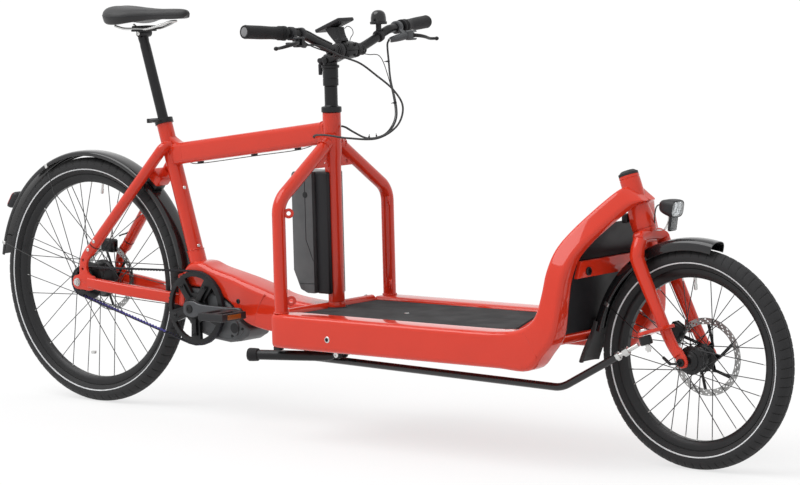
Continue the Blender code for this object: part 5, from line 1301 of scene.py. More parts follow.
@dataclass
class Wheel:
    """One spoked wheel with its tyre, its rim and its brake disc."""

    end: str
    x: float
    radius: float
    hub: Sequence[Flat]
    flange_r: float
    flange_y: float
    disc_y: float
    disc_phase: float
    valve_angle: float
    tread_blocks: int = 72
    spokes: int = 32
    crossing: int = 3
    rim_half: float = 0.0135
    rim_depth: float = 0.0215
    rim_floor: float = 0.0503
    disc_radius: float = 0.090
    disc_band: float = 0.0150
    disc_arms: int = 6
    disc_twist: float = 0.46

    @property
    def centre(self) -> Vector:
        """The wheel's middle."""
        return Vector((self.x, 0, self.radius))

    @property
    def rim_inner(self) -> float:
        """Radius of the rim's inner face."""
        return self.radius - self.rim_floor - self.rim_depth + 0.0058

    @property
    def body(self) -> str:
        """The body that turns."""
        return self.end + "_wheel"

    def build(self) -> None:
        """Build the wheel from the tread inwards."""
        self.tyre()
        self.stripes()
        self.rim()
        self.lacing()
        self.nipples()
        self.hub_shell()
        self.valve()
        self.disc()

    def turned_about(self, angle: float) -> Matrix:
        """A turn about the axle."""
        shift = Matrix.Translation(self.centre)
        return shift @ Matrix.Rotation(angle, 4, "Y") @ shift.inverted()

    def tyre(self) -> None:
        """The tyre, with two grooves round its crown and sipes across its shoulders."""
        half = [(0.0, 0.0022), (0.0011, 0.0028), (0.0011, 0.0040), (0.0003, 0.0046), (0.0010, 0.0085)]
        half += [(0.0030, 0.0125), (0.0060, 0.0163), (0.0100, 0.0198), (0.0150, 0.0226), (0.0205, 0.0238)]
        half += [(0.0260, 0.0236), (0.0315, 0.0222), (0.0365, 0.0195), (0.0405, 0.0162), (0.0435, 0.0134)]
        half += [(0.0445, 0.0112), (0.0500, 0.0100)]
        right = [(self.radius - depth, out) for depth, out in half]
        profile = right + flipped(right)
        steps = self.tread_blocks * 8
        obj = lathe(self.end + "_tyre_tread", profile, self.centre, (0, -1, 0), steps, closed=True)
        with edit_mode(obj) as bm:
            bpy.ops.mesh.select_all(action="DESELECT")
            for vert in bm.verts:
                away = vert.co - self.centre
                step = round(math.atan2(away.z, away.x) / math.tau * steps)
                reach = math.hypot(away.x, away.z)
                vert.select = step % 8 == 0 and abs(away.y) > 0.008 and self.radius - 0.0140 < reach
            bpy.ops.transform.shrink_fatten(value=-0.0009)
        # Tread paints the sipes near black, as painted shade.
        rubber = Tread(
            self.end + "_tyre_rubber",
            "rubber",
            (0.019, 0.019, 0.020),
            0.68,
            sheen=0.08,
            specular=0.25,
            grain=0.0010,
            relief=0.0009,
            centre=(self.x + AXLE_X, self.radius),
            sipes=float(self.tread_blocks),
        )
        settle(obj, rubber, self.body, self.end + "_tyre", angle=50)

    def stripes(self) -> None:
        """The narrow reflective stripe round each side wall."""
        shells = []
        for side in Side:
            y = side.value * 0.0223
            out = side.value * 0.0008
            low, high = self.radius - 0.0322, self.radius - 0.0294
            profile = [(low, y - out), (low, y + out * 0.4), (high, y + out * 1.6), (high, y - out)]
            shells.append(
                lathe(f"{self.end}_stripe_{side.word}", profile, self.centre, (0, 1, 0), 96, closed=True)
            )
        settle(gather(*shells), STRIPE, self.body)

    def rim(self) -> None:
        """The rim, with rounded hooks at its lips and a flat inner face."""
        floor = self.radius - self.rim_floor
        inner = self.rim_inner
        half = self.rim_half
        right = [(floor, half - 0.0036), (floor + 0.0050, half - 0.0030), (floor + 0.0058, half - 0.0016)]
        right += [(floor + 0.0050, half - 0.0004), (floor + 0.0030, half), (floor - 0.0030, half)]
        right += [(inner + 0.0070, 0.0108), (inner + 0.0018, 0.0082), (inner, 0.0062)]
        obj = lathe(self.end + "_rim", right + flipped(right), self.centre, (0, -1, 0), 128, closed=True)
        settle(obj, RIM_BLACK, self.body, self.end + "_wheel")

    def spoke_ends(self, side: Side, lead: int) -> tuple[Vector, Vector]:
        """Where one spoke leaves its flange and where it meets the rim."""
        per_side = self.spokes // 2
        rim_angle = math.tau * ((1 if lead > 0 else 0) + (0.5 if side is Side.LEFT else 0)) / per_side
        hub_angle = rim_angle - lead * math.tau * self.crossing / per_side
        ends = []
        for r, angle, y in (
            (self.flange_r - 0.004, hub_angle, side.value * self.flange_y + lead * 0.0019),
            (self.rim_inner + 0.003, rim_angle, side.value * 0.003 + lead * 0.0012),
        ):
            ends.append(self.centre + Vector((r * math.cos(angle), y, r * math.sin(angle))))
        return ends[0], ends[1]

    def spoke_kinds(self) -> list[tuple[int, Vector, Vector]]:
        """The four kinds of spoke, each with its lead and both its ends."""
        return [(lead, *self.spoke_ends(side, lead)) for side in Side for lead in (-1, 1)]

    def around(self, kinds: list[Piece]) -> Piece:
        """Copy the four kinds of spoke or nipple round the wheel."""
        one = gather(*kinds)
        turns = [self.turned_about(math.tau * k / (self.spokes // 4)) for k in range(self.spokes // 4)]
        return copies(one, turns)

    def lacing(self) -> None:
        """Crossed spokes with a head at the flange."""
        kinds = []
        for lead, start, end in self.spoke_kinds():
            kinds.append(pin(f"{self.end}_spokes", start, end, 0.0011, 8))
            out = Vector((0, lead * 0.0012, 0))
            kinds.append(pin("spoke_head", start - out, start + out, 0.0022, 10))
        settle(self.around(kinds), SPOKE_STEEL, self.body)

    def nipples(self) -> None:
        """The nipple that holds each spoke in the rim."""
        kinds = []
        for _, start, end in self.spoke_kinds():
            along = (start - end).normalized()
            kinds.append(pin(f"{self.end}_nipples", end, end + along * 0.0095, 0.0017, 8))
        settle(self.around(kinds), STEEL, self.body)

    def hub_shell(self) -> None:
        """The hub, with its flanges' edges rounded."""
        obj = lathe(self.end + "_hub", self.hub, self.centre, (0, -1, 0), 56, edge=0.0008)
        settle(obj, SATIN_BLACK, self.body)

    def valve(self) -> None:
        """The valve in the rim, with its cap."""
        inner = self.rim_inner + 0.0002
        out = Vector((math.cos(self.valve_angle), 0, math.sin(self.valve_angle)))
        profile = [(0, 0), (0.0031, 0), (0.0031, 0.016), (0.0042, 0.0165), (0.0042, 0.027), (0.0030, 0.029)]
        profile += [(0, 0.029)]
        obj = lathe(self.end + "_valve", profile, self.centre + out * inner, -out, 20)
        settle(obj, STEEL, self.body)

    def disc(self) -> None:
        """The brake disc: a drilled band on six slanted arms."""
        band = self.disc_radius - self.disc_band
        loops = [circle(self.disc_radius, 96), circle(band, 96)]
        rows = 26
        for k in range(rows):
            for row in range(3):
                angle = self.disc_phase + math.tau * (k + row / 3) / rows
                r = band + self.disc_band * (0.21 + 0.29 * row)
                out = Vector((math.cos(angle), math.sin(angle)))
                along = Vector((-out.y, out.x))
                oval = [out * (r + 0.0017 * u) + along * (0.0031 * v) for u, v in circle(1.0, 10)]
                loops.append([tuple(p) for p in oval])
        plane = side_plane(self.x, self.disc_y, self.radius)
        ring = plate(self.end + "_disc_band", loops, 0.0019, plane)
        settle(ring, DISC_STEEL, self.body, self.end + "_rotor")
        outline = []
        for k in range(self.disc_arms):
            root = self.disc_phase + math.tau * k / self.disc_arms
            tip = root + self.disc_twist
            outline += arc(0.025, root - 0.62, root - 0.26, 4)
            outline += [(0.034 * math.cos(root - 0.10), 0.034 * math.sin(root - 0.10))]
            outline += arc(band + 0.003, tip - 0.055, tip + 0.055, 3)
            outline += [(0.036 * math.cos(root + 0.20), 0.036 * math.sin(root + 0.20))]
        carrier = plate(self.end + "_disc_arms", [outline, circle(0.0110, 24)], 0.0016, plane, 0.0003)
        settle(carrier, SATIN_BLACK, self.body)
        out = Vector((0, math.copysign(1.0, self.disc_y), 0))
        screws = []
        for r, size, twist in ((0.0190, 0.0032, 0.0), (band + 0.0006, 0.0024, self.disc_twist)):
            for k in range(self.disc_arms):
                angle = self.disc_phase + math.tau * k / self.disc_arms + twist
                spot = self.centre + Vector((r * math.cos(angle), self.disc_y, r * math.sin(angle)))
                screws.append(bolt_head(self.end + "_disc_screws", spot + out * 0.0008, out, size, 0.0018))
        settle(gather(*screws), STEEL, self.body)


def rear_wheel() -> Wheel:
    """The rear wheel, whose wide hub holds the gears."""
    flange, half, disc = 0.027, 0.041, 0.0487
    side = [(0.0505, flange - 0.003), (0.045, flange - 0.008)]
    hub = [(0, half), (0.020, half), (0.024, half - 0.001), (0.030, flange + 0.008), (0.051, flange + 0.003)]
    hub += side + flipped(side)
    hub += [(0.051, -flange - 0.003), (0.030, -flange - 0.008), (0.020, -disc), (0, -disc)]
    return Wheel("rear", 0.0, REAR_R, hub, 0.051, flange, 0.050, 0.2, math.radians(82))


def front_wheel() -> Wheel:
    """The front wheel, whose wide shell holds the dynamo."""
    flange, half, disc = 0.024, 0.040, 0.0407
    side = [
        (0.033, flange - 0.002), (0.0265, flange - 0.005), (0.0265, 0.007), (0.0280, 0.006), (0.0280, 0.001)
    ]
    hub = [
        (0, half), (0.012, half), (0.015, flange + 0.011), (0.022, flange + 0.009), (0.0235, flange + 0.004)
    ]
    hub.append((0.033, flange + 0.002))
    hub += side + flipped(side)
    hub += [(0.033, -flange - 0.002), (0.022, -flange - 0.008), (0.022, -disc), (0, -disc)]
    return Wheel("front", WHEELBASE, FRONT_R, hub, 0.033, flange, 0.042, 0.0, math.radians(90))


# Mudguards and rear light


@dataclass
class Mudguard:
    """A crowned blade with rolled edges that follows a wheel, and its wires."""

    centre: Vector
    outer: float
    finish: float
    flap: Sequence[Flat] = ()
    half: float = 0.028
    wall: float = 0.0018
    crown: float = 0.0125
    flare: float = 0.0

    def point(self, angle: float, drop: float, y: float) -> Vector:
        """Point of the blade at an angle in degrees, a drop from its crown and a place across."""
        a = math.radians(angle)
        r = self.outer + self.grown(angle) - drop
        return self.centre + Vector((r * math.cos(a), y, r * math.sin(a)))

    def grown(self, angle: float) -> float:
        """How far the flap stands off the wheel's circle at an angle."""
        if not self.flap or angle <= self.finish:
            return 0.0
        row = [(self.finish, 0.0), *self.flap]
        for (a, low), (b, high) in zip(row, row[1:]):
            if angle <= b:
                return low + (high - low) * (angle - a) / (b - a)
        return row[-1][1]

    def section(self) -> list[Flat]:
        """The blade's section as (drop, place across), round its edges and back."""
        over = []
        for k in range(17):
            turn = -math.pi / 2 + math.pi * k / 16
            across = math.copysign(abs(math.sin(turn)) ** 0.80, math.sin(turn))
            over.append((self.crown * (1 - math.cos(turn) ** 0.55), self.half * across))
        share = 1 - self.wall / self.half
        under = [(drop + self.wall, y * share) for drop, y in reversed(over)]
        return over + under

    def drop_at(self, share: float) -> float:
        """The section's drop from its crown at a share of its half width."""
        turn = math.asin(min(1.0, abs(share) ** 1.25))
        return self.crown * (1 - math.cos(turn) ** 0.55)

    def blade(self, name: str, start: float, finish: float, count: int) -> Piece:
        """Sweep the section over a range of angles.

        Args:
            name: The object's name.
            start: The first angle in degrees.
            finish: The last angle.
            count: The number of sections.

        Returns:
            The new object.
        """
        section = self.section()
        rings = []
        for k in range(count):
            angle = start + (finish - start) * k / (count - 1)
            wider = 1 + self.flare * (angle - start)
            rings.append([self.point(angle, drop, y * wider) for drop, y in section])
        return loft(name, rings)

    def rolled_edges(self, start: float, finish: float, count: int) -> list[Piece]:
        """The beads that both edges are rolled into."""
        beads = []
        for side in Side:
            row = []
            for k in range(count):
                angle = start + (finish - start) * k / (count - 1)
                row.append(self.point(angle, self.crown + 0.0008, side.value * (self.half - 0.0018)))
            beads.append(tube("rolled_edge", row, 0.0018, sides=10))
        return beads

    def wire(self, angle: float, foot: Vector, side: Side) -> Piece:
        """A straight wire from the blade's edge to the dropout.

        Args:
            angle: The angle in degrees at which it leaves the blade.
            foot: Where it ends, on the left side.
            side: The side that it is on.

        Returns:
            The wire.
        """
        hook = self.point(angle, self.crown - 0.006, side.value * (self.half + 0.0022))
        edge = self.point(angle, self.crown + 0.006, side.value * (self.half + 0.0022))
        end = Vector((foot.x, side.value * foot.y, foot.z))
        return tube("guard_wire", [hook, edge, end], 0.0012, sides=10)

    def clip(self, angle: float, side: Side) -> Piece:
        """The small silver clip that holds a wire on the blade's edge."""
        spot = self.point(angle, self.crown - 0.001, side.value * (self.half + 0.0012))
        turn = Matrix.Rotation(-math.radians(angle), 3, "Y")
        return block("guard_clip", spot, (0.0125, 0.0065, 0.009), 0.0012, turn)


def rear_mudguard() -> None:
    """The long rear blade, with two wires a side and its clips."""
    guard = Mudguard(Vector((0, 0, REAR_R)), REAR_R + 0.020, 171)
    shells = [guard.blade("rear_blade", 8, 171, 64), *guard.rolled_edges(8, 171, 64)]
    settle(gather(*shells), GLOSS_BLACK, "frame", "rear_mudguard", angle=60)
    wires = []
    clips = []
    for k, angle in enumerate((116, 165)):
        for side in Side:
            foot = Vector((-0.0125 - 0.006 * k, 0.0600, REAR_R + 0.022 - 0.018 * k))
            wires.append(guard.wire(angle, foot, side))
            clips.append(guard.clip(angle, side))
    settle(gather(*wires), GLOSS_BLACK, "frame")
    settle(gather(*clips), STEEL, "frame")


def front_mudguard() -> None:
    """The short front blade, its ribbed flap, the flap's bolts and the wires."""
    centre = Vector((WHEELBASE, 0, FRONT_R))
    guard = Mudguard(centre, FRONT_R + 0.025, 169, crown=0.0255)
    shells = [guard.blade("front_blade", 77, 169, 40), *guard.rolled_edges(77, 169, 40)]
    settle(gather(*shells), GLOSS_BLACK, "fork", "front_mudguard", angle=60)
    bulge = ((170.0, 0.0), (174.0, 0.006), (179.0, 0.017), (185.0, 0.031))
    flap = Mudguard(centre, guard.outer + 0.0030, 164, bulge, 0.0295, 0.0022, 0.0150, 0.008)
    rubber = [flap.blade("front_flap", 164, 185, 22)]
    for k in range(7):
        share = -0.84 + 0.28 * k
        angles = [168 + 1.5 * n for n in range(11)] + [184.6]
        spots = []
        for angle in angles:
            half = flap.half * (1 + flap.flare * (angle - 164))
            spots.append(flap.point(angle, flap.drop_at(share) - 0.0003, share * half))
        rubber.append(tube("flap_rib", spots, 0.0019, sides=8))
    settle(gather(*rubber), FLAP_RUBBER, "fork")
    bolts = []
    for side in Side:
        spot = flap.point(166.5, 0.0, side.value * 0.013)
        out = spot - centre
        bolts.append(bolt_head("flap_bolts", spot, (out.x, 0, out.z), 0.0044, 0.0026))
        bolts.append(guard.clip(153, side))
    settle(gather(*bolts), STEEL, "fork")
    wires = []
    ends = []
    for side in Side:
        foot = Vector((WHEELBASE - 0.026, 0.0745, FRONT_R - 0.001))
        wires.append(guard.wire(153, foot, side))
        last = Vector((foot.x, side.value * foot.y, foot.z))
        back = (guard.point(153, guard.crown, side.value * guard.half) - last).normalized()
        ends.append(pin("wire_end", last + back * 0.022, last - back * 0.006, 0.0036, 16, 0.0008))
        level = Vector((0.026, 0, -0.0005))
        ends.append(pin("wire_link", last - back * 0.004, last + level, 0.0026, 12))
    settle(gather(*wires), GLOSS_BLACK, "fork")
    settle(gather(*ends), PLASTIC, "fork")


def rear_light() -> None:
    """The lamp on the rear blade: a black housing round a red lens."""
    angle = math.radians(145.5)
    out = Vector((math.cos(angle), 0, math.sin(angle)))
    along = Vector((-math.sin(angle), 0, math.cos(angle)))
    side = Vector((0, 1, 0))
    base = Vector((0, 0, REAR_R)) + out * (REAR_R + 0.0212)
    case = (
        (0.000, 0.000, 0.0170, 0.0190, 0.006),
        (0.006, 0.002, 0.0200, 0.0240, 0.008),
        (0.010, 0.004, 0.0210, 0.0258, 0.009),
        (0.013, 0.008, 0.0206, 0.0256, 0.009),
        (0.0135, 0.009, 0.0185, 0.0232, 0.008),
    )
    lens = (
        (0.0130, 0.0085, 0.0182, 0.0229, 0.008),
        (0.0150, 0.0105, 0.0178, 0.0224, 0.008),
        (0.0162, 0.0118, 0.0155, 0.0200, 0.008),
    )
    for name, stations, finish, nodes in (
        ("rear_lamp_case", case, PLASTIC, ["rear_light"]),
        ("rear_lamp_lens", lens, RED_LENS, []),
    ):
        rings = []
        for away, back, wide, tall, corner in stations:
            middle = base + out * away - Vector((back, 0, 0))
            rings.append(rounded_ring(middle, side * wide, along * tall, corner, 8))
        settle(loft(name, rings), finish, "frame", *nodes, angle=50)


# Frame behind the column


def seat_line(z: float) -> Vector:
    """Point of the seat tube's middle at a height."""
    return Vector((CRANK.x - (z - CRANK.z) * SEAT_LEAN, 0, z))


@dataclass
class RearFrame:
    """Seat tube, top tube, the shell over the motor and the stays."""

    tube_x: float = 0.020
    tube_y: float = 0.022
    rear_z: float = 0.675
    front_z: float = 0.7465
    height: float = 0.056
    width: float = 0.040
    stay_y: float = 0.068
    stay_r: float = 0.0145
    socket_z: float = 0.428

    @property
    def tube_top(self) -> float:
        """Height of the seat tube's top."""
        return self.rear_z + 0.080

    @property
    def split(self) -> float:
        """Where the top tube meets the seat tube's lug."""
        return CRANK.x - 0.064

    @property
    def tube_end(self) -> float:
        """Where the top tube meets the column's lug."""
        return COLUMN_X - 0.052

    def build(self) -> None:
        """Build from the seat tube outwards."""
        self.seat_tube()
        self.top_tube()
        self.beam()
        for side in Side:
            self.stays(side)
        self.bridge()
        self.axle()

    def along_top(self, x: float) -> Vector:
        """Point of the top tube's middle at a place along the bike."""
        rear = seat_line(self.rear_z)
        front = Vector((COLUMN_X, 0, self.front_z))
        return rear.lerp(front, (x - rear.x) / (front.x - rear.x))

    def top_part(self, name: str, x0: float, x1: float) -> Piece:
        """A stretch of the top tube, square to its slope."""
        along = (self.along_top(x1) - self.along_top(x0)).normalized()
        up = along.cross(Vector((0, 1, 0)))
        across = Vector((0, self.width / 2, 0))
        rings = [rounded_ring(self.along_top(x), across, up * (self.height / 2), 0.013, 8) for x in (x0, x1)]
        return loft(name, rings)

    def seat_part(self, name: str, z0: float, z1: float, grow: float = 0.0) -> Piece:
        """A stretch of the seat tube."""
        along = (seat_line(z1) - seat_line(z0)).normalized()
        ahead = Vector((0, 1, 0)).cross(along)
        rings = []
        for z in (z0, z1):
            half_x = ahead * (self.tube_x + grow)
            rings.append(oval_ring(seat_line(z), half_x, (0, self.tube_y + grow, 0), 48))
        return loft(name, rings)

    def seat_tube(self) -> None:
        """Seat tube with the lug, the gusset, the stay stubs, the welds and the bore for the post."""
        body = self.seat_part("seat_tube_shell", self.socket_z + 0.0003, self.tube_top)
        lug = self.top_part("top_lug", seat_line(self.rear_z).x, self.split - 0.0004)
        nose = self.split - 0.010
        crest = self.along_top(nose).z + self.height / 2
        outline = [(seat_line(z).x, z) for z in (self.rear_z + 0.065, self.rear_z + 0.025)]
        outline += [(nose, crest - 0.0135), (nose, crest - 0.001), (nose - 0.014, crest + 0.001)]
        outline.append((nose - 0.032, crest + 0.0105))
        gusset = plate("seat_gusset", [outline], 0.026, side_plane(0, 0, 0), 0.002)
        stubs = []
        for side in Side:
            top, foot = self.stay_ends(side)
            root = seat_line(self.rear_z + 0.025) + Vector((0.010, side.value * 0.010, 0))
            row = [root, *bend(root, top, foot, 0.014, 6), top.lerp(foot, 0.06)]
            stubs.append(tube("stay_stub", row, self.stay_r, sides=24))
        unite(body, lug, gusset, *stubs)
        low, high = seat_line(self.tube_top - 0.060), seat_line(self.tube_top + 0.045)
        carve(body, pin("post_bore", low, high, 0.0139, 40))
        settle(body, PAINT, "frame", "seat_tube")
        self.seat_welds()

    def seat_welds(self) -> None:
        """Rippled beads where the lug and the stays meet the tube, and where the tube enters its socket."""
        beads = []
        along = (self.along_top(self.split) - self.along_top(CRANK.x - 0.1)).normalized()
        up = along.cross(Vector((0, 1, 0)))
        across = Vector((0, self.width / 2 + 0.0002, 0))
        meet = self.along_top(seat_line(self.rear_z).x + self.tube_x * 0.92)
        ring = rounded_ring(meet, across, up * (self.height / 2 + 0.0002), 0.013, 5)
        beads.append(weld("frame_welds", ring, 0.0017))
        for side in Side:
            root = seat_line(self.rear_z + 0.022) + Vector((0.007, side.value * 0.0195, 0))
            way = self.stay_ends(side)[0] - seat_line(self.rear_z + 0.025)
            beads.append(weld("stay_weld", ring_about(root, way, self.stay_r, 18), 0.0015))
        middle = seat_line(self.socket_z - 0.001)
        ring = ring_about(middle, seat_line(0.5) - seat_line(0.4), 0.0228, 26, 0.93)
        beads.append(weld("socket_weld", ring, 0.0016))
        settle(gather(*beads), PAINT, "frame", angle=60)

    def top_tube(self) -> None:
        """Top tube with three small guides for the cable under it."""
        body = self.top_part("top_tube_shell", self.split, self.tube_end)
        settle(body, PAINT, "frame", "top_tube")
        guides = []
        line = []
        for share in (0.11, 0.53, 0.86):
            x = self.split + share * (self.tube_end - self.split)
            low = self.along_top(x).z - self.height / 2
            guides.append(block("cable_guides", (x, 0, low - 0.0020), (0.013, 0.013, 0.0075), 0.0016))
            line.append(Vector((x, 0, low - 0.0052)))
        settle(gather(*guides), PLASTIC, "frame")
        first = Vector((self.split + 0.012, 0, self.along_top(self.split).z - self.height / 2 + 0.002))
        last = Vector(
            (self.tube_end - 0.006, 0.004, self.along_top(self.tube_end).z - self.height / 2 + 0.002)
        )
        route = smooth_path([first, *line, last], 0.010)
        settle(tube("lamp_wire", route, 0.0011, sides=8), HOSE_RUBBER, "frame")

    def beam(self) -> None:
        """The shell over the motor, from the stays' yoke to the platform."""
        stations = (
            (-0.062, 0.336, 0.377, 0.030, 0.012),
            (-0.034, 0.337, 0.398, 0.038, 0.016),
            (0.006, 0.336, 0.401, 0.041, 0.018),
            (0.046, 0.332, 0.388, 0.042, 0.018),
            (0.116, 0.300, 0.373, 0.044, 0.020),
            (0.166, 0.258, 0.360, 0.049, 0.020),
            (0.221, 0.242, 0.345, 0.048, 0.020),
            (0.276, 0.236, 0.329, 0.045, 0.018),
            (0.336, 0.2355, 0.320, 0.043, 0.014),
            (0.4005, 0.2355, 0.3145, 0.045, 0.012),
        )
        rings = []
        for ahead, low, high, half, corner in blended(stations, 5):
            middle = (CRANK.x + ahead, 0, (low + high) / 2)
            rings.append(rounded_ring(middle, (0, half, 0), (0, 0, (high - low) / 2), corner, 8, 0.007))
        body = loft("beam_shell", rings)
        socket = self.seat_part("seat_socket", 0.370, self.socket_z, 0.0015)
        yoke = block("stay_yoke", (CRANK.x - 0.061, 0, 0.325), (0.022, 0.084, 0.086), 0.006)
        unite(body, socket, yoke)
        settle(soften(body, 0.0015, 2, 50), PAINT, "frame", "drive_beam", angle=40)
        self.beam_details()

    def beam_details(self) -> None:
        """The curved weld across the shell, and the bolts that hold the motor."""
        beads = []
        for side in Side:
            route = ((0.238, 0.333), (0.224, 0.312), (0.213, 0.292), (0.205, 0.272), (0.199, 0.254))
            fine = smooth_path([(CRANK.x + x, side.value * 0.0478, z) for x, z in route], 0.0035)
            swell = [1 + 0.2 * math.sin(k * math.pi / 1.5) for k in range(len(fine))]
            beads.append(tube("beam_weld", fine, 0.0014, swell, 8))
        settle(gather(*beads), PAINT, "frame", angle=60)
        bolts = []
        for side in Side:
            out = (0, side.value, 0)
            for ahead, z, half in ((0.039, 0.3316, 0.0418), (0.1465, 0.309, 0.0470)):
                spot = Vector((CRANK.x + ahead, side.value * half, z))
                bolts.append(bolt_head("motor_bolts", spot, out, 0.0062, 0.0030))
        settle(gather(*bolts), SATIN_BLACK, "frame")

    def stay_ends(self, side: Side) -> tuple[Vector, Vector]:
        """Where a seat stay leaves the seat tube, and where it meets its dropout."""
        top = seat_line(self.rear_z + 0.019) + Vector((0.004, side.value * 0.033, 0))
        return top, Vector((0.046, side.value * self.stay_y, REAR_R + 0.082))

    def stays(self, side: Side) -> None:
        """Seat stay, chain stay and dropout of one side."""
        top, foot = self.stay_ends(side)
        along = (foot - top).normalized()
        start = top.lerp(foot, 0.06) + along * 0.0003
        tip = foot + along * 0.006
        row = [start, foot - along * 0.004, foot + along * 0.002, tip]
        body = tube(f"{side.word}_stays", row, self.stay_r, (1.0, 1.0, 0.90, 0.55), 28)
        yoke = Vector((CRANK.x - 0.0723, side.value * 0.0330, 0.2995))
        end = Vector((0.040, side.value * self.stay_y, REAR_R + 0.0005))
        stations = (
            (0.0, 0.0, 0.0090, 0.0140),
            (0.17, 0.0038, 0.0100, 0.0155),
            (0.53, 0.0050, 0.0100, 0.0155),
            (0.86, -0.0024, 0.0080, 0.0155),
            (1.0, 0.0, 0.0075, 0.0155),
        )
        rings = []
        for share, bow, half_y, half_z in blended(stations, 5):
            middle = end.lerp(yoke, share) + Vector((0, side.value * bow, 0))
            rings.append(rounded_ring(middle, (0, half_y, 0), (0, 0, half_z), 0.0068, 7))
        gather(body, loft("chain_stay", rings), self.dropout(side))
        settle(body, PAINT, "frame", f"{side.word}_rear_stays")
        self.stay_details(side, top, foot)

    def dropout(self, side: Side) -> Piece:
        """The crescent plate with its three through holes."""
        outline = [(-0.019, 0.0), (-0.014, -0.013), (0.0, -0.019), (0.020, -0.019), (0.040, -0.021)]
        outline += [(0.062, -0.014), (0.062, 0.016), (0.048, 0.020), (0.037, 0.032), (0.037, 0.054)]
        outline += [(0.048, 0.069), (0.062, 0.082), (0.046, 0.101), (0.028, 0.085), (0.014, 0.064)]
        outline += [(0.009, 0.042), (0.007, 0.022), (-0.012, 0.016)]
        closed = [outline[-1], *outline, outline[0], outline[1]]
        smooth = []
        for a, b, c, d in zip(closed, closed[1:], closed[2:], closed[3:]):
            for k in range(3):
                smooth.append(tuple(hermite(p, q, r, s, k / 3) for p, q, r, s in zip(a, b, c, d)))
        holes = [circle(0.0042, 20, spot) for spot in ((0.024, 0.060), (0.021, 0.036), (0.042, -0.006))]
        holes.append(circle(0.0063, 24))
        plane = side_plane(0, side.value * self.stay_y, REAR_R)
        return plate("dropout", [smooth, *holes], 0.008, plane, 0.0009)

    def stay_details(self, side: Side, top: Vector, foot: Vector) -> None:
        """The split in the stay with its two bolts."""
        out = (0, side.value, 0)
        bolts = []
        for share in (0.89, 0.97):
            spot = top.lerp(foot, share) + Vector((0, side.value * (self.stay_r - 0.0006), 0))
            bolts.append(bolt_head("split_bolts", spot, out, 0.0048, 0.0024))
        settle(gather(*bolts), STEEL, "frame")
        half = (foot - top).normalized() * 0.0016
        middle = top.lerp(foot, 0.93)
        groove = pin("stay_split", middle - half, middle + half, self.stay_r + 0.0003, 28)
        settle(groove, SHEET_BLACK, "frame")

    def bridge(self) -> None:
        """The bridge between the seat stays."""
        left = self.stay_ends(Side.LEFT)
        right = self.stay_ends(Side.RIGHT)
        ends = left[0].lerp(left[1], 0.24), right[0].lerp(right[1], 0.24)
        body = pin("stay_bridge", ends[0], ends[1], 0.0115, 28)
        middle = Vector((0.2490, 0, 0.6150))
        away = middle - Vector((0, 0, REAR_R))
        turn = Matrix.Rotation(-math.atan2(away.z, away.x), 3, "Y")
        unite(body, block("bridge_lug", middle, (0.030, 0.050, 0.046), 0.008, turn, 5))
        settle(body, PAINT, "frame")
        foot = middle - away.normalized() * 0.0205
        bracket = block("guard_bracket", foot, (0.014, 0.034, 0.040), 0.002, turn)
        settle(bracket, SATIN_BLACK, "frame")

    def axle(self) -> None:
        """The rear axle's nuts, washers and end caps."""
        shells = []
        for side in Side:
            out = (0, side.value, 0)
            face = Vector((0, side.value * (self.stay_y + 0.0041), REAR_R))
            washer = [(0.0062, 0), (0.0110, 0), (0.0110, 0.0012), (0.0062, 0.0012)]
            shells.append(lathe("axle_nuts", washer, face, out, 32, closed=True))
            nut = [(0, 0.0012), (0.0098, 0.0012), (0.0098, 0.0052), (0.0085, 0.0066), (0.0062, 0.0066)]
            nut += [(0.0060, 0.0086), (0, 0.0088)]
            shells.append(lathe("axle_nut", nut, face, out, 6))
        core = pin("axle_core", (0, -self.stay_y, REAR_R), (0, self.stay_y, REAR_R), 0.0060, 24)
        settle(gather(*shells, core), STEEL, "frame", angle=25)


# Column, arch and platform


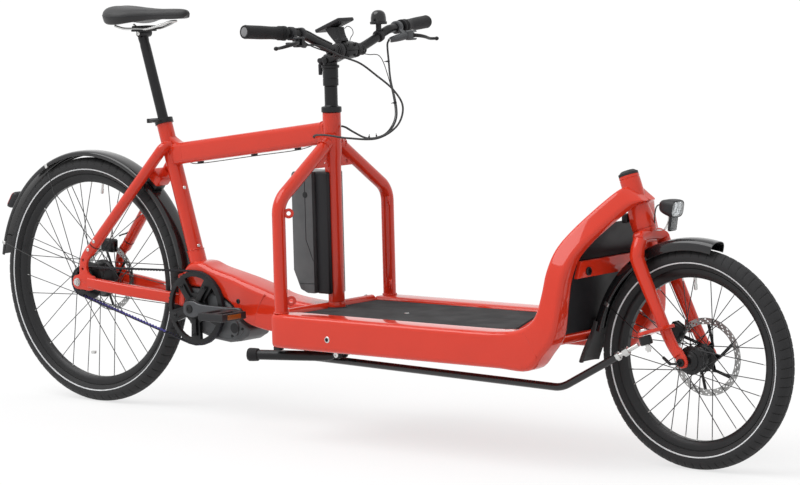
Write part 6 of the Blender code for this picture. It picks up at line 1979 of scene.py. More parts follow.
@dataclass
class Arch:
    """Head tube, column tube, their gusset, and the hoop over the platform's rear."""

    head_r: float = 0.023
    tube_r: float = 0.0205
    foot_z: float = 0.322
    leg_y: float = 0.209
    leg_r: float = 0.0165
    knee_z: float = 0.588
    top_z: float = 0.733
    bend_r: float = 0.060
    rail_top: float = 0.315

    def build(self) -> None:
        """Build the column, then both legs."""
        self.column()
        self.gusset()
        for side in Side:
            self.leg(side)
        self.welds()

    def route(self, side: Side) -> tuple[Vector, Vector]:
        """The slanted part's start inside the column, and its knee."""
        top = Vector((COLUMN_X, 0, self.top_z))
        knee = Vector((COLUMN_X, side.value * self.leg_y, self.knee_z))
        return top.lerp(knee, 0.09), knee

    def column(self) -> None:
        """Head tube and column tube with the lugs of the top tube and the hoop."""
        profile = [(0, HEAD_TOP), (self.head_r - 0.0008, HEAD_TOP), (self.head_r, HEAD_TOP - 0.0008)]
        profile += [(self.head_r, 0.690), (self.tube_r, 0.672), (self.tube_r, self.foot_z), (0, self.foot_z)]
        body = lathe("column_shell", profile, (COLUMN_X, 0, 0), (0, 0, 1), 56)
        lug = RearFrame().top_part("head_lug", COLUMN_X - 0.0517, COLUMN_X - 0.012)
        stubs = []
        for side in Side:
            inner, knee = self.route(side)
            stubs.append(pin("hoop_stub", inner, inner.lerp(knee, 0.42), self.leg_r, 32))
        unite(body, lug, *stubs)
        carve(body, pin("column_bore", (COLUMN_X, 0, 0.2), (COLUMN_X, 0, 0.9), 0.0148, 40))
        settle(body, PAINT, "frame", "column_tube")

    def gusset(self) -> None:
        """The plate in the hoop's corners, with a small triangle and a square cut in it."""
        slope = (self.top_z - self.knee_z) / self.leg_y
        half = [(0.080, 0.660), (0.080, self.top_z - slope * 0.080), (0.030, self.top_z - slope * 0.030)]
        outline = half + [(-y, z) for y, z in reversed(half)]
        windows = [[(-0.0245, 0.670), (-0.0245, 0.686), (-0.038, 0.670)]]
        windows.append([(0.044, 0.667), (0.052, 0.667), (0.052, 0.675), (0.044, 0.675)])
        body = plate("hoop_gusset", [outline, *windows], 0.008, front_plane(COLUMN_X, 0, 0), 0.0007)
        settle(body, PAINT, "frame")

    def leg(self, side: Side) -> None:
        """One leg of the hoop, with its bend and its two cargo eyelets."""
        inner, knee = self.route(side)
        foot = Vector((COLUMN_X, side.value * self.leg_y, self.rail_top + 0.0003))
        start = inner.lerp(knee, 0.42) + (knee - inner).normalized() * 0.0003
        row = [start, *bend(start, knee, foot, self.bend_r, 16), foot]
        body = tube(f"{side.word}_hoop_leg", row, self.leg_r, sides=32)
        for z in (0.560, 0.345):
            spot = Vector((COLUMN_X + 0.0175, side.value * (self.leg_y - 0.0175), z))
            profile = [(0.0052, -0.0024), (0.0066, -0.0030), (0.0112, -0.0030), (0.0124, -0.0020)]
            profile += flipped(profile)
            gather(body, lathe("eyelet", profile, spot, (1, side.value, 0), 32, closed=True))
        settle(body, PAINT, "frame", f"{side.word}_arch_tube")

    def welds(self) -> None:
        """Beads at the hoop's feet, at the column and along the top tube's lug."""
        beads = []
        for side in Side:
            foot = (COLUMN_X, side.value * self.leg_y, self.rail_top + 0.0016)
            beads.append(weld("hoop_welds", ring_about(foot, (0, 0, 1), self.leg_r + 0.0004, 24), 0.0021))
            inner, knee = self.route(side)
            root = inner.lerp(knee, 0.055) + Vector((0, side.value * 0.004, 0))
            beads.append(weld("hoop_root", ring_about(root, knee - inner, self.leg_r, 24), 0.0016))
        frame_tubes = RearFrame()
        meet = frame_tubes.along_top(COLUMN_X - self.head_r * 0.97)
        along = (frame_tubes.along_top(COLUMN_X) - frame_tubes.along_top(CRANK.x)).normalized()
        up = along.cross(Vector((0, 1, 0))) * (frame_tubes.height / 2 + 0.0002)
        across = Vector((0, frame_tubes.width / 2 - 0.001, 0))
        beads.append(weld("lug_weld", rounded_ring(meet, across, up, 0.012, 5), 0.0019))
        settle(gather(*beads), PAINT, "frame", angle=60)


@dataclass
class Deck:
    """Side rails, floor, mat and what hangs under the platform."""

    half: float = 0.233
    rail_width: float = 0.070
    bottom: float = 0.231
    top: float = 0.315
    floor_top: float = 0.303
    floor_thick: float = 0.0115

    def build(self) -> None:
        """Build both rails, then what lies between them."""
        for side in Side:
            self.rail(side)
        self.floor()
        self.mat_bolt()
        self.ears()

    def rail(self, side: Side) -> None:
        """One rail, which sweeps up and in to the front head tube."""
        outer, inner = self.half, self.half - self.rail_width
        rear, nose, top = COLUMN_X - 0.014, WHEELBASE, NOSE_TOP
        stations = (
            (rear, self.top - 0.007, rear, self.bottom + 0.007, outer - 0.022, inner),
            (rear + 0.005, self.top - 0.002, rear + 0.005, self.bottom + 0.002, outer - 0.009, inner),
            (rear + 0.018, self.top, rear + 0.018, self.bottom, outer, inner),
            (rear + 0.200, self.top, rear + 0.200, self.bottom, outer, inner),
            (nose - 0.480, self.top, nose - 0.480, self.bottom, outer, inner),
            (nose - 0.395, self.top + 0.002, nose - 0.395, self.bottom, outer, inner),
            (nose - 0.345, self.top + 0.008, nose - 0.313, self.bottom, outer, inner),
            (nose - 0.308, 0.339, nose - 0.271, 0.268, outer, inner + 0.003),
            (nose - 0.287, 0.364, nose - 0.237, 0.312, outer - 0.003, inner + 0.008),
            (nose - 0.277, top - 0.255, nose - 0.225, 0.382, outer - 0.012, inner + 0.008),
            (nose - 0.272, top - 0.205, nose - 0.221, top - 0.225, 0.208, 0.162),
            (nose - 0.261, top - 0.157, nose - 0.213, top - 0.180, 0.186, 0.143),
            (nose - 0.238, top - 0.114, nose - 0.196, top - 0.142, 0.152, 0.110),
            (nose - 0.206, top - 0.065, nose - 0.168, top - 0.098, 0.098, 0.057),
            (nose - 0.180, top - 0.031, nose - 0.142, top - 0.064, 0.056, 0.014),
            (nose - 0.168, top - 0.022, nose - 0.122, top - 0.054, 0.026, 0.0003),
        )
        rings = []
        for x_top, z_top, x_low, z_low, y_out, y_in in blended(stations, 5):
            middle = ((x_top + x_low) / 2, side.value * (y_out + y_in) / 2, (z_top + z_low) / 2)
            height = Vector((x_top - x_low, 0, z_top - z_low)) / 2
            corner = min(0.013, (y_out - y_in) * 0.3)
            rings.append(rounded_ring(middle, (0, (y_out - y_in) / 2, 0), height, corner, 8))
        body = loft(f"{side.word}_rail_shell", rings)
        front = FrontEnd()
        profile = [(0, 0.010), (front.head_r + 0.0003, 0.010), *front.profile(0.0003)]
        profile.append((0, -front.head_length - 0.0003))
        carve(body, lathe("head_clearance", profile, front.axis(0), front.up, 48))
        settle(body, PAINT, "frame", f"{side.word}_side_rail", angle=40)
        y = side.value * (self.half - 0.0004)
        spot = Vector((COLUMN_X + 0.166, y, 0.2635))
        out = Vector((0, side.value, 0))
        rim = [(0.0050, -0.0004), (0.0078, -0.0004), (0.0078, 0.0006), (0.0066, 0.0018), (0.0050, 0.0018)]
        settle(lathe(f"{side.word}_bolt_rim", rim, spot, out, 28, closed=True), STEEL, "frame")
        settle(bolt_head(f"{side.word}_rail_bolt", spot, out, 0.0049, 0.0026), SATIN_BLACK, "frame")
        row = [
            Vector((nose - 0.318, y, 0.322)),
            Vector((nose - 0.300, y, 0.300)),
            Vector((nose - 0.280, y, 0.262)),
        ]
        bead = tube(f"{side.word}_rail_weld", smooth_path(row, 0.003), 0.0013, sides=8)
        settle(bead, PAINT, "frame", angle=60)

    def floor(self) -> None:
        """Floor sheet, rear member and cross tubes, the cup under the column and the front web."""
        inner = self.half - self.rail_width - 0.0003
        top, under = self.floor_top, self.floor_top - self.floor_thick
        outline = [(COLUMN_X - 0.007, under), (WHEELBASE - 0.400, under), (WHEELBASE - 0.321, under + 0.0465)]
        outline += [(WHEELBASE - 0.327, top + 0.0455), (WHEELBASE - 0.405, top), (COLUMN_X - 0.007, top)]
        body = plate("floor_sheet", [outline], 2 * inner, side_plane(0, 0, 0))
        half = Vector((0, inner, 0))
        rear = Vector((COLUMN_X - 0.0215, 0, 0.3045))
        front = Vector((WHEELBASE - 0.299, 0, 0.288))
        parts = [
            block("rear_member", (COLUMN_X - 0.0045, 0, 0.267), (0.065, 2 * inner, 0.062), 0.010, segments=5)
        ]
        parts.append(pin("rear_cross_tube", rear - half, rear + half, 0.0145, 32))
        parts.append(
            block("front_web", (WHEELBASE - 0.353, 0, 0.2925), (0.106, 2 * inner - 0.004, 0.009), 0.002)
        )
        parts.append(pin("front_cross_bar", front - half, front + half, 0.0098, 28))
        cup = [(0, 0.29), (0.0225, 0.29), (0.0225, 0.3150), (0.0215, 0.3212), (0, 0.3214)]
        parts.append(lathe("lower_cup", cup, (COLUMN_X, 0, 0), (0, 0, 1), 40))
        unite(body, *parts)
        carve(body, pin("shaft_hole", (COLUMN_X, 0, 0.2), (COLUMN_X, 0, 0.34), 0.0148, 32))
        settle(body, PAINT, "frame", "deck_frame", angle=40)
        plugs = []
        for side in Side:
            spot = rear + Vector((-0.0098, side.value * (inner - 0.013), 0.0104))
            plugs.append(bolt_head("tube_plug", spot, (-0.7, side.value * 0.15, 0.7), 0.0062, 0.0022))
        settle(gather(*plugs), STEEL, "frame")

    def mat_bolt(self) -> None:
        """The mat stays as it is packed; a small bolt and a raised rim go on it."""
        repaint(MAT_GRIT, "deck_mat")
        top = self.floor_top + 0.0038
        spot = Vector((COLUMN_X + 0.238, -0.015, top - 0.0002))
        settle(bolt_head("mat_bolt", spot, (0, 0, 1), 0.0062, 0.0016), STEEL, "frame")
        ring = weld("mat_collar", ring_about((COLUMN_X, 0, top + 0.0006), (0, 0, 1), 0.0262, 36), 0.0016)
        settle(ring, SHEET_BLACK, "frame", angle=60)

    def ears(self) -> None:
        """The two pairs of ears that the kickstand turns in."""
        ears = []
        for side in Side:
            for y in (0.1335, 0.1585):
                half = [(-0.020, 0.076), (-0.013, 0.0), (-0.0105, -0.0075), (-0.006, -0.0100)]
                outline = half + [(-x, z) for x, z in reversed(half)]
                plane = side_plane(STAND_X, side.value * y, STAND_Z)
                ears.append(plate("stand_ears", [outline, circle(0.0065, 20)], 0.006, plane, 0.0008))
        for side in Side:
            spot = (COLUMN_X - 0.016, side.value * 0.205, self.bottom - 0.0040)
            ears.append(block("stand_stop", spot, (0.020, 0.018, 0.0090), 0.002))
        settle(gather(*ears), SATIN_BLACK, "frame")


# Front end


@dataclass
class FrontEnd:
    """Front head tube, the brace and the sheet between the rails."""

    angle: float = math.radians(71.0)
    head_length: float = 0.128
    head_r: float = 0.0240
    low_r: float = 0.0285

    @property
    def up(self) -> Vector:
        """The steering axis."""
        return Vector((-math.cos(self.angle), 0, math.sin(self.angle)))

    @property
    def ahead(self) -> Vector:
        """Forward, square to the steering axis."""
        return Vector((math.sin(self.angle), 0, math.cos(self.angle)))

    @property
    def top(self) -> Vector:
        """The middle of the head tube's top."""
        return Vector((WHEELBASE - 0.179, 0, NOSE_TOP))

    def axis(self, down: float) -> Vector:
        """Point of the steering axis at a distance down from the head tube's top."""
        return self.top - self.up * down

    def profile(self, grow: float = 0.0) -> list[Flat]:
        """The head tube's outer shape, as (radius, height)."""
        return [
            (self.head_r + grow, 0),
            (self.head_r + grow, -0.060),
            (self.low_r + grow, -0.098),
            (self.low_r + grow, -self.head_length - grow),
        ]

    def build(self) -> None:
        """Build the head tube and what is fixed round it."""
        self.head_tube()
        self.brace()
        self.tab()
        repaint(SHEET_BLACK, "front_panel")

    def head_tube(self) -> None:
        """The flared tube, with thin collars at both ends."""
        bore, low = 0.0148, self.head_length
        profile = [(bore, 0), (self.head_r - 0.0008, 0), (self.head_r, -0.0008), (self.head_r, -0.006)]
        profile += [(self.head_r - 0.0008, -0.0068), (self.head_r - 0.0008, -0.0078), (self.head_r, -0.0086)]
        profile += [(self.head_r, -0.055), (self.head_r + 0.0006, -0.064), (self.low_r - 0.0008, -0.094)]
        profile += [
            (self.low_r, -0.102), (self.low_r, -low + 0.0016), (self.low_r - 0.0010, -low), (bore, -low)
        ]
        body = lathe("nose_head_tube", profile, self.axis(0), self.up, 64, closed=True)
        settle(body, PAINT, "frame", "front_head_tube", angle=40)
        seals = []
        for down, r in ((0.0005, self.head_r - 0.0012), (low + 0.0001, self.low_r - 0.0016)):
            seal = [(0.0150, -0.0003), (r, -0.0003), (r, 0.0003), (0.0150, 0.0003)]
            seals.append(lathe("bearing_seals", seal, self.axis(down), self.up, 56, closed=True))
        settle(gather(*seals), SHEET_BLACK, "frame")

    def brace(self) -> None:
        """The plate across the rails, with a round bolt at its right and a slot at its left."""
        low, high = self.top.z - 0.224, self.top.z - 0.185
        outline = [(-0.159, low), (0.159, low), (0.1445, high), (-0.1445, high)]
        slot = arc(0.0065, -math.pi / 2, math.pi / 2, 8, (0.121, low + 0.019))
        slot += arc(0.0065, math.pi / 2, 3 * math.pi / 2, 8, (0.109, low + 0.019))
        body = plate("nose_brace", [outline, slot], 0.012, front_plane(WHEELBASE - 0.2195, 0, 0), 0.0022)
        settle(body, PAINT, "frame", "front_brace")
        spot = Vector((WHEELBASE - 0.2137, -0.118, low + 0.014))
        bolt = bolt_head("brace_bolt", spot, (1, 0, 0), 0.0100, 0.0050)
        settle(bolt, SATIN_BLACK, "frame")

    def tab(self) -> None:
        """The black cover that the wires leave, under the head tube."""
        foot = self.axis(self.head_length * 0.62) + self.ahead * -0.020
        body = block("wire_cover", foot - Vector((0.010, 0, 0.016)), (0.016, 0.036, 0.022), 0.004)
        settle(body, SHEET_BLACK, "frame")


# Drive and battery


@dataclass
class Drive:
    """Motor, belt, pulleys, cranks and pedals."""

    belt_y: float = -0.050
    belt_width: float = 0.011
    arm_length: float = 0.170
    arm_inner: float = 0.064
    arm_thick: float = 0.013
    belt_slope: float = 0.1135

    def build(self) -> None:
        """Build the motor first and the pedals last."""
        self.motor()
        self.belt()
        self.pulleys()
        self.cranks()
        for side in Side:
            self.pedal(side)

    def drawn_in(self, x: float) -> float:
        """Draw the front of the motor in under the beam."""
        return x if x < 0.10 else 0.10 + (x - 0.10) * 0.64

    def motor(self) -> None:
        """The cast unit under the beam, with its cover, its ribs and its screws."""
        obj = refined("motor", "motor_case", 0.0022, 3)
        for vert in obj.data.vertices:
            vert.co.x = CRANK.x + self.drawn_in(vert.co.x - CRANK.x)
        settle(obj, MOTOR_CAST, "frame", "motor", angle=40)
        seams = []
        screws = []
        for side in Side:
            face = side.value * 0.0430
            row = [(0.190, -0.052), (0.160, -0.070), (0.110, -0.075), (0.060, -0.070), (0.012, -0.056)]
            row += [(-0.030, -0.032), (-0.038, 0.010)]
            path = [Vector((CRANK.x + self.drawn_in(x), face, CRANK.z + z)) for x, z in row]
            seams.append(tube("motor_seams", smooth_path(path, 0.006), 0.0012, sides=8))
            for x, z in ((0.184, -0.046), (0.128, -0.066), (0.066, -0.062), (0.030, 0.036), (0.092, 0.008)):
                spot = Vector((CRANK.x + self.drawn_in(x), face, CRANK.z + z))
                screws.append(bolt_head("motor_screws", spot, (0, side.value, 0), 0.0040, 0.0020))
        settle(gather(*seams), MOTOR_CAST, "frame")
        settle(gather(*screws), SATIN_BLACK, "frame")
        spot = Vector((CRANK.x + self.drawn_in(0.146), -0.0470, CRANK.z - 0.045))
        disc = [(0, 0.0006), (0.010, 0.0006), (0.0135, 0.0002), (0.0135, -0.001), (0, -0.001)]
        settle(lathe("motor_cap", disc, spot, (0, -1, 0), 36), SHEET_BLACK, "frame")

    def belt(self) -> None:
        """The toothed belt, with the teeth of its lower run in a colour of their own."""
        obj = refined("belt", "drive_belt", 0.0002, 1)
        settle(obj, BELT_BACK, "frame", "belt", angle=30)
        obj.data.materials.append(BELT_TOOTH.material())
        low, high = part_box("belt")
        middle = (low + high) / 2
        for face in obj.data.polygons:
            inward = (middle - face.center).dot(face.normal) > 0
            below = face.center.z <= REAR_R - self.belt_slope * (face.center.x - AXLE_X)
            face.material_index = int(abs(face.normal.y) < 0.5 and inward and below)

    def arm_way(self, k: int) -> Vector:
        """The way from the crank's middle along one of the spider's five arms."""
        angle = math.radians(54) + math.tau * k / 5
        return Vector((math.cos(angle), 0, math.sin(angle)))

    def pulleys(self) -> None:
        """The ring with its five windows, and the sprocket."""
        for node, name, body in (
            ("belt_ring", "drive_ring", "crank"),
            ("rear_sprocket", "drive_sprocket", "sprocket"),
        ):
            settle(refined(node, name, 0.0007, 2), SATIN_BLACK, body, node, angle=30)
        bolts = []
        for k in range(5):
            spot = CRANK + self.arm_way(k) * 0.068 + Vector((0, self.belt_y - 0.0122, 0))
            bolts.append(bolt_head("ring_bolts", spot, (0, -1, 0), 0.0045, 0.0022))
        settle(gather(*bolts), SATIN_BLACK, "crank")

    def arm(self, side: Side) -> Piece:
        """One crank arm, from the spindle to the pedal's thread."""
        reach = -side.value * self.arm_length
        y = side.value * (self.arm_inner + self.arm_thick / 2)
        stations = (
            (-0.125, 0.0130, 0.0055, 0),
            (-0.06, 0.0195, 0.0062, 0),
            (0.08, 0.0210, 0.0065, 0),
            (0.25, 0.0145, 0.0060, 0.001),
            (0.75, 0.0125, 0.0055, 0.003),
            (1.0, 0.0135, 0.0060, 0.004),
            (1.05, 0.0115, 0.0056, 0.004),
            (1.07, 0.0085, 0.0050, 0.004),
        )
        rings = []
        for share, half_z, half_y, shift in blended(stations, 4):
            middle = (CRANK.x + reach * share, y + side.value * shift, CRANK.z)
            rings.append(rounded_ring(middle, (0, half_y, 0), (0, 0, half_z), 0.0038, 7))
        return loft(f"{side.word}_crank_arm", rings)

    def cranks(self) -> None:
        """Both arms, the spindle and the spider."""
        arms = gather(self.arm(Side.RIGHT), self.arm(Side.LEFT))
        settle(arms, CRANK_ALLOY, "crank", "crankset", angle=40)
        outer = self.belt_y - self.belt_width / 2
        inner = self.arm_inner + 0.004
        shells = [pin("spider", (CRANK.x, -inner, CRANK.z), (CRANK.x, inner, CRANK.z), 0.011, 32)]
        hub = [(0, -outer), (0.029, -outer), (0.029, -outer + 0.006), (0.024, inner), (0, inner)]
        shells.append(lathe("spider_hub", hub, CRANK, (0, -1, 0), 48))
        for k in range(5):
            out = self.arm_way(k)
            rings = []
            for away, half, thick in (
                (0.018, 0.0095, 0.0038), (0.045, 0.0070, 0.0034), (0.070, 0.0078, 0.0030)
            ):
                middle = CRANK + Vector((0, outer - 0.0035, 0)) + out * away
                flat = out.cross(Vector((0, 1, 0))) * half
                rings.append(rounded_ring(middle, flat, (0, thick, 0), 0.0022, 5))
            shells.append(loft("spider_arm", rings))
        settle(gather(*shells), SATIN_BLACK, "crank", angle=40)
        caps = []
        for side in Side:
            face = CRANK + Vector((0, side.value * (self.arm_inner + self.arm_thick), 0))
            caps.append(bolt_head("crank_bolts", face, (0, side.value, 0), 0.0115, 0.0022))
        settle(gather(*caps), SATIN_BLACK, "crank")

    def pedal(self, side: Side) -> None:
        """A platform pedal: a cage with studs round its spindle, and a reflector at each end."""
        x = CRANK.x - side.value * self.arm_length
        inner = self.arm_inner + self.arm_thick + 0.0043
        y0, y1 = inner + 0.010, inner + 0.0980
        middle = Vector((x, side.value * (y0 + y1) / 2, CRANK.z))
        body = f"{side.word}_pedal"
        loops = [[(-0.042, -0.044), (0.042, -0.044), (0.042, 0.044), (-0.042, 0.044)]]
        for sx in (-1, 1):
            window = [(0.010, -0.030), (0.030, -0.030), (0.032, -0.028)]
            loops.append([(sx * u, v) for u, v in window + flipped(window)])
        cage = plate(f"{side.word}_pedal_cage", loops, 0.020, Matrix.Translation(middle), 0.0030)
        ribs = []
        for sx in (-1, 1):
            for v in (-0.015, 0.0, 0.015):
                ribs.append(
                    block("pedal_rib", middle + Vector((sx * 0.021, v, 0)), (0.022, 0.0030, 0.012), 0.0006)
                )
        settle(gather(cage, *ribs), PLASTIC, body, body, angle=30)
        studs = []
        for sx in (-1, 1):
            for v in (-0.037, -0.012, 0.012, 0.037):
                for up in (-1, 1):
                    foot = middle + Vector((sx * 0.0365, v, up * 0.0088))
                    studs.append(pin("pedal_studs", foot, foot + Vector((0, 0, up * 0.0012)), 0.0018, 10))
        ends = Vector((x, side.value * (inner + 0.002), CRANK.z)), middle
        studs.append(pin("pedal_spindle", *ends, 0.0072, 28))
        settle(gather(*studs), SATIN_BLACK, body)
        lenses = []
        for sx in (-1, 1):
            spot = middle + Vector((sx * 0.0411, 0, 0))
            lenses.append(block("pedal_reflectors", spot, (0.0030, 0.050, 0.0125), 0.0012))
        obj = gather(*lenses)
        obj.name = f"{side.word}_pedal_reflectors"
        settle(obj, AMBER_LENS, body)


@dataclass
class Battery:
    """The pack on the column's rear, with its crease, its foot and its channel."""

    half: float = 0.041

    def build(self) -> None:
        """Build the pack, its lines and its key cover."""
        rear, front = COLUMN_X - 0.104, COLUMN_X - 0.037
        outline = [
            (front, 0.648), (rear + 0.010, 0.648), *arc(0.010, math.pi / 2, math.pi, 6, (rear + 0.010, 0.638))
        ]
        outline += [(rear, 0.400), (rear + 0.022, 0.352), (rear + 0.045, 0.343), (front, 0.343)]
        body = plate("pack_case", [outline], 2 * self.half, side_plane(0, 0, 0))
        settle(soften(body, 0.009, 5, 45), PACK_GREY, "battery", "battery", angle=40)
        lines = []
        for side in Side:
            y = side.value * (self.half + 0.0001)
            for row in (
                [(front - 0.0236, 0.640), (front - 0.0236, 0.477), (front - 0.001, 0.424)],
                [(rear + 0.020, 0.3655), (front - 0.001, 0.3675)],
            ):
                points = [Vector((x, y, z)) for x, z in row]
                lines.append(tube("pack_lines", points, 0.0009, sides=8))
        settle(gather(*lines), SHEET_BLACK, "battery")
        spot = Vector((COLUMN_X - 0.060, -self.half - 0.0002, 0.590))
        profile = [
            (0, 0.0009), (0.0060, 0.0009), (0.0075, 0.0006), (0.0080, 0.0), (0.0080, -0.002), (0, -0.002)
        ]
        settle(lathe("pack_lock", profile, spot, (0, -1, 0), 32), SATIN_BLACK, "battery")
        settle(refined("battery_mount", "pack_channel", 0.0008, 2), SHEET_BLACK, "frame", "battery_mount")


# Saddle and seatpost


@dataclass
class Seat:
    """Saddle, rails, post and the collar that clamps it."""

    post_r: float = 0.0136
    rear_x: float = field(default_factory=lambda: CRANK.x - 0.314)
    width: float = 0.146

    @property
    def cradle_x(self) -> float:
        """Where the post's head holds the rails, along the bike."""
        return seat_line(0.972).x + 0.001

    def build(self) -> None:
        """Build the seat from the collar up."""
        self.collar()
        self.post()
        self.rails()
        self.cushion()

    def collar(self) -> None:
        """The clamp, its bolt and its quick-release lever."""
        settle(refined("seat_collar", "seat_clamp", 0.0007, 2), SATIN_BLACK, "frame", "seat_collar")
        settle(
            refined("seat_collar_lever", "clamp_lever", 0.0010, 2),
            SATIN_BLACK,
            "collar_lever",
            "seat_collar_lever",
        )
        middle = seat_line(0.7615) + Vector((-0.0345, 0, 0.002))
        nut = pin(
            "clamp_nut", middle + Vector((0, 0.0112, 0)), middle + Vector((0, 0.0165, 0)), 0.0062, 28, 0.0008
        )
        settle(nut, STEEL, "frame")

    def post(self) -> None:
        """The post, its head and the clamp on the rails."""
        low, high = seat_line(0.625), seat_line(0.966)
        tall = (high - low).length
        profile = [(0, 0), (self.post_r, 0), (self.post_r, tall - 0.006), (0.0128, tall)]
        profile += [(0.0140, tall + 0.014), (0.0132, tall + 0.024), (0, tall + 0.026)]
        settle(lathe("post_tube", profile, low, high - low, 48), SATIN_BLACK, "seat", "seatpost")
        x = self.cradle_x
        cradle = pin("post_cradle", (x, -0.0205, 0.9925), (x, 0.0205, 0.9925), 0.0102, 36, 0.0012)
        lower = block("cradle_jaw", (x, 0, 1.0000), (0.040, 0.058, 0.0060), 0.0022)
        upper = block("cradle_cap", (x, 0, 1.0095), (0.036, 0.056, 0.0052), 0.0020)
        settle(gather(cradle, lower, upper), SATIN_BLACK, "seat")
        bolts = []
        for side in Side:
            spot = Vector((x, side.value * 0.0200, 0.9925))
            bolts.append(bolt_head("cradle_bolts", spot, (0, side.value, 0), 0.0058, 0.0040))
        settle(gather(*bolts), STEEL, "seat")

    def rails(self) -> None:
        """The steel rod that is bent into both rails."""
        x = self.cradle_x
        half = [(x - 0.072, 0.036, 1.0130), (x - 0.060, 0.0310, 1.0085), (x - 0.044, 0.0245, 1.0047)]
        half += [(x, 0.0235, 1.0047), (x + 0.036, 0.0235, 1.0047), (x + 0.080, 0.0160, 1.0150)]
        half += [(x + 0.104, 0.0090, 1.0222), (x + 0.117, 0.0, 1.0235)]
        row = half + [(px, -py, pz) for px, py, pz in reversed(half[:-1])]
        rod = tube("rail_rod", smooth_path(row, 0.004), 0.0034, sides=16)
        settle(rod, STEEL, "seat", "saddle_rails")

    def cushion(self) -> None:
        """The cushion: a crowned cover drawn in over a hard base, with a sewn line round it."""
        stations = (
            (0.000, 0.22, 1.058, 1.040),
            (0.012, 0.72, 1.064, 1.027),
            (0.034, 0.95, 1.066, 1.0180),
            (0.064, 1.00, 1.064, 1.0165),
            (0.094, 0.90, 1.061, 1.0200),
            (0.124, 0.66, 1.059, 1.0245),
            (0.154, 0.45, 1.057, 1.0280),
            (0.189, 0.33, 1.056, 1.0290),
            (0.224, 0.29, 1.056, 1.0290),
            (0.250, 0.25, 1.055, 1.0300),
            (0.265, 0.17, 1.052, 1.0330),
            (0.2715, 0.06, 1.047, 1.0400),
        )
        half = ((0.0, 1.0), (0.36, 0.97), (0.68, 0.88), (0.90, 0.70), (1.0, 0.45), (0.97, 0.20))
        under = ((0.86, 0.0), (0.45, 0.06), (0.0, 0.10))
        section = blended((*half, *under), 4)
        ring = section + [[-across, up] for across, up in reversed(section[1:-1])]
        rings = []
        seam = []
        for x, wide, top, low in blended(stations, 6):
            tall = top - low
            wide = max(wide, 0.05) * self.width / 2
            dip = 0.0035 * math.exp(-(((x - 0.09) / 0.06) ** 2))
            row = []
            for across, up in ring:
                sunk = dip * math.exp(-((across / 0.16) ** 2)) if up > 0.5 else 0.0
                row.append((self.rear_x + x, wide * across, low + tall * up - sunk))
            rings.append(row)
            seam.append(Vector((self.rear_x + x, wide, low + tall * 0.42)))
        cover = loft("saddle_cover", rings)
        settle(cover, SADDLE_COVER, "seat", "saddle", angle=70)
        cords = []
        for side in Side:
            row = [Vector((p.x, side.value * p.y, p.z)) for p in seam[2:-2]]
            cords.append(tube("saddle_piping", row, 0.0009, sides=8))
        settle(gather(*cords), PLASTIC, "seat")


# Cockpit


def cockpit_clamp() -> Vector:
    """The middle of the clamp round the handlebar."""
    return Vector((COLUMN_X + 0.053, 0, 0.950))


def from_clamp(*offsets: Point) -> list[Vector]:
    """Points that are counted from the middle of the clamp round the handlebar."""
    return [cockpit_clamp() + Vector(offset) for offset in offsets]


def along_grip(side: Side, distance: float) -> Vector:
    """Point on the grip's middle line, at a distance out from where the grip starts."""
    clamp = cockpit_clamp()
    start = clamp + Vector((-0.005, 0.222, 0.050))
    end = clamp + Vector((-0.021, 0.344, 0.058))
    point = start + (end - start).normalized() * distance
    return Vector((point.x, side.value * point.y, point.z))


def lever_middle(side: Side) -> Vector:
    """Where the brake lever's clamp holds the bar."""
    return along_grip(side, -0.020)


def lever_end(side: Side) -> Vector:
    """Where the hose leaves the brake lever's body."""
    return lever_middle(side) + Vector((0.010, -side.value * 0.038, -0.030))


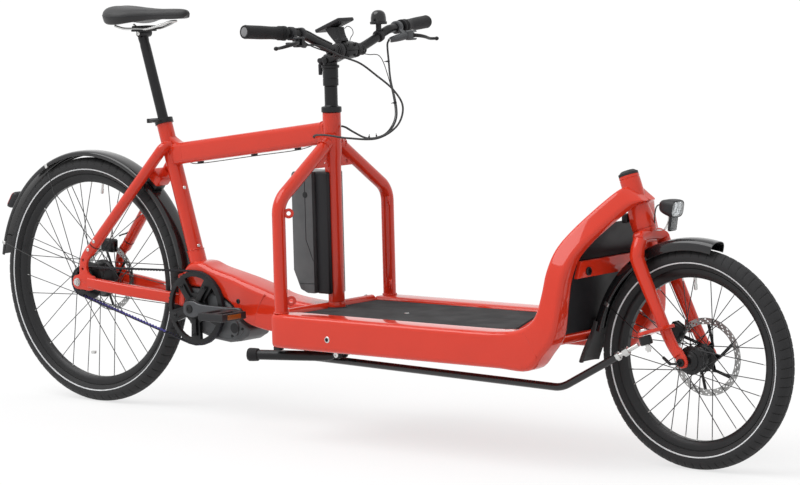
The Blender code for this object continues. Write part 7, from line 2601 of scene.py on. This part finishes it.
@dataclass
class Cockpit:
    """Stem, handlebar, grips, levers, display and bell."""

    bar_r: float = 0.011
    clamp_r: float = 0.0159
    grip_r: float = 0.0165
    grip_length: float = 0.1233

    @property
    def base(self) -> float:
        """Height of the stem's base."""
        return HEAD_TOP + 0.066

    def build(self) -> None:
        """Build the cockpit from the column up."""
        self.column()
        self.stem()
        self.bar()
        for side in Side:
            self.grip(side)
            self.brake(side)
        self.paddle()
        self.display()
        self.bell()
        self.wires()

    def column(self) -> None:
        """The headset cover, the shaft's top, and the shaft with its arm below the platform."""
        cover = HEAD_TOP + 0.0006
        profile = [
            (0.0108, 0.203), (0.0143, 0.203), (0.0143, cover), (0.0243, cover), (0.0255, cover + 0.0012)
        ]
        profile += [(0.0255, cover + 0.0115), (0.0245, cover + 0.0139), (0.0180, cover + 0.0155)]
        profile += [
            (0.0165, cover + 0.0175), (0.0165, self.base - 0.0010), (0.0157, self.base), (0.0108, self.base)
        ]
        body = lathe("column_shaft", profile, (COLUMN_X, 0, 0), (0, 0, 1), 48, closed=True)
        settle(body, SATIN_BLACK, "column", "steering_column", angle=30)
        rings = []
        for y, half in ((0.014, 0.014), (-0.050, 0.011), (-0.118, 0.011)):
            rings.append(rounded_ring((COLUMN_X, y, 0.210), (half, 0, 0), (0, 0, 0.0040), 0.0030, 6))
        arm = [loft("column_arm", rings)]
        arm.append(pin("arm_pin", (COLUMN_X, -0.115, 0.187), (COLUMN_X, -0.115, 0.208), 0.005, 24))
        nut = [(0, 0), (0.0085, 0), (0.0085, 0.0050), (0.0070, 0.0062), (0, 0.0062)]
        arm.append(lathe("arm_nut", nut, (COLUMN_X, -0.115, 0.2140), (0, 0, 1), 6))
        settle(gather(*arm), SATIN_BLACK, "column", angle=30)

    def stem(self) -> None:
        """The quill, the sleeve with its ring, the reach and the bar clamp."""
        base = self.base
        low = HEAD_TOP - 0.055
        profile = [(0, low), (0.0100, low), (0.0100, base + 0.0006), (0.0187, base + 0.0006)]
        profile += [(0.0195, base + 0.0014), (0.0195, base + 0.0180), (0.0188, base + 0.0186)]
        profile += [(0.0188, base + 0.0200), (0.0195, base + 0.0206), (0.0195, base + 0.0440)]
        profile += [(0.0225, base + 0.0455), (0.0225, base + 0.0515), (0.0178, base + 0.0530)]
        profile += [
            (0.0175, base + 0.0730), (0.0160, base + 0.0765), (0.0125, base + 0.0790), (0, base + 0.0792)
        ]
        body = lathe("stem_sleeve", profile, (COLUMN_X, 0, 0), (0, 0, 1), 48)
        clamp = cockpit_clamp()
        stations = (
            (COLUMN_X - 0.016, base + 0.065, 0.016, 0.008),
            (COLUMN_X + 0.010, base + 0.069, 0.018, 0.012),
            (COLUMN_X + 0.034, base + 0.078, 0.0185, 0.012),
            (clamp.x, clamp.z, 0.020, 0.014),
        )
        rings = []
        for x, z, wide, tall in blended(stations, 4):
            rings.append(rounded_ring((x, 0, z), (0, wide, 0), (0, 0, tall), 0.006, 7))
        reach = loft("stem_reach", rings)
        half = Vector((0, 0.0215, 0))
        barrel = pin("bar_clamp", clamp - half, clamp + half, 0.0215, 48, 0.0014)
        unite(body, reach, barrel)
        slit = block("clamp_slit", clamp + Vector((0.019, 0, 0)), (0.012, 0.060, 0.0016), 0)
        carve(body, pin("bar_hole", clamp - 2 * half, clamp + 2 * half, self.clamp_r + 0.0003, 48), slit)
        settle(body, SATIN_BLACK, "cockpit", "stem", angle=35)
        bolts = []
        for side in Side:
            for up in (-1, 1):
                spot = clamp + Vector((0.0165, side.value * 0.0135, up * 0.0125))
                bolts.append(bolt_head("clamp_bolts", spot, (1, 0, up * 0.5), 0.0040, 0.0036))
        settle(gather(*bolts), SATIN_BLACK, "cockpit")
        settle(refined("stem_lever", "stem_catch", 0.0010, 2), PLASTIC, "stem_lever", "stem_lever")
        spot = (COLUMN_X, -0.0172, base + 0.063)
        knob = [(0, 0.0055), (0.0055, 0.0055), (0.0075, 0.0045), (0.0080, 0.0), (0, 0)]
        settle(lathe("stem_knob", knob, spot, (0, -1, 0), 28), SATIN_BLACK, "cockpit")

    def bar_half(self) -> list[Vector]:
        """The left half of the bar's middle line."""
        row = [(0, 0.030, 0), (0.002, 0.060, 0.006), (0.002, 0.110, 0.024), (0.001, 0.150, 0.040)]
        return [
            *from_clamp(*row), along_grip(Side.LEFT, -0.036), along_grip(Side.LEFT, self.grip_length - 0.0004)
        ]

    def bar(self) -> None:
        """The bar, thicker at the clamp and raised towards the grips."""
        left = self.bar_half()
        row = [Vector((p.x, -p.y, p.z)) for p in reversed(left)] + left
        clamp = cockpit_clamp()
        body = tube("bar_tube", smooth_path(row, 0.006), self.bar_r, sides=32)
        profile = [
            (0, -0.048), (0.0110, -0.048), (self.clamp_r, -0.036), (self.clamp_r, 0.036), (0.0110, 0.048)
        ]
        gather(body, lathe("bar_bulge", [*profile, (0, 0.048)], clamp, (0, 1, 0), 40))
        settle(body, SATIN_BLACK, "cockpit", "handlebar", angle=40)
        spot = along_grip(Side.RIGHT, -0.052)
        wide = Vector((0, 0.006, 0))
        pod = spot + Vector((-0.012, 0, -0.008))
        shells = [pin("shifter_clamp", spot - wide, spot + wide, self.bar_r + 0.0045, 36, 0.001)]
        shape = [(0, 0.0), (0.0100, 0.0), (0.0115, 0.0015), (0.0118, 0.0080), (0.0110, 0.0105), (0, 0.0105)]
        shells.append(lathe("shifter_pod", shape, pod, (0, 0, -1), 36))
        settle(gather(*shells), PLASTIC, "cockpit")

    def grip(self, side: Side) -> None:
        """A ribbed grip with a pale end disc and ridges at its inner end."""
        length = self.grip_length
        profile = [(0.0114, 0), (self.grip_r + 0.0015, 0), (self.grip_r + 0.0015, 0.005)]
        for k in range(3):
            z = 0.0065 + 0.0045 * k
            profile += [(self.grip_r - 0.0010, z), (self.grip_r - 0.0010, z + 0.0012)]
            profile += [(self.grip_r + 0.0010, z + 0.0020), (self.grip_r + 0.0010, z + 0.0036)]
        profile += [(self.grip_r - 0.0006, 0.0215), (self.grip_r - 0.0010, length * 0.35)]
        profile += [
            (self.grip_r, length * 0.62), (self.grip_r, length - 0.004), (self.grip_r + 0.0004, length)
        ]
        profile += [
            (self.grip_r - 0.0010, length + 0.0038), (0.0128, length + 0.0044), (0.0114, length + 0.0030)
        ]
        axis = along_grip(side, 1.0) - along_grip(side, 0.0)
        body = lathe(f"{side.word}_grip_sleeve", profile, along_grip(side, 0.0), axis, 48, closed=True)
        settle(body, GRIP_RUBBER, "cockpit", f"{side.word}_grip", angle=35)
        disc = [(0, 0.0012), (0.0085, 0.0012), (0.0112, 0.0006), (0.0122, -0.0010), (0, -0.0010)]
        spot = along_grip(side, length + 0.0032)
        settle(lathe(f"{side.word}_grip_end", disc, spot, axis, 36), END_CAP, "cockpit")

    def brake(self, side: Side) -> None:
        """Lever body with its clamp and its barrel, and the blade with its ball end."""
        middle = lever_middle(side)
        direction = (along_grip(side, 1.0) - along_grip(side, 0.0)).normalized()
        clamp = pin(
            f"{side.word}_lever_body",
            middle - direction * 0.007,
            middle + direction * 0.007,
            0.0165,
            40,
            0.0016,
        )
        inner = lever_end(side)
        outer = middle + Vector((0.032, side.value * 0.004, -0.020))
        row = smooth_path([inner, inner.lerp(outer, 0.5), outer], 0.004)
        swell = [
            0.62 + 0.38 * math.sin(math.pi * min(1.0, k / (len(row) - 1) + 0.15) * 0.62)
            for k in range(len(row))
        ]
        barrel = tube("lever_barrel", row, 0.0095, swell, 28)
        neck = [middle + Vector((0.010, 0, -0.006)), outer + Vector((-0.006, -side.value * 0.006, 0.002))]
        head = block(
            "lever_head",
            outer + Vector((0.004, side.value * 0.008, 0)),
            (0.018, 0.030, 0.025),
            0.004,
            segments=4,
        )
        carve(
            head,
            block("lever_slot", outer + Vector((0.008, side.value * 0.018, 0)), (0.034, 0.024, 0.0155), 0),
        )
        gather(clamp, barrel, tube("lever_neck", neck, 0.007, sides=24), head)
        case = MOTOR_CAST if side is Side.LEFT else PLASTIC
        settle(clamp, case, "cockpit", f"{side.word}_brake_body")
        out = (inner - outer).normalized()
        nut = pin(f"{side.word}_hose_nut", inner - out * 0.004, inner + out * 0.0062, 0.0044, 6, 0.0004)
        settle(nut, STEEL, "cockpit")
        pivot = middle + Vector((0.037, side.value * 0.0165, -0.020))
        tall = Vector((0, 0, 0.0068))
        knuckle = pin(f"{side.word}_blade", pivot + tall, pivot - tall, 0.0055, 28, 0.0008)
        points = [
            (0, 0, 0),
            (0.010, 0.016, -0.002),
            (0.010, 0.040, -0.006),
            (0.004, 0.066, -0.011),
            (0.008, 0.088, -0.012),
        ]
        row = smooth_path([pivot + Vector((x, side.value * y, z)) for x, y, z in points], 0.004)
        swell = [1.2 - 0.35 * k / (len(row) - 1) for k in range(len(row))]
        gather(knuckle, tube("lever_blade", row, 0.0042, swell, 18))
        ball = [(0.0058 * math.sin(math.pi * k / 10), 0.0052 * math.cos(math.pi * k / 10)) for k in range(11)]
        gather(knuckle, lathe("lever_ball", ball, row[-1], (0, 0, 1), 24))
        settle(knuckle, SATIN_BLACK, f"{side.word}_lever", f"{side.word}_brake_lever", angle=40)
        bolt = bolt_head(f"{side.word}_pivot_bolt", pivot + Vector((0, 0, 0.0122)), (0, 0, 1), 0.0034, 0.0012)
        settle(bolt, STEEL, "cockpit")

    def paddle(self) -> None:
        """The thumb paddle of the shifter."""
        body = refined("shifter_paddle", "thumb_paddle", 0.0010, 3)
        settle(body, PLASTIC, "shifter", "shifter_paddle")

    def display(self) -> None:
        """The flat screen, on an arm from its ring on the bar."""
        slope = Matrix.Rotation(-math.radians(21), 3, "Y")
        clamp = cockpit_clamp()
        middle = clamp + Vector((-0.036, 0, 0.062))
        body = block("display_case", middle, (0.084, 0.060, 0.0095), 0.0034, slope, 4)
        rings = []
        stations = [(-0.038, 0.057, 0.021, 0.017), (-0.027, 0.037, 0.017, 0.015)]
        stations.append((-0.010, 0.017, 0.014, 0.014))
        for x, z, ahead, wide in blended(stations, 3):
            rings.append(rounded_ring(clamp + Vector((x, 0, z)), (ahead, 0, 0), (0, wide, 0), 0.005, 5))
        arm = loft("display_arm", rings)
        ring = [(self.clamp_r + 0.0004, -0.005), (0.0192, -0.005), (0.0199, -0.004), (0.0199, 0.004)]
        ring += [(0.0192, 0.005), (self.clamp_r + 0.0004, 0.005)]
        foot = lathe("display_foot", ring, clamp - Vector((0, 0.0285, 0)), (0, 1, 0), 40, closed=True)
        link = block("display_link", clamp + Vector((0, -0.016, 0.0265)), (0.012, 0.036, 0.007), 0.002)
        post = block("display_post", clamp + Vector((0, -0.0285, 0.0215)), (0.012, 0.010, 0.012), 0.0015)
        settle(gather(body, arm, foot, link, post), PLASTIC, "cockpit", "display", angle=30)
        up = slope @ Vector((0, 0, 1))
        face = middle + up * 0.0046
        screen = block("display_screen", face, (0.068, 0.050, 0.0012), 0.0005, slope)
        settle(screen, SCREEN, "cockpit")
        keys = []
        for y in (-0.015, 0, 0.015):
            spot = face + slope @ Vector((-0.037, y, 0))
            keys.append(block("display_keys", spot, (0.005, 0.010, 0.0012), 0.0005, slope))
        settle(gather(*keys), SHEET_BLACK, "cockpit")

    def bell(self) -> None:
        """The dome on its stalk, clamped round the bar left of the stem."""
        left = self.bar_half()
        low = left[2].lerp(left[3], 0.4)
        direction = (left[3] - left[2]).normalized()
        shells = [
            pin("bell_base", low - direction * 0.006, low + direction * 0.006, self.bar_r + 0.0045, 36, 0.001)
        ]
        shells.append(pin("bell_stalk", low + Vector((0, 0, 0.006)), low + Vector((0, 0, 0.032)), 0.007, 28))
        base = [
            (0, 0.0290), (0.0205, 0.0290), (0.0215, 0.0305), (0.0215, 0.0350), (0.0200, 0.0362), (0, 0.0362)
        ]
        shells.append(lathe("bell_ring", base, low, (0, 0, 1), 48))
        settle(gather(*shells), PLASTIC, "cockpit", "bell")
        dome = [(0, 0.0366), (0.0192, 0.0366), (0.0196, 0.0376), (0.0194, 0.0460), (0.0180, 0.0535)]
        dome += [(0.0152, 0.0590), (0.0110, 0.0625), (0.0060, 0.0644), (0.0, 0.0650)]
        settle(lathe("bell_dome", dome, low, (0, 0, 1), 48), GLOSS_BLACK, "cockpit", angle=60)

    def wires(self) -> None:
        """Thin wires from the display and the shifter, wrapped round the bar beside the clamp."""
        loops = []
        row = [(-0.050, 0.010, 0.046), (-0.044, 0.022, 0.020), (-0.014, 0.030, -0.016)]
        row += [(0.012, 0.034, -0.014), (0.014, 0.038, 0.008), (-0.004, 0.042, 0.016)]
        loops.append(tube("bar_wires", smooth_path(from_clamp(*row), 0.004), 0.0014, sides=10))
        turns, steps, pitch = 8, 20, 0.0045
        for side in Side:
            coil = []
            for k in range(turns * steps + 1):
                angle = math.tau * k / steps
                y = 0.0255 + pitch * k / steps
                tighter = 0.0040 * max(0.0, min(1.0, (y - 0.037) / 0.011))
                r = 0.0176 - tighter + 0.0006 * math.sin(k * 0.37)
                lift = 0.06 * max(0.0, y - 0.05)
                coil.append((r * math.cos(angle), side.value * y, r * math.sin(angle) + lift))
            loops.append(tube("bar_coil", from_clamp(*coil), 0.0015, sides=8))
        arch = [
            (-0.020, 0.020, 0.053), (-0.0096, 0.020, 0.0584), (0.003, 0.021, 0.052), (0.0055, 0.022, 0.040)
        ]
        arch += [(-0.004, 0.024, 0.030), (-0.012, 0.026, 0.014)]
        loops.append(tube("screen_wire", smooth_path(from_clamp(*arch), 0.003), 0.0010, sides=8))
        for lift, out in ((0.0128, -0.004), (0.0122, 0.004)):
            run = [p + Vector((out, 0, lift)) for p in self.bar_half()[1:-1]]
            run = [Vector((p.x, -p.y, p.z)) for p in run]
            loops.append(tube("bar_bundle", smooth_path(run, 0.006), 0.0021, sides=10))
        row = from_clamp((0.004, -0.064, -0.004), (-0.006, -0.120, 0.014), (-0.010, -0.158, 0.032))
        loops.append(tube("shift_wire", smooth_path(row, 0.006), 0.0016, sides=10))
        settle(gather(*loops), HOSE_RUBBER, "cockpit")


# Fork and what it carries


@dataclass
class Fork:
    """Fork, headlight, front axle, caliper and the rod that turns it."""

    leg_y: float = 0.060
    leg_r: float = 0.0165
    arm: float = 0.115
    rod_r: float = 0.009
    nose: FrontEnd = field(default_factory=FrontEnd)

    def build(self) -> None:
        """Build from the cap down to the wheel, then the rod."""
        self.cap()
        self.crown()
        self.legs()
        self.steering_arm()
        self.axle()
        self.caliper()
        self.lamp()
        self.lamp_glass()
        self.rod()

    def cap(self) -> None:
        """The low ribbed cap with its bolt, and the collar under it."""
        profile = [(0, 0.0006), (0.0235, 0.0006), (0.0235, 0.0058), (0.0222, 0.0072), (0.0190, 0.0088)]
        profile += [(0.0185, 0.0100), (0.0160, 0.0112), (0.0150, 0.0120), (0, 0.0120)]
        body = lathe("headset_cap", profile, self.nose.axis(0), self.nose.up, 56)
        ribs = []
        for k in range(16):
            angle = math.tau * k / 16
            out = self.nose.ahead * math.cos(angle) + Vector((0, math.sin(angle), 0))
            foot = self.nose.axis(-0.0034) + out * 0.0228
            ribs.append(pin("cap_rib", foot - self.nose.up * 0.0022, foot + self.nose.up * 0.0030, 0.0010, 8))
        settle(gather(body, *ribs), PLASTIC, "fork", angle=30)
        bolt = bolt_head("cap_bolt", self.nose.axis(-0.0100), self.nose.up, 0.0070, 0.0018)
        settle(bolt, STEEL, "fork")

    def crown(self) -> None:
        """The crown race and the crown that spreads to both legs."""
        low = -self.nose.head_length - 0.0006
        seat_r = self.nose.low_r - 0.001
        race = [(0, low), (seat_r, low), (seat_r, low - 0.0035), (seat_r - 0.0015, low - 0.0080)]
        race += [(0.018, low - 0.016), (0, low - 0.016)]
        body = lathe("fork_crown", race, self.nose.axis(0), self.nose.up, 48)
        stations = (
            (-0.052, 0.154, 0.012, 0.014, 0.010),
            (-0.034, 0.146, 0.014, 0.018, 0.004),
            (0.0, 0.144, 0.013, 0.021, 0.0),
            (0.034, 0.146, 0.014, 0.018, 0.004),
            (0.052, 0.154, 0.012, 0.014, 0.010),
        )
        rings = []
        for y, down, half_up, half_x, forward in blended(stations, 5):
            middle = self.nose.axis(down) + self.nose.ahead * forward + Vector((0, y, 0))
            rings.append(rounded_ring(middle, self.nose.ahead * half_x, self.nose.up * half_up, 0.009, 8))
        gather(body, loft("crown", rings))
        settle(body, PAINT, "fork", "fork", angle=40)

    def legs(self) -> None:
        """Both bowed legs with their dropouts, and the caliper's boss."""
        shells = []
        for side in Side:
            top = self.nose.top.z
            row = [
                (0.119, 0.046, top - 0.141), (0.1185, 0.0585, top - 0.169), (0.112, self.leg_y, top - 0.198)
            ]
            row += [(0.057, self.leg_y, FRONT_R + 0.097), (0.028, self.leg_y, FRONT_R + 0.041)]
            row += [(0.010, self.leg_y, FRONT_R + 0.015)]
            swell = [0.95, 1.0, 1.0, 0.85, 0.78, 0.72]
            mixed = blended([(*p, r) for p, r in zip(row, swell)], 6)
            points = [Vector((WHEELBASE - back, side.value * out, z)) for back, out, z, _ in mixed]
            shells.append(tube("fork_legs", points, self.leg_r, [share for *_, share in mixed], 32))
            outline = [(-0.020, 0.028), (-0.006, 0.034), (0.010, 0.012), (0.0135, 0.0), (0.010, -0.010)]
            outline += [(0.0, -0.0135), (-0.010, -0.009), (-0.014, 0.004)]
            plane = side_plane(WHEELBASE, side.value * self.leg_y, FRONT_R)
            shells.append(plate("fork_dropout", [outline, circle(0.0064, 24)], 0.010, plane, 0.0014))
        spot = (WHEELBASE - 0.052, self.leg_y, FRONT_R + 0.065)
        shells.append(block("caliper_boss", spot, (0.036, 0.008, 0.030), 0.003))
        settle(gather(*shells), PAINT, "fork", angle=40)

    def ball(self) -> Vector:
        """Middle of the rod's front eye."""
        down = (self.nose.top.z - 0.307) / math.sin(self.nose.angle)
        return self.nose.axis(down) + Vector((0, -self.arm / math.sin(self.nose.angle), 0))

    def steering_arm(self) -> None:
        """The arm from the right leg to the rod, with its pin."""
        up, ahead, ball = self.nose.up, self.nose.ahead, self.ball()
        across = Vector((0, 1, 0))
        plane = Matrix((ahead, across, ahead.cross(across))).transposed().to_4x4()
        plane = Matrix.Translation(ball + up * 0.0165) @ plane
        reach = -self.leg_y - ball.y
        outline = [(-0.013, -0.006), (-0.006, -0.013), (0.008, -0.013), (0.014, -0.006)]
        outline += [(0.040, reach - 0.018), (0.040, reach + 0.006), (-0.012, reach + 0.004)]
        outline += [(-0.046, reach - 0.008), (-0.046, reach - 0.022), (-0.012, reach - 0.026)]
        hole = circle(0.0045, 20, (-0.034, reach - 0.013))
        settle(plate("steering_arm", [outline, hole], 0.008, plane, 0.0014), PAINT, "fork")
        shaft = pin("arm_bolt", ball - up * 0.027, ball + up * 0.016, 0.0042, 24)
        gather(shaft, pin("arm_bolt_low", ball - up * 0.0225, ball - up * 0.0160, 0.0078, 6))
        nut = [(0, 0), (0.0080, 0), (0.0080, 0.0042), (0.0068, 0.0054), (0, 0.0054)]
        gather(shaft, lathe("arm_bolt_nut", nut, ball + up * 0.0206, up, 6))
        settle(shaft, STEEL, "fork", angle=25)

    def axle(self) -> None:
        """The bolt-through axle with its head and nut."""
        outer = self.leg_y + 0.005
        shells = [
            pin("front_axle_shaft", (WHEELBASE, -outer, FRONT_R), (WHEELBASE, outer, FRONT_R), 0.006, 28)
        ]
        head = [(0, 0.0060), (0.0035, 0.0060), (0.0035, 0.0035), (0.0055, 0.0035), (0.0062, 0.0060)]
        head += [(0.0085, 0.0056), (0.0095, 0.0040), (0.0095, 0.0003), (0, 0.0003)]
        for side in Side:
            face = (WHEELBASE, side.value * outer, FRONT_R)
            shells.append(lathe("axle_head", head, face, (0, side.value, 0), 32))
        settle(gather(*shells), SATIN_BLACK, "fork", "front_axle", angle=30)

    def caliper(self) -> None:
        """Both brake calipers, with their bolts and their pads' slots."""
        rear = (refined("rear_caliper", "rear_brake", 0.0012, 2), "frame", "rear_caliper")
        front = (refined("front_caliper", "front_brake", 0.0012, 2), "fork", "front_caliper")
        for body, rides, node in (rear, front):
            low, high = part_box(node)
            middle = (low + high) / 2 - Vector((AXLE_X, 0, 0))
            settle(body, SATIN_BLACK, rides, node, angle=40)
            face = high.y
            bolts = []
            for up in (-1, 1):
                spot = Vector((middle.x + up * 0.006, face - 0.0008, middle.z + up * 0.012))
                bolts.append(bolt_head(node + "_bolts", spot, (0, 1, 0), 0.0042, 0.0008))
            settle(gather(*bolts), STEEL, rides)

    def lamp(self) -> None:
        """The lamp's hood and its bracket."""
        middle, tilt, across, up = self.lamp_frame()
        stations = (
            (-0.025, 0.010, 0.008, 0.005),
            (-0.017, 0.018, 0.014, 0.009),
            (-0.002, 0.023, 0.018, 0.012),
            (0.012, 0.0245, 0.0197, 0.013),
            (0.0195, 0.0243, 0.0193, 0.013),
        )
        inside = ((0.0195, 0.0226, 0.0176, 0.0118), (0.0100, 0.0220, 0.0170, 0.0114))
        rings = []
        for away, wide, tall, corner in (*blended(stations, 4), *inside):
            rings.append(rounded_ring(middle + tilt * away, across * wide, up * tall, corner, 9))
        settle(loft("lamp_hood", rings), PLASTIC, "fork", "headlight", angle=45)
        foot = self.nose.axis(0.140) + Vector((0.0265, 0, 0.010))
        row = [foot]
        for back, down in ((0.083, 0.120), (0.0685, 0.100), (0.067, 0.080)):
            row.append(Vector((WHEELBASE - back, 0, self.nose.top.z - down)))
        fine = smooth_path(row, 0.003)
        rings = [rounded_ring(p, (0, 0.0070, 0), (0.0016, 0, 0.0008), 0.0006, 4) for p in fine]
        settle(loft("lamp_bracket", rings), STEEL, "fork")
        loop = [middle - tilt * 0.024 + across * 0.004, middle - tilt * 0.036 - up * 0.004]
        loop += [
            middle - tilt * 0.040 - up * 0.022,
            self.nose.axis(0.138) + self.nose.ahead * 0.019 + across * 0.008,
        ]
        settle(tube("lamp_loop", smooth_path(loop, 0.003), 0.0016, sides=10), HOSE_RUBBER, "fork")

    def lamp_frame(self) -> tuple[Vector, Vector, Vector, Vector]:
        """The lamp's middle, and its ways forward, across and up."""
        middle = Vector((WHEELBASE - 0.065, 0, self.nose.top.z - 0.068))
        tilt = Vector((0.985, 0, -0.17)).normalized()
        across = Vector((0, 1, 0))
        return middle, tilt, across, tilt.cross(across)

    def lamp_glass(self) -> None:
        """The mirror, the lens and the clear reflector under the lamp."""
        middle, tilt, across, up = self.lamp_frame()
        mirror = ((0.0102, 0.98), (0.0120, 0.96), (0.0108, 0.75), (0.0060, 0.40), (0.0050, 0.12))
        lens = ((0.0165, 0.995), (0.0190, 0.995), (0.0205, 0.93), (0.0212, 0.70), (0.0214, 0.20))
        for name, stations, finish, wide, tall, corner in (
            ("lamp_mirror", mirror, CHROME, 0.0220, 0.0170, 0.0114),
            ("lamp_lens", lens, CLEAR_LENS, 0.0224, 0.0174, 0.0117),
        ):
            rings = []
            for away, share in stations:
                half = across * wide * share, up * tall * share
                rings.append(rounded_ring(middle + tilt * away, *half, corner * share, 9))
            settle(loft(name, rings), finish, "fork", angle=60)
        spot = Vector((WHEELBASE - 0.0600, 0, self.nose.top.z - 0.1045))
        turn = Matrix((tilt, across, up)).transposed()
        case = block("lamp_reflector_case", spot, (0.008, 0.028, 0.036), 0.003, turn)
        settle(case, PLASTIC, "fork")
        glass = block("lamp_reflector", spot + tilt * 0.0040, (0.003, 0.024, 0.031), 0.0014, turn)
        settle(glass, CLEAR_LENS, "fork")

    def rod(self) -> None:
        """The bent rod, with its eyes, its threaded sleeve and its lock nuts."""
        rear = Vector((COLUMN_X, -self.arm, 0.196))
        front = self.ball()
        corner = Vector((WHEELBASE - 0.262, -0.162, 0.189))
        stop = corner.lerp(front, 0.66)
        first = rear + (corner - rear).normalized() * 0.010
        row = [first, *bend(first, corner, stop, 0.07, 16), stop]
        body = tube("steer_rod", row, self.rod_r, sides=28)
        tall = Vector((0, 0, 0.0065))
        eye = pin("rod_eye", rear + tall, rear - tall, 0.013, 36, 0.001)
        up = self.nose.up
        gather(body, eye)
        settle(body, GLOSS_BLACK, "rod", "steering_rod", angle=35)
        joint = [(0.0066, -0.0100), (0.0125, -0.0100), (0.0145, -0.0080), (0.0145, 0.0080), (0.0125, 0.0100)]
        joint += [(0.0066, 0.0100)]
        housing = lathe("rod_joint", joint, front, up, 40, closed=True)
        settle(housing, SATIN_BLACK, "rod")
        along = front - corner
        thread = []
        turns = 22
        start, length = corner + along * 0.60, along.length * 0.31
        for k in range(turns * 2 + 1):
            thread.append((0.0052 if k % 2 else 0.0047, length * k / (turns * 2)))
        sleeve = lathe("rod_thread", [(0, 0), *thread, (0, length)], start, along, 24)
        nuts = []
        for a, b in ((0.655, 0.695), (0.74, 0.80)):
            nuts.append(pin("lock_nut", corner.lerp(front, a), corner.lerp(front, b), 0.0105, 6, 0.0010))
        settle(gather(sleeve, *nuts), STEEL, "rod", angle=30)


# Kickstand


@dataclass
class Kickstand:
    """Two legs on one shaft, with rubber feet, pivot bolts and a spring."""

    y: float = 0.146
    z: float = STAND_Z
    leg_r: float = 0.0125

    def build(self) -> None:
        """Build both legs and their details."""
        x = STAND_X
        end = self.y + 0.013
        legs = [pin("stand_shaft", (x, -end, self.z), (x, end, self.z), 0.006, 24)]
        feet = []
        for side in Side:
            row = [(x, self.y, self.z), (x - 0.020, self.y, 0.212), (x - 0.055, 0.158, 0.2085)]
            row.append((COLUMN_X - 0.103, 0.215, 0.2065))
            swell = (0.66, 0.66, 1.0, 1.0)
            mixed = blended([(*p, r) for p, r in zip(row, swell)], 5)
            points = [Vector((px, side.value * py, pz)) for px, py, pz, _ in mixed]
            shares = [min(1.0, share) for *_, share in mixed]
            legs.append(tube("stand_leg", points, self.leg_r, shares, 24))
            lug = [(x, side.value * y, self.z) for y in (self.y - 0.0085, self.y + 0.0085)]
            legs.append(pin("stand_lug", *lug, 0.0095, 28, 0.001))
            tip = points[-1]
            back = (tip - points[-2]).normalized()
            shape = [(0, -0.024), (0.0140, -0.024), (0.0158, -0.022), (0.0165, -0.010), (0.0165, 0.0005)]
            shape += [(0.0150, 0.0030), (0, 0.0030)]
            feet.append(lathe("stand_feet", shape, tip, back, 32))
        body = gather(*legs)
        body.name = "stand_legs"
        settle(body, SATIN_BLACK, "kickstand", "kickstand", angle=40)
        settle(gather(*feet), GRIP_RUBBER, "kickstand")
        self.pivots(x)

    def pivots(self, x: float) -> None:
        """Bolts on the outside of each pivot, and a coiled spring beside the right one."""
        bolts = []
        for side in Side:
            spot = Vector((x, side.value * 0.1617, self.z))
            bolts.append(bolt_head("stand_bolts", spot, (0, side.value, 0), 0.0075, 0.0030))
        settle(gather(*bolts), STEEL, "frame")
        coil = []
        turns, start, end = 9, Vector((x - 0.004, -0.1215, 0.226)), Vector((x - 0.052, -0.1215, 0.2215))
        along = (end - start).normalized()
        side_way = along.cross(Vector((0, 1, 0)))
        for k in range(turns * 12 + 1):
            angle = math.tau * k / 12
            out = Vector((0, math.cos(angle), 0)) + side_way * math.sin(angle)
            coil.append(start.lerp(end, k / (turns * 12)) + out * 0.0042)
        settle(tube("stand_spring", coil, 0.0009, sides=6), STEEL, "frame", angle=60)


# Small things on the wheel and the tubes


def wheel_magnet() -> None:
    """The small magnet on a lower spoke of the rear wheel."""
    spot = Vector((-0.006, -0.0140, REAR_R - 0.197))
    shape = [(0, -0.004), (0.0062, -0.004), (0.0080, -0.001), (0.0074, 0.003), (0, 0.0042)]
    settle(lathe("spoke_magnet", shape, spot, (0, 0, 1), 28), STEEL, "rear_wheel")


def frame_bolts() -> None:
    """The two bolts on the seat tube's front that a holder is fastened by."""
    bolts = []
    for z in (0.440, 0.590):
        spot = seat_line(z) + Vector((0.0192, -0.0050, 0))
        bolts.append(bolt_head("holder_bolts", spot, (1, -0.25, 0.28), 0.0045, 0.0030))
    settle(gather(*bolts), STEEL, "frame")


def main() -> None:
    """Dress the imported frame, from the studio to the last bolt."""
    logging.basicConfig(level=logging.INFO, format="%(name)s: %(message)s")
    bpy.ops.object.select_all(action="DESELECT")
    Studio().build()
    Hoses().build()
    for wheel in (rear_wheel(), front_wheel()):
        wheel.build()
    rear_mudguard()
    front_mudguard()
    rear_light()
    for assembly in (RearFrame(), Arch(), Deck(), FrontEnd(), Drive(), Battery(), Seat(), Cockpit()):
        assembly.build()
    Fork().build()
    Kickstand().build()
    wheel_magnet()
    frame_bolts()


if __name__ == "__main__":
    main()
